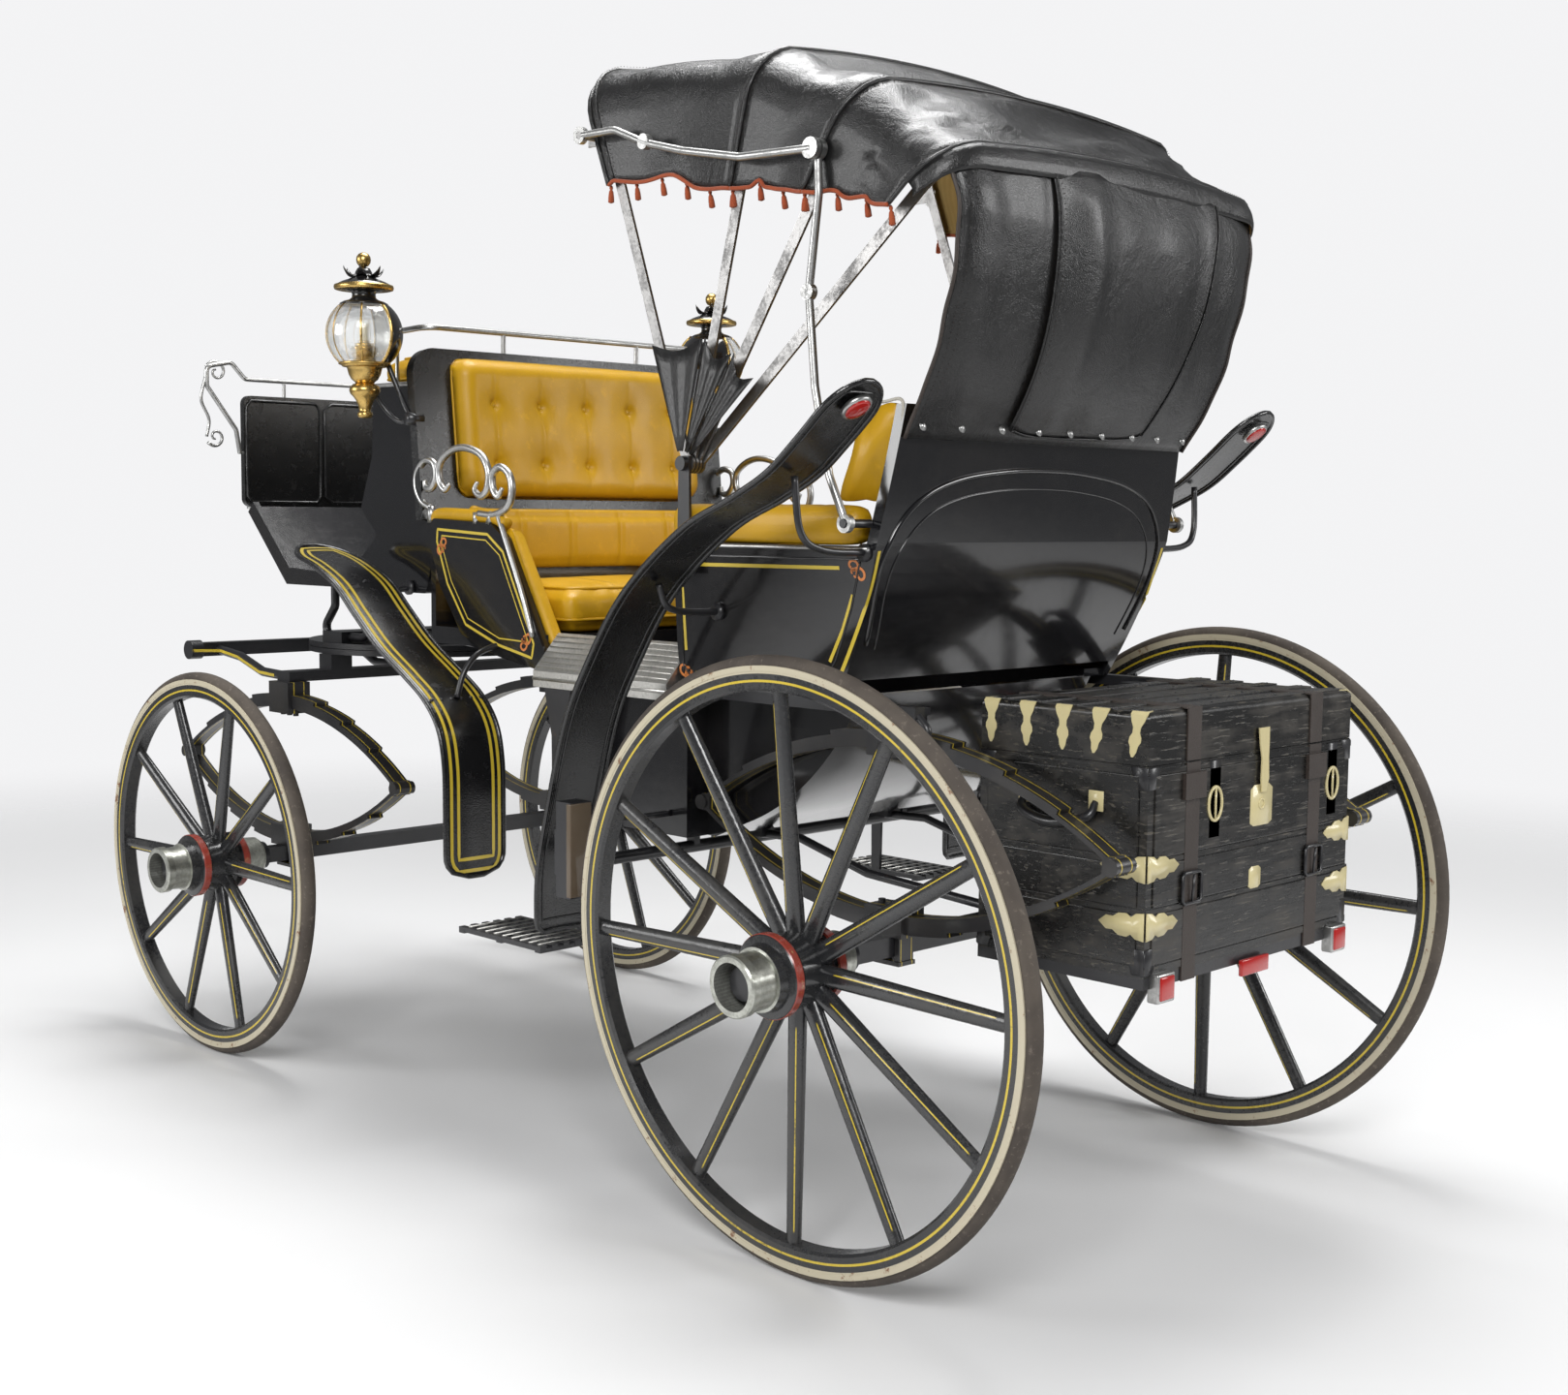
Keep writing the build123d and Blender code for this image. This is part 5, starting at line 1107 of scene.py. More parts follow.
# the roof's rear flap laps over the curtain's top
flap = []
for r in range(6):
    t = r / 5
    line = []
    for c in range(41):
        u = 1 - 2 * c / 40
        p = alongRun([bowPoint(hood["bows"][3]["angle"], *q) for q in archProfile(hood["bows"][3])[9:-9]],
                     c / 40)
        drop = 0.05 * t * (1 - 0.5 * abs(u) ** 3)
        bulge = 0.005 * sin(pi * t)
        line.append(Vector((p.x - 0.005 - 0.01 * t - bulge, p.y, p.z - drop)))
    flap.append(line)
sheetOf(shellOf("hoodRearFlap", flap, 0.0026, "hood_4"), flap, ["hood_bow_4"], 0.03)
print("hood and curtain made")

# stuffed pads
def roundedBlock(name, low, high, corner, segments=4):
    mesh = bmesh.new()
    bmesh.ops.create_cube(mesh, size=1.0)
    for v in mesh.verts:
        v.co = Vector((low[i] + (high[i] - low[i]) * (v.co[i] + 0.5) for i in range(3)))
    bmesh.ops.bevel(mesh, geom=mesh.edges[:], offset=corner, segments=segments, profile=0.5, affect="EDGES")
    bmesh.ops.recalc_face_normals(mesh, faces=mesh.faces)
    data = bpy.data.meshes.new(name)
    mesh.to_mesh(data)
    mesh.free()
    obj = bpy.data.objects.new(name, data)
    scene.collection.objects.link(obj)
    return obj


def remeshed(obj, voxel):
    tool = obj.modifiers.new("remesh", "REMESH")
    tool.mode = "VOXEL"
    tool.voxel_size = voxel
    tool.use_smooth_shade = True
    return settle(obj)


def inflated(obj, cap, frames=20):
    # air pressure swells the closed cover, and no point moves further than the cap
    before = [v.co.copy() for v in obj.data.vertices]
    tool = obj.modifiers.new("cover", "CLOTH")
    cloth = tool.settings
    cloth.quality = 5
    cloth.mass = 0.25
    cloth.tension_stiffness = 12
    cloth.compression_stiffness = 12
    cloth.shear_stiffness = 6
    cloth.bending_stiffness = 0.6
    cloth.use_pressure = True
    cloth.uniform_pressure_force = 4.0
    cloth.effector_weights.gravity = 0
    tool.collision_settings.use_collision = False
    for frameNumber in range(1, frames + 1):
        scene.frame_set(frameNumber)
    settle(obj)
    for v, old in zip(obj.data.vertices, before):
        step = v.co - old
        if step.length > cap:
            v.co = old + step.normalized() * cap
    scene.frame_set(1)
    return obj


def broughtIn(obj, low, high, flatBottom=True):
    # the swollen cover is brought back inside the space that the seat gives it
    xs = [[v.co[i] for v in obj.data.vertices] for i in range(3)]
    for i in range(3):
        small, large = min(xs[i]), max(xs[i])
        scale = (high[i] - low[i]) / (large - small)
        for v in obj.data.vertices:
            v.co[i] = low[i] + (v.co[i] - small) * scale
    if flatBottom:
        depth = high[2] - low[2]
        for v in obj.data.vertices:
            lift = v.co[2] - low[2]
            if lift < depth * 0.12:
                v.co[2] = low[2] + lift * 0.35
    obj.data.update()
    return obj


def finerMesh(obj):
    tool = obj.modifiers.new("finer", "SUBSURF")
    tool.levels = 1
    tool.render_levels = 1
    settle(obj)
    obj.data.polygons.foreach_set("use_smooth", [True] * len(obj.data.polygons))
    return obj


def surfaceTree(obj):
    return BVHTree.FromPolygons([v.co for v in obj.data.vertices], [p.vertices[:] for p in obj.data.polygons])


def seamAround(tree, low, high, height, lift, count=120):
    # a level loop around a pad, lying on its cover
    middle = Vector(((low[0] + high[0]) / 2, (low[1] + high[1]) / 2, height))
    halfX, halfY = (high[0] - low[0]) / 2, (high[1] - low[1]) / 2
    points = []
    for i in range(count):
        a = 2 * pi * i / count
        c, s = cos(a), sin(a)
        k = (abs(c) ** 10 + abs(s) ** 10) ** -0.1
        start = middle + Vector((c * k * (halfX + 0.05), s * k * (halfY + 0.05), 0))
        inner = Vector((middle.x + (start.x - middle.x) * 0.3, middle.y + (start.y - middle.y) * 0.3, height))
        spot, normal, _, _ = tree.ray_cast(start, (inner - start).normalized())
        if spot is not None:
            points.append(spot + normal * lift)
    return points


def seamOver(tree, start, end, above, lift, count=40):
    # a line laid over the cover from above
    points = []
    for i in range(count + 1):
        p = Vector(start).lerp(Vector(end), i / count)
        spot, normal, _, _ = tree.ray_cast(p + Vector(above), -Vector(above).normalized())
        if spot is not None:
            points.append(spot + normal * lift)
    return points


def groove(share, channels, width):
    # 1 on each seam between the channels of a pad, falling to 0 beside it
    phase = share * channels
    away = abs(phase - round(phase))
    return exp(-(away / width) ** 2) if 0 < round(phase) < channels else 0.0


padForm = {"pinch": (0.009, 0.007), "crownFrom": 0.45, "crown": 0.03, "ripple": 0.0022,
           "seam": (0.0075, 0.045)}
lowerForm = {"columns": 5, "seam": (0.005, 0.05), "band": (0.8, 0.045, 0.9), "hollow": 0.01}
pads = {
    "rearSeat": {"node": "rear_seat_cushion", "low": (0.136, -0.402, 1.0956), "high": (0.548, 0.402, 1.2345),
                 "corner": 0.034, "cap": 0.016, "voxel": 0.0095, "inset": 0.01, "seams": (0.3, 0.84),
                 "channels": 5},
    "frontSeat": {"node": "front_seat_cushion", "low": (0.953, -0.402, 1.0956),
                  "high": (1.333, 0.402, 1.2125), "corner": 0.03, "cap": 0.016, "voxel": 0.0095,
                  "inset": 0.01, "seams": (0.26, 0.82), "channels": 5},
    "driverSeat": {"node": "driver_cushion", "low": (1.47, -0.402, 1.6502), "high": (1.661, 0.402, 1.7375),
                   "corner": 0.026, "cap": 0.014, "voxel": 0.0085, "inset": 0.009, "seams": (0.25, 0.8),
                   "channels": 3},
    "lowerBack": {"node": "front_lower_pad", "low": (1.337, -0.37, 1.217), "high": (1.3775, 0.37, 1.3735),
                  "corner": 0.014, "cap": 0.01, "voxel": 0.0065, "inset": 0.004, "seams": (), "channels": 0},
}
for key, pad in pads.items():
    low = Vector(pad["low"]) + Vector((layout["rearAxleX"], 0, 0))
    high = Vector(pad["high"]) + Vector((layout["rearAxleX"], 0, 0))
    shrink = Vector((pad["inset"],) * 3)
    cover = roundedBlock(key + "Pad", low + shrink, high - shrink, pad["corner"])
    remeshed(cover, pad["voxel"])
    inflated(cover, pad["cap"])
    # the sides pull in between the corners, and the crown stands highest in the middle
    spanX, spanY, spanZ = high.x - low.x, high.y - low.y, high.z - low.z
    midX, midY = (low.x + high.x) / 2, (low.y + high.y) / 2
    for v in cover.data.vertices:
        u, w = (v.co.x - midX) / (spanX / 2), (v.co.y - midY) / (spanY / 2)
        if key != "lowerBack":
            v.co.x -= copysign(padForm["pinch"][0] * max(0.0, 1 - w * w) * abs(u) ** 6, u)
            v.co.y -= copysign(padForm["pinch"][1] * max(0.0, 1 - u * u) * abs(w) ** 8, w)
            top = max(0.0, (v.co.z - low.z) / spanZ - padForm["crownFrom"])
            v.co.z += (padForm["crown"] * top * (1 - u * u) * (1 - abs(w) ** 3)
                       + padForm["ripple"] * noise.noise(v.co * 9))
            depth, wide = padForm["seam"]
            v.co.z -= depth * top * groove((w + 1) / 2, pad["channels"], wide)
        else:
            depth, wide = lowerForm["seam"]
            dent = groove((w + 1) / 2, lowerForm["columns"], wide)
            level = (v.co.z - low.z) / spanZ
            at, tall, share = lowerForm["band"]
            dent += exp(-((level - at) / tall) ** 2) * share
            front = max(0.0, (high.x - v.co.x) / spanX)
            v.co.x += (depth * dent + lowerForm["hollow"] * (abs(level - 0.45) * 1.6) ** 2) * front
    broughtIn(cover, low, high, key != "lowerBack")
    finerMesh(cover)
    cover.data.materials.append(looks["yellowHide"])
    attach(cover, "carriage")
    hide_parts(pad["node"])
    tree = surfaceTree(cover)
    for i, share in enumerate(pad["seams"]):
        loop = seamAround(tree, low, high, low.z + spanZ * share, 0.0012)
        piece(f"{key}Piping{i + 1}", *tube(loop, 0.0036, 8, closed=True), "yellowHide")
    for i in range(1, pad["channels"]):
        y = low.y + spanY * i / pad["channels"]
        line = seamOver(tree, (low.x + 0.012, y, high.z), (high.x - 0.012, y, high.z), (0, 0, 0.2), 0.0004)
        if len(line) > 6:
            row(f"{key}Stitch{i}", line, "stitch", 0.0075, (0, 0, 1), "strap", slot="strap_leather", size=1.1)
    print("pad", key, len(cover.data.polygons))

# quilted front back
quilt = {
    "origin": (1.394, 0, 1.34), "lean": 6.0, "half": 0.372, "low": 0.05, "high": 0.377, "deep": 0.047,
    "columns": 5, "pitch": 0.138, "rows": (0.128, 0.268), "dent": 0.019, "reach": 0.04,
    "corner": 0.045,
}
lean = radians(quilt["lean"])
quiltOrigin = fromAxle(*quilt["origin"])
quiltUp = Vector((sin(lean), 0, cos(lean)))
quiltOut = Vector((-cos(lean), 0, sin(lean)))
buttons = [(quilt["pitch"] * (i - 2), v) for v in quilt["rows"] for i in range(quilt["columns"])]


def quiltHeight(y, v):
    # how far the stuffed front stands off its board
    middle = (quilt["low"] + quilt["high"]) / 2
    dy = max(0.0, abs(y) - (quilt["half"] - quilt["corner"])) / quilt["corner"]
    dv = max(0.0, abs(v - middle) - ((quilt["high"] - quilt["low"]) / 2 - quilt["corner"])) / quilt["corner"]
    edge = min(1.0, hypot(dy, dv))
    shape = sqrt(max(0.0, 1 - edge ** 2.4))
    h = quilt["deep"] * shape
    for by, bv in buttons:
        d = hypot((y - by), (v - bv) * 1.05)
        core = 0.55 + 0.45 * exp(-(d / 0.012) ** 2)
        h -= quilt["dent"] * exp(-(d / quilt["reach"]) ** 1.25) * core * shape
        # soft pleats run up and down from each button
        h -= 0.0022 * exp(-((y - by) / 0.006) ** 2) * exp(-(abs(v - bv) / 0.07) ** 2) * shape
    h += 0.0012 * noise.noise(Vector((y * 14, v * 14, 3.1))) * shape
    return max(0.0, h)


def quiltPoint(y, v, lift=0.0):
    return quiltOrigin + Vector((0, y, 0)) + quiltUp * v + quiltOut * (quiltHeight(y, v) + lift + 0.0004)


def roundedSpan(u, w, halfY, halfV, corner):
    # maps the square -1..1 onto a rectangle with round corners
    y, v = u * halfY, w * halfV
    ey, ev = abs(y) - (halfY - corner), abs(v) - (halfV - corner)
    if ey > 0 and ev > 0:
        square = max(ey, ev)
        length = hypot(ey, ev)
        if length > 0:
            y = copysign(halfY - corner + ey / length * square, y)
            v = copysign(halfV - corner + ev / length * square, v)
    return y, v


grid = []
columns, rows = 150, 70
middle = (quilt["low"] + quilt["high"]) / 2
halfV = (quilt["high"] - quilt["low"]) / 2
for r in range(rows + 1):
    line = []
    for c in range(columns + 1):
        y, v = roundedSpan(2 * c / columns - 1, 2 * r / rows - 1, quilt["half"] - 0.0005, halfV - 0.0005,
                           0.03)
        line.append(quiltPoint(y, middle + v))
    grid.append(line)
points = [p for line in grid for p in line]
faces = []
for r in range(rows):
    for c in range(columns):
        a = r * (columns + 1) + c
        faces.append((a, a + 1, a + columns + 2, a + columns + 1))
faces.append(tuple(reversed(rimLoop(rows + 1, columns + 1))))
quiltPad = piece("frontQuiltedBack", points, faces, "yellowHide", solid=True)
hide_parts("front_quilted_back")
buttonShape = [(4, -3), (8.8, -1), (9.2, 1), (7, 3.4), (3, 4.6),
               (0.6, 4.8)]
buttonAxes = (Vector((0, 1, 0)), quiltOut.cross(Vector((0, 1, 0))), quiltOut)
made = [turned(quiltPoint(y, v, 0.0014), buttonShape, 16, buttonAxes) for y, v in buttons]
piece("frontBackButtons", *joined(made), "yellowHide", solid=True)
rimPath = []
for i in range(160):
    a = 2 * pi * i / 160
    c, s = cos(a), sin(a)
    k = (abs(c) ** 14 + abs(s) ** 14) ** (-1 / 14)
    rimPath.append(quiltOrigin + Vector((0, c * k * (quilt["half"] - 0.002), 0))
                   + quiltUp * (middle + s * k * (halfV - 0.002)) + quiltOut * 0.003)
piece("frontBackPiping", *tube(rimPath, 0.0034, 8, closed=True), "yellowHide")

# rear back pad with wings
rearPad = {
    "front": [(0.128, 1.245), (0.11, 1.31), (0.092, 1.4), (0.066, 1.5), (0.048, 1.562)],
    "back": [(0.064, 1.247), (0.033, 1.31), (0.01, 1.4), (-0.008, 1.5), (-0.017, 1.558)],
    "half": 0.405, "columns": 96, "rows": 40, "channels": 6,
}
frontLine = smoothRun([fromAxle(x, 0, z) for x, z in rearPad["front"]], 10)
backLine = smoothRun([fromAxle(x, 0, z) for x, z in rearPad["back"]], 10)


def rearPadPoint(u, v):
    f, b = alongRun(frontLine, v), alongRun(backLine, v)
    puff = (1 - abs(2 * v - 1) ** 5) * (1 - abs(u) ** 12)
    share = 0.3 + 0.68 * puff - 0.16 * groove((u + 1) / 2, rearPad["channels"], 0.055) * puff
    share += 0.03 * noise.noise(Vector((u * 6, v * 4, 9.2)))
    p = b.lerp(f, min(0.985, share))
    pull = 0.006 * (1 - (2 * v - 1) ** 2) * abs(u) ** 6
    return Vector((p.x, u * (rearPad["half"] - pull), p.z))


columns, rows = rearPad["columns"], rearPad["rows"]
points = [rearPadPoint(2 * c / columns - 1, r / rows) for r in range(rows + 1) for c in range(columns + 1)]
for r in range(rows + 1):
    b = alongRun(backLine, r / rows)
    points += [Vector((b.x, (2 * c / columns - 1) * rearPad["half"], b.z)) for c in range(columns + 1)]
faces = sheetFaces(rows + 1, columns + 1)
rearBack = piece("rearBackPad", points, faces, "yellowHide", solid=True)
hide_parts("rear_back_pad")


def sidePad(name, outline, yLow, yHigh, puff):
    # a pad on a side board: an outline in the side view, crowned towards the middle of the carriage
    ring = smoothRun([(x, 0, z) for x, z in outline], 6, closed=True)
    centre = sum(ring, Vector()) / len(ring)
    sign = 1 if yHigh > 0 else -1
    layers = [(1.0, yHigh), (1.0, yHigh - sign * 0.3 * abs(yHigh - yLow))]
    depth = abs(yHigh - yLow)
    for k in range(1, 9):
        a = pi / 2 * k / 8
        layers.append((1 - puff * (1 - cos(a)), yHigh - sign * depth * (0.3 + 0.7 * sin(a))))
    layers.append((0.45, yLow - sign * 0.002))
    layers.append((0.12, yLow - sign * 0.0025))
    pts = []
    for scale, y in layers:
        for p in ring:
            q = centre + (p - centre) * scale
            pts.append(fromAxle(q.x, y, q.z))
    obj = piece(name, pts, ringFaces(len(layers), len(ring)), "yellowHide", solid=True)


wing = [(0.01, 1.392), (-0.006, 1.47), (-0.017, 1.556), (0.03, 1.556), (0.064, 1.55), (0.09, 1.47),
        (0.116, 1.392), (0.06, 1.389)]
for side, tag in bothSides:
    sidePad(f"rearWing{tag}", wing, side * 0.387, side * 0.435, 0.3)
    edge = smoothRun(sideRun(side, (0.008, 0.4365, 1.3), (-0.012, 0.4375, 1.39), (-0.026, 0.4375, 1.48),
                             (-0.036, 0.437, 1.562), (0.01, 0.4365, 1.5645), (0.064, 0.4365, 1.5605)), 8)
    piece(f"rearWingBead{tag}", *tube(edge, 0.0032, 8), "whitePiping")

# arm pads on the rear quarters
armPad = {"from": 0.038, "to": 0.527, "y": 0.449, "flare": 0.014, "z": 1.3409, "half": 0.0305, "high": 0.0365,
          "rings": 44, "sides": 20, "channels": 5}
for side, tag in bothSides:
    pts = []
    rings, sides = armPad["rings"], armPad["sides"]
    for r in range(rings + 1):
        t = r / rings
        x = armPad["from"] + (armPad["to"] - armPad["from"]) * t
        middleY = armPad["y"] + armPad["flare"] * t
        taper = 0.55 + 0.45 * (1 - abs(2 * t - 1) ** 14) ** 0.5
        tuck = 1.0 - 0.035 * groove(t, armPad["channels"], 0.05)
        for k in range(sides):
            a = 2 * pi * k / sides
            c, s = cos(a), sin(a)
            q = (abs(c) ** 3.2 + abs(s) ** 3.2) ** (-1 / 3.2)
            high = armPad["high"] * (tuck * (1 + 0.05 * (1 - c * c)) if s > 0 else 1.0) * taper
            y = middleY + c * q * armPad["half"] * tuck * taper
            pts.append(fromAxle(x, side * y, armPad["z"] + s * q * high))
    arm = piece(f"armPad{tag}", pts, ringFaces(rings + 1, sides), "yellowHide", solid=True)
    if side > 0:
        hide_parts("arm_pads")
print("pads and quilting made")


def roundedCase(centre, half, corner, segments=3):
    # a small block with rounded corners, as points and faces
    block = bmesh.new()
    bmesh.ops.create_cube(block, size=1.0)
    for v in block.verts:
        v.co = Vector([v.co[k] * 2 * half[k] for k in range(3)])
    bmesh.ops.bevel(block, geom=list(block.edges), offset=corner * 0.8, segments=segments, profile=0.5,
                    affect="EDGES")
    block.verts.ensure_lookup_table()
    pts = [centre + v.co for v in block.verts]
    fcs = [tuple(v.index for v in f.verts) for f in block.faces]
    block.free()
    return pts, fcs


# lines, beads and ornaments laid on the body
bodyTrees = {}


def treeOf(name):
    if name not in bodyTrees:
        bodyTrees[name] = surfaceTree(nodes[name])
    return bodyTrees[name]


def laid(node, start, direction, lift):
    # the first place on a carried-over piece that a straight line meets
    spot, normal, _, _ = treeOf(node).ray_cast(Vector(start), Vector(direction).normalized())
    if spot is None:
        return None
    if normal.dot(Vector(direction)) > 0:
        normal = -normal
    return spot + normal * lift, normal


def onSide(node, outline, side, lift=0.0005, closed=False, steps=6, straight=False):
    # a run of (x, z) places brought onto the outside face of a side
    places = [Vector((x, 0, z)) for x, z in outline]
    if straight:
        ring = []
        for a, b in zip(places, places[1:] + (places[:1] if closed else [])):
            ring += [a.lerp(b, k / steps) for k in range(steps)]
        if not closed:
            ring.append(places[-1])
    else:
        ring = smoothRun(places, steps, closed)
    found = [laid(node, fromAxle(p.x, side * 1.2, p.z), (0, -side, 0), lift) for p in ring]
    return [f for f in found if f is not None and f[0].y * side > 0.36 and f[1].y * side > 0.4]


def onBack(node, outline, lift, steps=8):
    ring = smoothRun([(0, y, z) for y, z in outline], steps)
    found = [laid(node, (-1.9, p.y, p.z), (1, 0, 0), lift) for p in ring]
    return [f for f in found if f is not None and f[1].x < -0.3]


def ribbon(found, width, closed=False):
    # a painted line of even width along laid points
    pts, fcs = [], []
    count = len(found)
    for i, (p, n) in enumerate(found):
        a = found[(i - 1) % count][0] if closed or i > 0 else p
        b = found[(i + 1) % count][0] if closed or i < count - 1 else p
        across = n.cross((b - a).normalized()).normalized()
        pts += [p + across * width / 2, p - across * width / 2]
    for i in range(count if closed else count - 1):
        j = (i + 1) % count
        fcs.append((2 * i, 2 * i + 1, 2 * j + 1, 2 * j))
    return pts, fcs


def paintLine(name, found, width, look, body="carriage", slot=None, closed=False):
    piece(name, *ribbon(found, width, closed), look, body, slot, smooth=False)


def scrollRun(centre, size, turns, start, hand=1, count=26):
    # a spiral in a side view, as (x, z) places
    out = []
    for i in range(count):
        t = i / (count - 1)
        a = start + hand * turns * 2 * pi * t
        r = size * (1 - 0.82 * t)
        out.append((centre[0] + r * cos(a), centre[1] + r * sin(a)))
    return out


def ornament(name, node, x, z, turn, side, size=0.028):
    # a painted corner scroll: two leaves that curl away from each other
    parts = []
    for hand in (1, -1):
        for k, (away, big) in enumerate(((0.55, 1.0), (0.15, 0.62))):
            a = turn + hand * 0.9
            centre = (x + size * away * cos(a), z + size * away * sin(a))
            found = onSide(node, scrollRun(centre, size * 0.62 * big, 0.85, a + pi + hand * 0.4, hand,
                                           12), side, 0.0007, steps=2)
            if len(found) > 5:
                parts.append(ribbon(found, 0.0052 - 0.0012 * k))
    if parts:
        piece(name, *joined(parts), "orange", smooth=False)


bodyLines = {
    "rearTop": [(0.452, 1.261), (0.092, 1.263)],
    "rearBack": [(0.066, 1.214), (0.096, 1.15), (0.134, 1.086)],
    "rearFoot": [(0.172, 1.046), (0.47, 1.046)],
    "rearFront": [(0.492, 1.09), (0.494, 1.215)],
    "cornerBand": [(0.004, 1.296), (0.022, 1.23), (0.05, 1.16), (0.086, 1.082), (0.112, 1.036)],
    "moulding": [(0.04, 1.28), (0.496, 1.278), (0.5, 1.06), (0.48, 1.036), (0.158, 1.036),
                 (0.12, 1.09), (0.072, 1.19)],
    "quarterOuter": [(1.338, 1.318), (1.15, 1.309), (1.094, 1.272), (0.985, 1.075), (0.992, 1.044),
                     (1.11, 1.066), (1.232, 1.106), (1.3, 1.195), (1.34, 1.29)],
    "quarterInner": [(1.322, 1.304), (1.156, 1.296), (1.106, 1.264), (1.004, 1.078), (1.108, 1.081),
                     (1.224, 1.12), (1.286, 1.202), (1.322, 1.284)],
}
for side, tag in bothSides:
    for key in ("rearTop", "rearBack", "rearFoot", "rearFront"):
        found = onSide("rear_body", bodyLines[key], side, steps=14, straight=True)
        if len(found) > 3:
            paintLine(f"{key}Line{tag}", found, 0.007, "stripe")
    found = []
    for p in smoothRun([(x, 0, z) for x, z in bodyLines["cornerBand"]], 8):
        found.append(laid("rear_body", fromAxle(p.x - 0.7, side * 1.15, p.z), (1, -side, 0), 0.0006))
    found = [f for f in found if f is not None]
    if len(found) > 3:
        paintLine(f"cornerBand{tag}", found, 0.0078, "stripe")
    for key, width in (("quarterOuter", 0.0062), ("quarterInner", 0.003)):
        found = onSide("front_body", bodyLines[key], side, steps=6, closed=True, straight=True)
        if len(found) > 8:
            paintLine(f"{key}Line{tag}", found, width, "stripe", closed=True)
    for i, (node, x, z, turn) in enumerate((("rear_body", 0.06, 1.252, 2.4),
                                            ("rear_body", 0.484, 1.052, -0.8),
                                            ("rear_body", 0.484, 1.252, 0.8),
                                            ("front_body", 1.312, 1.272, 0.7),
                                            ("front_body", 1.022, 1.086, -2.4))):
        ornament(f"cornerScroll{tag}{i + 1}", node, x, z, turn, side)
    # plated bead under the arm pad, and a raised moulding round the side's panel
    beadRun = onSide("rear_body", [(0.0, 1.299), (0.25, 1.299), (0.512, 1.299)], side, 0.0012, steps=12)
    piece(f"sideBead{tag}", *tube([p for p, _ in beadRun], 0.0036, 8), "silver")
    moulding = onSide("rear_body", bodyLines["moulding"], side, 0.0002, closed=True, steps=10, straight=True)
    piece(f"sideMoulding{tag}", *tube([p for p, _ in moulding], 0.0022, 6, closed=True), "coach")

# the arched panel moulding across the back
arch = [(0.412, 1.12), (0.436, 1.25), (0.418, 1.33), (0.358, 1.392), (0.26, 1.428), (0.12, 1.446),
        (0, 1.45)]
arch = arch + [(-y, z) for y, z in reversed(arch[:-1])]
backRun = [p for p, _ in onBack("rear_body", arch, 0.0006)]
piece("backArchMoulding", *tube(backRun, 0.0052, 8, flat=0.8), "coach")
inner = [(y * 0.93, 1.15 + (z - 1.15) * 0.92 - 0.012) for y, z in arch]
backRun = [p for p, _ in onBack("rear_body", inner, 0.0003)]
piece("backArchLine", *tube(backRun, 0.002, 6), "coach")
print("body lines laid")

# scrolled arms of the front seat
armScroll = {
    "front": [(1.397, 1.429), (1.391, 1.412), (1.368, 1.412), (1.35, 1.438), (1.358, 1.467), (1.392, 1.474),
              (1.424, 1.448), (1.427, 1.412), (1.405, 1.38), (1.372, 1.366)],
    "middle": [(1.3, 1.42), (1.318, 1.407), (1.338, 1.428), (1.336, 1.466), (1.295, 1.494), (1.24, 1.501),
               (1.18, 1.484), (1.153, 1.448), (1.157, 1.41), (1.18, 1.393), (1.203, 1.406),
               (1.195, 1.424)],
    "rear": [(1.104, 1.41), (1.119, 1.392), (1.137, 1.412), (1.137, 1.442), (1.11, 1.457), (1.078, 1.44),
             (1.068, 1.404), (1.085, 1.369), (1.135, 1.352), (1.188, 1.354)],
}
for side, tag in bothSides:
    parts = []
    for key, run in armScroll.items():
        line = smoothRun([fromAxle(x, side * 0.468, z) for x, z in run], 8)
        count = len(line)
        radii = []
        for i in range(count):
            t = i / (count - 1)
            ends = min(1.0, 6 * t, 6 * (1 - t)) if key == "middle" else min(1.0, 6 * t)
            radii.append(0.0048 + 0.0036 * ends)
        parts.append(tube(line, radii, 10))
    for x0, x1 in ((1.372, 1.372), (1.198, 1.198), (1.14, 1.15)):
        parts.append(tube(sideRun(side, (x0, 0.468, 1.37 if x0 > 1.3 else 1.358), (x1, 0.466, 1.333)),
                          [0.008, 0.0105], 10))
    parts.append(tube(smoothRun(sideRun(side, (1.12, 0.468, 1.353), (1.085, 0.474, 1.3),
                                        (1.02, 0.478, 1.18), (0.985, 0.477, 1.09)), 8), 0.0062, 10))
    scrollArm = piece(f"armScroll{tag}", *joined(parts), "silver", solid=True)
    if side > 0:
        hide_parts("arm_scrolls")
    # pads on the front quarter: its top edge and its rear edge
    top = [(1.1, 1.337), (1.14, 1.352), (1.25, 1.356), (1.345, 1.357), (1.362, 1.346)]
    line = smoothRun([fromAxle(x, side * 0.459, z - 0.006) for x, z in top], 8)
    topPad = piece(f"quarterTopPad{tag}", *tube(line, 0.0155, 14), "yellowHide", solid=True)
    sidePad(f"quarterInnerPad{tag}", [(1.15, 1.322), (1.092, 1.318), (1.072, 1.292), (0.925, 1.052),
                                      (0.945, 1.036), (1.0, 1.05), (1.12, 1.24)], side * 0.421,
            side * 0.4515, 0.18)
print("front seat arms made")

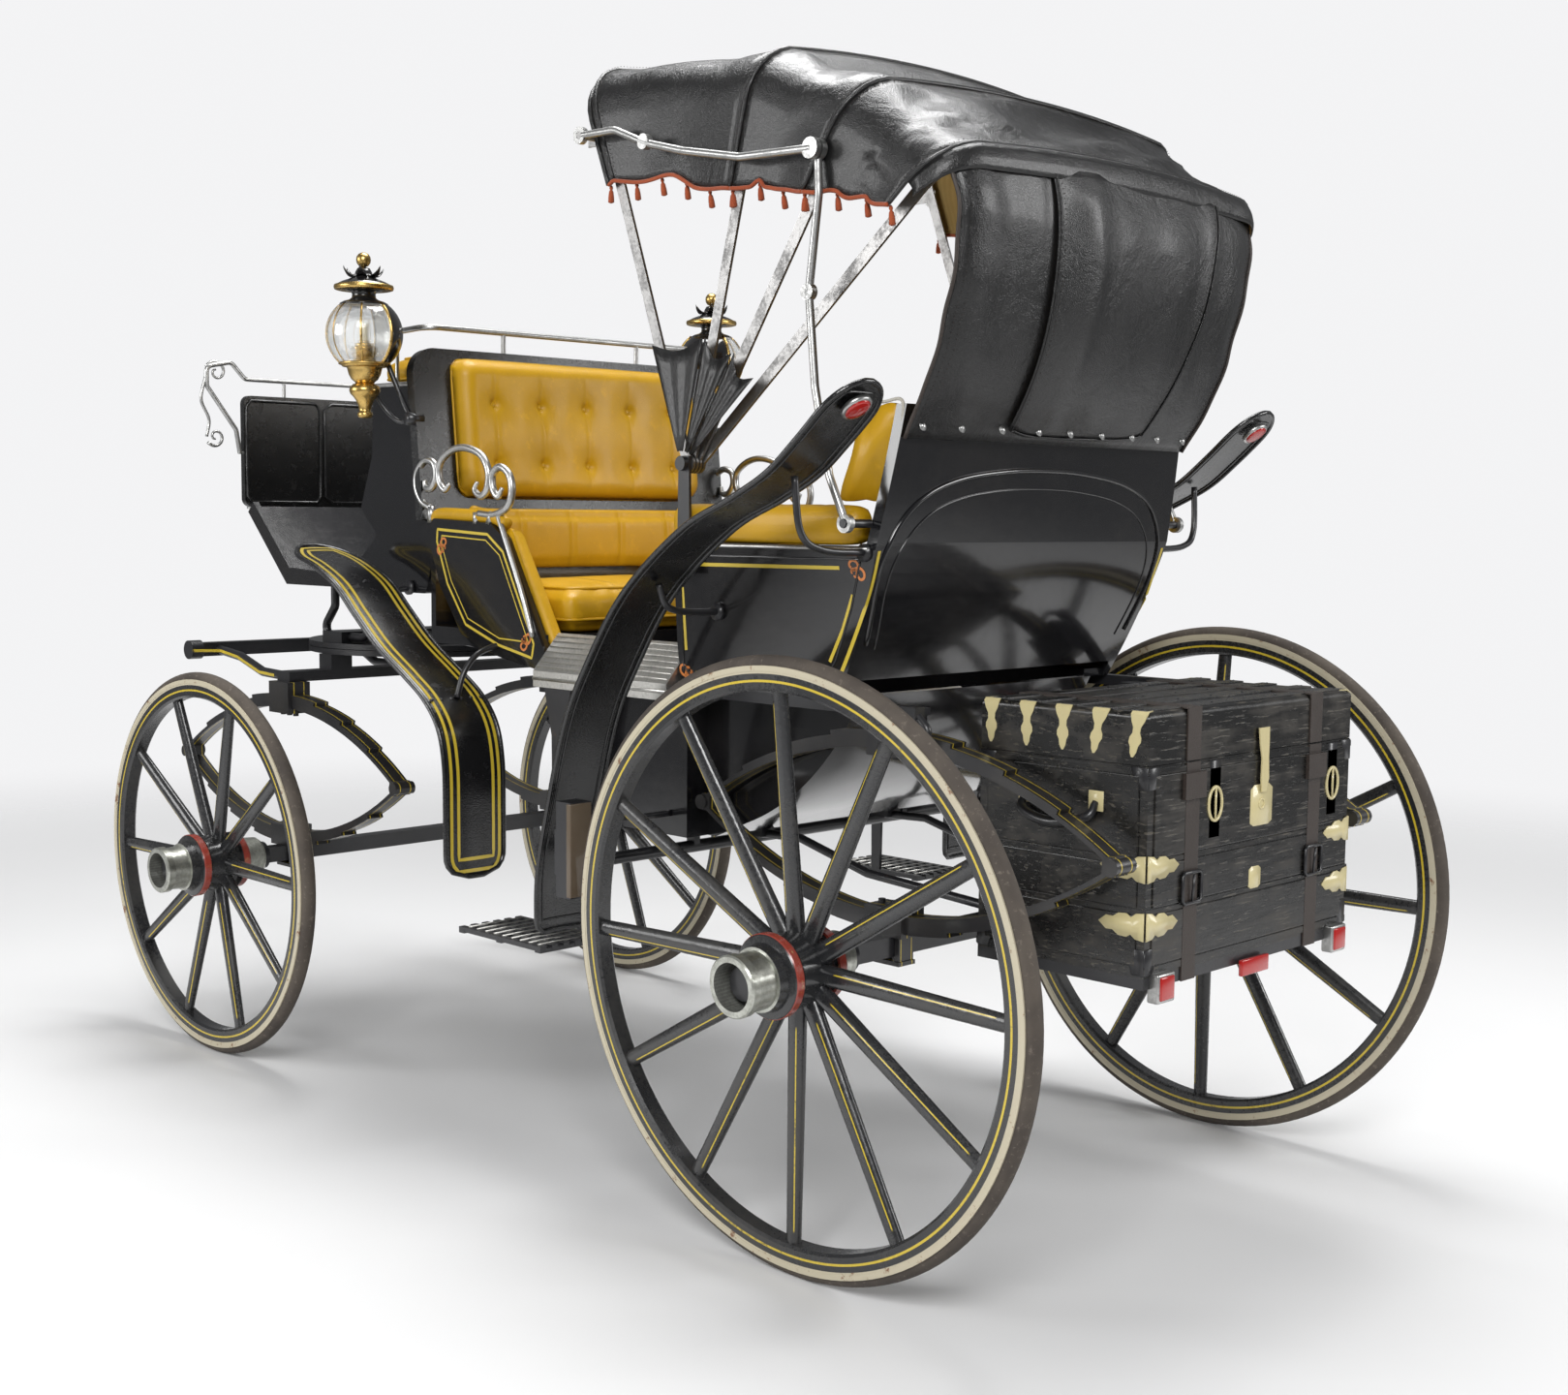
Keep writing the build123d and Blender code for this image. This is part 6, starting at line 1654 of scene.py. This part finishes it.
# fenders
fenders = {
    "rear": {
        "node": "rear_fenders", "inner": 0.56, "outer": 0.702, "tip": 0.085, "line": False, "foot": 0.03,
        "round": 0.25, "flip": 1, "joint": 0.42,
        "run": [(0.692, 0.52), (0.688, 0.64), (0.655, 0.78), (0.604, 0.945), (0.545, 1.055),
                (0.432, 1.207), (0.272, 1.33), (0.14, 1.388), (0.05, 1.432), (-0.02, 1.486),
                (-0.082, 1.54), (-0.132, 1.583)],
    },
    "front": {
        "node": "front_fenders", "inner": 0.5, "outer": 0.662, "tip": 0.1, "line": True, "foot": 0.05,
        "round": 0.75, "flip": -1, "joint": 0.37,
        "run": [(1.054, 0.572), (1.054, 0.7), (1.057, 0.815), (1.078, 0.895), (1.13, 0.955),
                (1.205, 1.002), (1.31, 1.062), (1.4, 1.13), (1.475, 1.19), (1.56, 1.23),
                (1.64, 1.254), (1.7, 1.272)],
    },
}
fenderLook = {"across": 14, "crown": 0.0045, "thick": 0.003, "edge": 0.004, "rim": 0.0055, "welt": 0.0024,
              "lines": (0.014, 0.031), "lineWidth": 0.0078}


def fenderShape(f, flip):
    # places, outward directions, half widths and lengths along a fender
    line = smoothRun([fromAxle(x, 0, z) for x, z in f["run"]], 10)
    lengths = [0.0]
    for i in range(1, len(line)):
        lengths.append(lengths[-1] + (line[i] - line[i - 1]).length)
    half = (f["outer"] - f["inner"]) / 2 - fenderLook["edge"]
    spots, widths = [], []
    for i, p in enumerate(line):
        left = lengths[-1] - lengths[i]
        share, low = 1.0, 1.0
        if left < f["tip"]:
            share = sqrt(max(0.02, 1 - ((f["tip"] - left) / f["tip"]) ** 2.2))
        if lengths[i] < f["foot"]:
            low = 1 - f["round"] * (1 - sqrt(max(0.0, 1 - (1 - lengths[i] / f["foot"]) ** 2.4)))
        widths.append(half * share * low)
        t = (line[min(len(line) - 1, i + 1)] - line[max(0, i - 1)]).normalized()
        spots.append((p, Vector((t.z, 0, -t.x)) * flip))
    return spots, widths, lengths, half


def ringAt(f, shape, side, inset, lift):
    # a loop that follows a fender's edge at an inset, with the directions of its face
    spots, widths, lengths, half = shape
    middleY = (f["inner"] + f["outer"]) / 2
    inside = [(p, n, max(0.004, w - inset)) for (p, n), w, spot in zip(spots, widths, lengths)
              if lengths[-1] - spot >= inset * 1.3 and spot >= inset * 0.9]

    def spotAt(p, n, u):
        crown = fenderLook["crown"] * (1 - (u / half) ** 2)
        return Vector((p.x, side * (middleY + u), p.z)) + n * (crown + lift), n

    ring = [spotAt(*k) for k in inside]
    p, n, u = inside[-1]
    ring += [spotAt(p, n, u * (1 - k / 3)) for k in range(1, 6)]
    ring += [spotAt(p, n, -u) for p, n, u in reversed(inside)]
    p, n, u = inside[0]
    return ring + [spotAt(p, n, u * (k / 3 - 1)) for k in range(1, 6)]


for key, f in fenders.items():
    for side, tag in bothSides:
        shape = fenderShape(f, f["flip"])
        spots, widths, lengths, half = shape
        middleY = (f["inner"] + f["outer"]) / 2
        pts = []
        for sunk in (0.0, fenderLook["thick"]):
            for (p, n), w in zip(spots, widths):
                for c in range(fenderLook["across"] + 1):
                    u = 2 * c / fenderLook["across"] - 1
                    crown = fenderLook["crown"] * (1 - u * u)
                    pts.append(Vector((p.x, side * (middleY + u * w), p.z)) + n * (crown - sunk))
        blade = piece(f"{key}Fender{tag}", pts, sheetFaces(len(spots), fenderLook["across"] + 1), "fender",
                      solid=True)
        if side > 0:
            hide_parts(f["node"])
        # a rolled rim, raised welts, and painted lines on both faces
        rimRuns = [(0.0, -0.0015, "rim")] + ([] if f["line"]
                                             else [(0.015, -0.0032, "welt"), (0.015, 0.0002, "welt")])
        rims = [tube([p for p, _ in ringAt(f, shape, side, inset, lift)], fenderLook[size], 8, closed=True)
                for inset, lift, size in rimRuns]
        piece(f"{key}FenderRim{tag}", *joined(rims), "fender")
        for k, inset in enumerate(fenderLook["lines"] if f["line"] else ()):
            stripe = ringAt(f, shape, side, inset, 0.0006)
            under = [(p - n * 0.0046, -n) for p, n in stripe]
            runs = [ribbon(run, fenderLook["lineWidth"], closed=True) for run in (stripe, under)]
            piece(f"{key}FenderLine{k + 1}{tag}", *joined(runs), "stripe", smooth=False)
        # rivets where the lap joint falls
        at = min(range(len(spots)), key=lambda i: abs(lengths[i] / lengths[-1] - f["joint"]))
        p, n = spots[at]
        path = [Vector((p.x, side * (middleY + u * (half - 0.012)), p.z)) + n * 0.004 for u in (-1, 0, 1)]
        row(f"{key}FenderRivets{tag}", path, "dome", 0.024, tuple(n), "iron", size=0.9)
# stays that hold the fenders
stays = [
    [(0.4, 0.47, 1.17), (0.4, 0.56, 1.172), (0.4, 0.612, 1.185), (0.402, 0.63, 1.226)],
    [(0.03, 0.45, 1.292), (0.032, 0.57, 1.298), (0.038, 0.62, 1.33), (0.045, 0.63, 1.428)],
    [(0.6, 0.425, 0.745), (0.6, 0.5, 0.745), (0.63, 0.56, 0.745), (0.663, 0.59, 0.745)],
    [(1.12, 0.445, 1.07), (1.12, 0.52, 1.05), (1.12, 0.56, 1.01), (1.12, 0.58, 0.955)],
    [(1.48, 0.445, 1.18), (1.48, 0.52, 1.172), (1.48, 0.57, 1.18), (1.48, 0.58, 1.199)],
]
parts = [tube(smoothRun([fromAxle(*p) for p in run], 8), 0.0068, 10) for run in stays]
parts += [tube([fromAxle(x, y, z), fromAxle(x, y + 0.008, z)], 0.017, 14)
          for x, y, z in ((0.4, 0.476, 1.17), (0.03, 0.458, 1.292), (1.12, 0.452, 1.07), (1.48, 0.452, 1.18))]
piece("fenderStays", *joined(mirrored(parts)), "iron", solid=True)
print("fenders made")

# lamps
lamp = {"x": 1.52, "y": 0.545, "z": 1.762, "globe": 0.088, "height": 0.069, "metalFrom": radians(190),
        "metalTo": radians(310), "ribs": 5, "leaves": 6}
lampForms = {
    "cap": [(2, 152), (14, 149), (19, 140), (21, 131), (33, 124.5), (50, 118), (62.5, 111.5), (63.5, 106),
            (62, 100), (45, 99.5), (30, 97), (26.5, 90), (27.5, 82), (34, 77), (46, 73.5), (54.5, 69),
            (55, 65.5), (50, 64)],
    "brim": [(62, 112), (66.5, 110.5), (68, 105.5), (66.5, 100.5), (62, 99)],
    "ball": [(4, 150), (5.5, 152), (11, 154.5), (15.5, 161), (16.7, 168), (15.5, 175), (11, 181.2),
             (4, 184.5)],
    "ring": [(47, -64), (53, -66.5), (53.5, -70.5), (50, -74.5), (40, -75.5)],
    "cup": [(44, -74), (40, -77), (38.5, -83), (36, -92.5), (30, -103), (22.5, -109), (20.5, -113.5)],
    "bulb": [(20.5, -112), (27, -114.5), (33.5, -120), (35.5, -128), (33, -136), (26, -143), (21, -150),
             (16.5, -160), (13.5, -170), (13, -176), (16.5, -178.5), (17.5, -184), (15, -189.5), (4, -191.5)],
    "saucer": [(30, -68), (30, -60), (20, -56), (17, -50), (19, -44)],
    "socket": [(18.5, -52), (19.5, -30), (21.5, -26), (21.5, -21), (11.8, -20)],
    "candle": [(10, -40), (10.2, 20), (9.5, 24.5), (4, 23.5)],
}


def onGlobe(heart, side, turn, height, lift=0.0):
    wide = lamp["globe"] * sqrt(max(0.0, 1 - (height / lamp["height"] * 0.8) ** 2)) + lift
    return heart + Vector((cos(turn) * wide, side * sin(turn) * wide, height))


def globeShell(heart, side, first, last, steps, lift, thick):
    # a part of the globe between two turns, as a thin closed shell
    pts = []
    for out in (lift, lift - thick):
        for i in range(19):
            for k in range(steps + 1):
                turn = first + (last - first) * k / steps
                pts.append(onGlobe(heart, side, turn, lamp["height"] * (i / 9 - 1), out))
    return pts, sheetFaces(19, steps + 1)


def curledLeaf(heart, a, steps=9):
    # a thin leaf that leans out over the brim
    along = Vector((cos(a), sin(a), 0))
    across = Vector((-sin(a), cos(a), 0))
    leaf = []
    for i in range(steps):
        t = i / (steps - 1)
        rise = 0.141 - 0.008 * sin(pi * t) + 0.012 * t ** 3
        half = 0.0125 * sin(pi * (0.16 + 0.82 * t)) ** 0.9
        for u in (-1, -0.5, 0, 0.5, 1):
            leaf.append(heart + along * (0.01 + 0.038 * t) + across * half * u
                        + Vector((0, 0, rise - 0.004 * u * u)))
    return leaf + [p - Vector((0, 0, 0.0016)) for p in leaf], sheetFaces(steps, 5)


glassFrom, glassTo = lamp["metalTo"] - 2 * pi, lamp["metalFrom"]
for side, tag in bothSides:
    heart = fromAxle(lamp["x"], side * lamp["y"], lamp["z"])
    black = [turned(heart, lampForms["cap"], 40),
             globeShell(heart, side, lamp["metalFrom"], lamp["metalTo"], 20, 0.0, 0.003)]
    gilt = [turned(heart, lampForms[key], 36) for key in ("brim", "ball", "ring", "cup", "bulb")]
    black += [curledLeaf(heart, 2 * pi * k / lamp["leaves"] + 0.3) for k in range(lamp["leaves"])]
    # upright ribs over the glass, stouter where glass and metal meet
    for k in range(lamp["ribs"] + 1):
        turn = glassFrom + (glassTo - glassFrom) * k / lamp["ribs"]
        ends = k in (0, lamp["ribs"])
        lift, size = (0.0008, 0.0034) if ends else (-0.0022, 0.0026)
        line = [onGlobe(heart, side, turn, lamp["height"] * (i / 8 - 1), lift) for i in range(17)]
        gilt.append(tube(line, size, 8, flat=0.6))
    foot = [onGlobe(heart, side, 2 * pi * i / 40, -lamp["height"] * 0.97, 0.001) for i in range(40)]
    gilt.append(tube(foot, 0.003, 8, closed=True))
    bracket = [tube(smoothRun(sideRun(side, (1.5, 0.497, 1.7), (1.478, 0.484, 1.64),
                                      (1.452, 0.478, 1.592), (1.431, 0.478, 1.572)), 8), 0.0062, 10),
               tube(smoothRun(sideRun(side, (1.52, 0.53, 1.65), (1.505, 0.505, 1.598),
                                      (1.474, 0.486, 1.566), (1.431, 0.48, 1.566)), 8), 0.0056, 10),
               tube(sideRun(side, (1.431, 0.452, 1.57), (1.431, 0.492, 1.57)), 0.015, 16)]
    piece(f"lampBrass{tag}", *joined(gilt), "gilt", solid=True)
    shell = piece(f"lampBody{tag}", *joined(black), "blackEnamel", solid=True)
    pane = piece(f"lampPane{tag}", *globeShell(heart, side, glassFrom, glassTo, 44, -0.0004, 0.0018), "glass",
                 solid=True)
    piece(f"lampBracket{tag}", *joined(bracket), "iron", solid=True)
    if side > 0:
        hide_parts("lamps")
        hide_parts("lamp_glass")
    # inside: a bright lining on the metal part, a candle cup and a candle with its wick
    glow, glowFaces = [], []
    for i in range(13):
        for k in range(15):
            turn = lamp["metalFrom"] + (lamp["metalTo"] - lamp["metalFrom"]) * (0.02 + 0.96 * k / 14)
            glow.append(onGlobe(heart, side, turn, lamp["height"] * 0.95 * (i / 6 - 1), -0.0036))
    for i in range(12):
        for k in range(14):
            q = i * 15 + k
            glowFaces.append((q, q + 1, q + 16, q + 15))
    piece(f"lampReflector{tag}", glow, glowFaces, "silver", slot="lamp_metal")
    piece(f"candleCup{tag}", *joined([turned(heart, lampForms[key], 24) for key in ("saucer", "socket")]),
          "gilt", solid=True)
    wick = [heart + Vector(p) for p in ((0, 0, 0.022), (0.0008, 0, 0.028), (0.0022, 0, 0.033))]
    piece(f"candle{tag}", *joined([turned(heart, lampForms["candle"], 20), tube(wick, 0.0009, 6)]), "candle",
          solid=True)
print("lamps trimmed")

# trunk
trunk = {
    "back": -0.512, "front": -0.15, "half": 0.337,
    "clasps": (-0.172, -0.252, -0.331, -0.41, -0.49),
    "bands": ((0.777, 0.008), (0.692, 0.008), (0.932, 0.01), (0.59, 0.012)),  # heights and widths
    "boards": ((0.598, 0.686), (0.698, 0.771), (0.783, 0.926)),
    "corner": [(0.0, -1.0), (0.0, 1.0), (0.016, 0.92), (0.026, 0.62), (0.036, 0.84), (0.052, 0.8),
               (0.064, 0.48), (0.078, 0.5), (0.094, 0.0), (0.078, -0.5), (0.064, -0.48), (0.052, -0.8),
               (0.036, -0.84), (0.026, -0.62), (0.016, -0.92)],
    "lock": [(-0.056, 0.812), (-0.044, 0.806), (0.006, 0.806), (0.018, 0.812), (0.018, 0.874), (0.006, 0.882),
             (-0.044, 0.882), (-0.056, 0.874)],
    "catch": [(-0.024, 0.697), (-0.016, 0.692), (0.008, 0.692), (0.016, 0.697), (0.016, 0.728),
              (0.008, 0.733), (-0.016, 0.733), (-0.024, 0.728)],
    "hasp": [(-0.515, 0.985), (-0.5165, 0.955), (-0.5185, 0.93), (-0.519, 0.892), (-0.5175, 0.868)],
    "buckle": [(-1, 0.7), (-1, 0.742), (-0.8, 0.748), (0.8, 0.748), (1, 0.742), (1, 0.7), (0.8, 0.694),
               (-0.8, 0.694)],
}


def plateOn(points, normal, thick, bevel=0.0012):
    # a thin shaped plate: its outline lies on a face and it stands out along the normal
    n = Vector(normal).normalized()
    ring = [Vector(p) for p in points]
    centre = sum(ring, Vector()) / len(ring)
    layers = [(1.0, 0.0), (1.0, thick - bevel), (1.0 - bevel / max(0.006, (ring[0] - centre).length), thick)]
    pts = []
    for scale, lift in layers:
        pts += [centre + (p - centre) * scale + n * lift for p in ring]
    return pts, ringFaces(len(layers), len(ring))


def strapRun(points, wide, across, thick):
    # a flat strip bent along points, with its width along one direction
    pts = []
    run = [Vector(p) for p in points]
    side = Vector(across).normalized()
    for i, p in enumerate(run):
        a, b = run[max(0, i - 1)], run[min(len(run) - 1, i + 1)]
        n = side.cross((b - a).normalized()).normalized()
        w = wide[i] if isinstance(wide, (list, tuple)) else wide
        pts += [p - side * w / 2, p + side * w / 2, p + side * w / 2 + n * thick,
                p - side * w / 2 + n * thick]
    return pts, ringFaces(len(run), 4)


brassBits, lidBits, blackBits, rivetRuns = [], [], [], []
# waisted clasps that grip the lid's end edges
for side in (1, -1):
    for k, x in enumerate(trunk["clasps"]):
        y = side * (trunk["half"] + 0.0006)
        lean = 0.012 if k > 2 else 0.0
        path = [fromAxle(x, side * (trunk["half"] - back), z)
                for back, z in ((0.04, 1.0358), (0.02, 1.0358), (0.004, 1.0352))]
        wides = [0.012, 0.024, 0.034]
        for z, wide in ((1.03, 0.034), (1.018, 0.027), (1.008, 0.016), (0.998, 0.015), (0.99, 0.024),
                        (0.982, 0.025), (0.974, 0.016), (0.964, 0.013), (0.956, 0.004)):
            path.append(fromAxle(x + lean * (1.03 - z) / 0.07, y, z))
            wides.append(wide)
        lidBits.append(strapRun(path, wides, (1, 0, 0), 0.002 * -side))
# banded planks: raised strips round the box, corner plates, lock plates
bands = []
lowX, highX, half = trunk["back"] - 0.0022, trunk["front"] + 0.0022, trunk["half"] + 0.0022
corners = [(lowX, -half), (highX, -half), (highX, half), (lowX, half)]
for z, high in trunk["bands"]:
    pts = []
    for x, y in corners:
        inX, inY = (0.0026 if x < -0.3 else -0.0026), (0.0026 if y < 0 else -0.0026)
        for dx, dz in ((0.0, -high / 2), (0.0, high / 2), (1.0, high / 2), (1.0, -high / 2)):
            pts.append(fromAxle(x + inX * dx, y + inY * dx, z + dz))
    bands.append((pts, ringFaces(4, 4, closed=True)))
for low, high in trunk["boards"]:
    middle, tall = (low + high) / 2, (high - low) / 2
    bands.append(roundedCase(fromAxle(trunk["back"] - 0.0002, 0, middle), (0.0024, 0.318, tall), 0.0022))
    for side in (1, -1):
        bands.append(roundedCase(fromAxle(-0.331, side * (trunk["half"] + 0.0002), middle),
                                 (0.164, 0.0024, tall), 0.0022))
piece("trunkBands", *joined(bands), "trunkHide", solid=True, smooth=False)
backX = trunk["back"] - 0.0004
for side in (1, -1):
    for low, high in ((0.743, 0.79), (0.643, 0.692)):
        y0 = trunk["half"] + 0.0004
        middle, tall = (low + high) / 2, (high - low) / 2
        onEnd = [fromAxle(backX - 0.0022, side * (y0 - w), middle + h * tall) for w, h in trunk["corner"]]
        onFlank = [fromAxle(backX + w, side * (y0 + 0.0022), middle + h * tall) for w, h in trunk["corner"]]
        brassBits += [plateOn(onEnd, (-1, 0, 0), 0.0022), plateOn(onFlank, (0, side, 0), 0.0022)]
        rivetRuns.append([fromAxle(backX - 0.002, side * (y0 - 0.012 - 0.022 * i), middle)
                          for i in range(4)])
    for low, high, wide in ((0.582, 0.628, 0.04), (0.902, 0.94, 0.036)):
        y0 = trunk["half"] + 0.0006
        for x, flip in ((trunk["back"], 1), (trunk["front"], -1)):
            edge = [(0, low), (0, high), (wide, high), (wide * 0.6, low)]
            onEnd = [fromAxle(x - flip * 0.0006, side * (y0 - w), z) for w, z in edge]
            onFlank = [fromAxle(x + flip * (w if w else -0.0006), side * y0, z) for w, z in edge]
            blackBits += [plateOn(onEnd, (-flip, 0, 0), 0.0018), plateOn(onFlank, (0, side, 0), 0.0018)]
# lock plates with their hasp, and two oval buckles
for key in ("lock", "catch"):
    brassBits.append(plateOn([fromAxle(backX, y, z) for y, z in trunk[key]], (-1, 0, 0), 0.003))
brassBits.append(tube([fromAxle(backX - 0.003, -0.019 + 0.009 * cos(a), 0.846 + 0.009 * sin(a))
                       for a in [2 * pi * i / 18 for i in range(18)]], 0.0022, 6, closed=True))
lidBits.append(strapRun([fromAxle(x, -0.019, z) for x, z in trunk["hasp"]],
                        [0.034, 0.03, 0.022, 0.026, 0.014], (0, 1, 0), 0.0026))
for y in (0.135, -0.27):
    ring = [fromAxle(backX - 0.003, y + 0.021 * cos(a), 0.861 + 0.03 * sin(a))
            for a in [2 * pi * i / 28 for i in range(28)]]
    brassBits.append(tube(ring, 0.003, 8, closed=True))
    brassBits.append(tube([fromAxle(backX - 0.004, y, 0.833), fromAxle(backX - 0.004, y, 0.89)], 0.0022,
                          8))
    tongue = ((-0.017, 0.8), (0.017, 0.8), (0.017, 0.938), (-0.017, 0.938))
    blackBits.append(plateOn([fromAxle(backX, y + dy, z) for dy, z in tongue], (-1, 0, 0), 0.0022))
# end handles: a leather grip in two staples
for side in (1, -1):
    y = side * (trunk["half"] + 0.003)
    grip = smoothRun([fromAxle(x, y + side * out, z) for x, out, z in (
        (-0.255, 0, 0.872), (-0.262, 0.018, 0.846), (-0.331, 0.03, 0.832), (-0.4, 0.018, 0.846),
        (-0.407, 0, 0.872))], 8)
    radii = [0.006 + 0.004 * sin(pi * i / (len(grip) - 1)) for i in range(len(grip))]
    blackBits.append(tube(grip, radii, 10))
    for x in (-0.255, -0.407):
        staple = [fromAxle(x + dx, side * (trunk["half"] + 0.0005), z)
                  for dx, z in ((-0.016, 0.856), (0.016, 0.856), (0.016, 0.892), (-0.016, 0.892))]
        brassBits.append(plateOn(staple, (0, side, 0), 0.003))
piece("lidClasps", *joined(lidBits), "brassWorn", "lid", solid=True, smooth=False)
piece("trunkPlates", *joined(brassBits), "brassWorn", solid=True)
piece("trunkCorners", *joined(blackBits), "iron", solid=True)
for i, run in enumerate(rivetRuns):
    row(f"trunkStuds{i + 1}", run, "dome", 0.021, (-1, 0, 0), "brassWorn", size=0.55)
# strap buckles on the box
buckles = []
for y in (0.205, -0.205):
    ring = [fromAxle(trunk["back"] - 0.0062, y + share * 0.029, z) for share, z in trunk["buckle"]]
    buckles.append(tube(ring, 0.0034, 8, closed=True))
    buckles.append(tube([fromAxle(trunk["back"] - 0.0068, y, 0.697),
                         fromAxle(trunk["back"] - 0.0105, y, 0.744)], 0.0024, 8))
piece("strapBuckles", *joined(buckles), "iron")
print("trunk trimmed")

# reflectors
reflector = {
    "rim": [(20, 0), (28.5, 3), (29, 9), (27, 12), (24.5, 12.2)],
    "lens": [(24, 10), (23.8, 13.5), (19, 15.5), (10, 16.8), (2, 17.2)],
}
rims, lenses, housings = [], [], []
for side in (1, -1):
    heart = fromAxle(-0.098, side * 0.631, 1.548)
    aim = Vector((-0.62, 0, -0.785)).normalized()
    upward = aim.orthogonal().normalized()
    axes = (upward, aim.cross(upward), aim)
    rims.append(turned(heart, reflector["rim"], 28, axes))
    lenses.append(turned(heart, reflector["lens"], 28, axes))
for y in (0.292, -0.292):
    housings.append(roundedCase(fromAxle(-0.518, y, 0.559), (0.012, 0.026, 0.026), 0.005))
    lenses.append(roundedCase(fromAxle(-0.525, y, 0.559), (0.008, 0.021, 0.021), 0.004))
lenses.append(roundedCase(fromAxle(-0.5215, 0.0, 0.552), (0.0045, 0.045, 0.015), 0.003))
piece("reflectorRims", *joined(rims), "silver", solid=True)
piece("reflectorCases", *joined(housings), "silver", solid=True)
lensPiece = piece("reflectorLenses", *joined(lenses), "red", solid=True)
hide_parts("reflectors")
print("reflectors made")

# sill treads, dash edges, seat band
ribs = []
for side in (1, -1):
    for i in range(7):
        t = (i + 0.7) / 7.4
        y, z = 0.439 + (0.508 - 0.439) * t, 1.1 + (1.022 - 1.1) * t
        n = Vector((0, side * 0.749, 0.663))
        ribs.append(tube([fromAxle(x, side * y, z) + n * 0.0008 for x in (0.52, 0.73, 0.94)], 0.0024, 8,
                         flat=0.7))
    ribs.append(tube(sideRun(side, (0.518, 0.509, 1.006), (0.942, 0.509, 1.006)), 0.004, 8))
piece("sillRibs", *joined(ribs), "tread")
stepRibs = []
for side in (1, -1):
    for i in range(9):
        x = 0.742 + 0.0295 * i
        stepRibs.append(tube(sideRun(side, (x, 0.512, 0.4806), (x, 0.655, 0.4806)), 0.0022, 6, flat=0.8))
piece("stepRibs", *joined(stepRibs), "tread")
band = []
for side in (1, -1):
    band.append(tube(smoothRun(sideRun(side, (1.462, 0.454, 1.653), (1.55, 0.455, 1.653),
                                       (1.66, 0.454, 1.653)), 4), 0.005, 8))
for x in (1.459, 1.6655):
    band.append(tube([fromAxle(x, y, 1.653) for y in (-0.452, -0.2, 0.0, 0.2, 0.452)], 0.005, 8))
piece("driverSeatBand", *joined(band), "silver")
dashEdges = []
for y0, y1 in ((-0.418, -0.197), (-0.183, 0.183), (0.197, 0.418)):
    for x in (2.2695, 2.2905):
        ring = [fromAxle(x, y, z) for y, z in ((y0, 1.378), (y1, 1.378), (y1, 1.642), (y0, 1.642))]
        loop = []
        for i in range(4):
            a, b = ring[i], ring[(i + 1) % 4]
            loop += [a.lerp(b, t) for t in (0.06, 0.35, 0.65, 0.94)]
        dashEdges.append(tube(loop, 0.0042, 8, closed=True))
piece("dashWelts", *joined(dashEdges), "patent")
piece("dashFootLine", *tube([fromAxle(2.269, y, 1.3625) for y in (-0.42, -0.2, 0.0, 0.2, 0.42)], 0.003, 8),
      "silver")
dashScrolls = []
for side in (1, -1):
    for centreY, centreZ, size, start, hand in ((0.497, 1.712, 0.03, 0.4, 1),
                                                (0.502, 1.545, 0.026, -0.6, -1)):
        turnRun = scrollRun((centreY, centreZ), size, 1.15, start, hand, 26)
        line = [fromAxle(2.281, side * y, z) for y, z in turnRun]
        dashScrolls.append(tube(line, [0.0046 - 0.0018 * i / 25 for i in range(26)], 8))
    middle = smoothRun(sideRun(side, (2.281, 0.527, 1.7), (2.281, 0.541, 1.64), (2.281, 0.52, 1.59),
                               (2.281, 0.527, 1.545)), 8)
    dashScrolls.append(tube(middle, 0.0042, 8))
piece("dashScrolls", *joined(dashScrolls), "silver")
linings = [roundedCase(fromAxle(0.5815, y, 0.7), (0.007, 0.027, 0.093), 0.003) for y in (0.678, -0.678)]
piece("brakeLinings", *joined(linings), "wornWood", solid=True)
slatPlaces = (-0.186, -0.262, -0.338, -0.414, -0.484)
slats = [roundedCase(fromAxle(x, 0.0, 1.0347), (0.0165, 0.331, 0.002), 0.0012) for x in slatPlaces]
piece("lidSlats", *joined(slats), "trunkHide", "lid", solid=True, smooth=False)
for i, x in enumerate(slatPlaces):
    nails = [fromAxle(x, y, 1.0366) for y in (-0.32, -0.16, 0.0, 0.16, 0.32)]
    row(f"lidNails{i + 1}", nails, "dome", 0.106, (0, 0, 1), "iron", "lid", size=0.5)
print("treads and dash trimmed")

# bolts of the running gear, over the rear springs
nuts = [(dx, y) for y in (0.4, -0.4) for dx in (-0.03, 0.03)]
for i, (dx, y) in enumerate(nuts):
    pair = [fromAxle(dx, y - 0.02, 0.9805), fromAxle(dx, y + 0.02, 0.9805)]
    row(f"springNuts{i + 1}", pair, "bolt", 0.04, (0, 0, 1), "iron")
print("running gear bolted")

# painted lines along the swan necks
swanNeck = {"from": 0.045, "low": (0.12, 0.938), "high": (0.23, 0.971), "to": 0.334, "foot": 0.934,
            "tip": 0.9842, "width": 0.0075}
neckRun = [(swanNeck["from"], swanNeck["foot"]), swanNeck["low"], swanNeck["high"],
           (swanNeck["to"], swanNeck["tip"])]
for side, tag in bothSides:
    found = onSide("spring_bar", [(layout["wheelbase"] + x, z) for x, z in neckRun], side, 0.0006,
                   straight=True)
    paintLine(f"swanNeckLine{tag}", found, swanNeck["width"], "stripe", "fore_carriage", "black_iron")

# the end
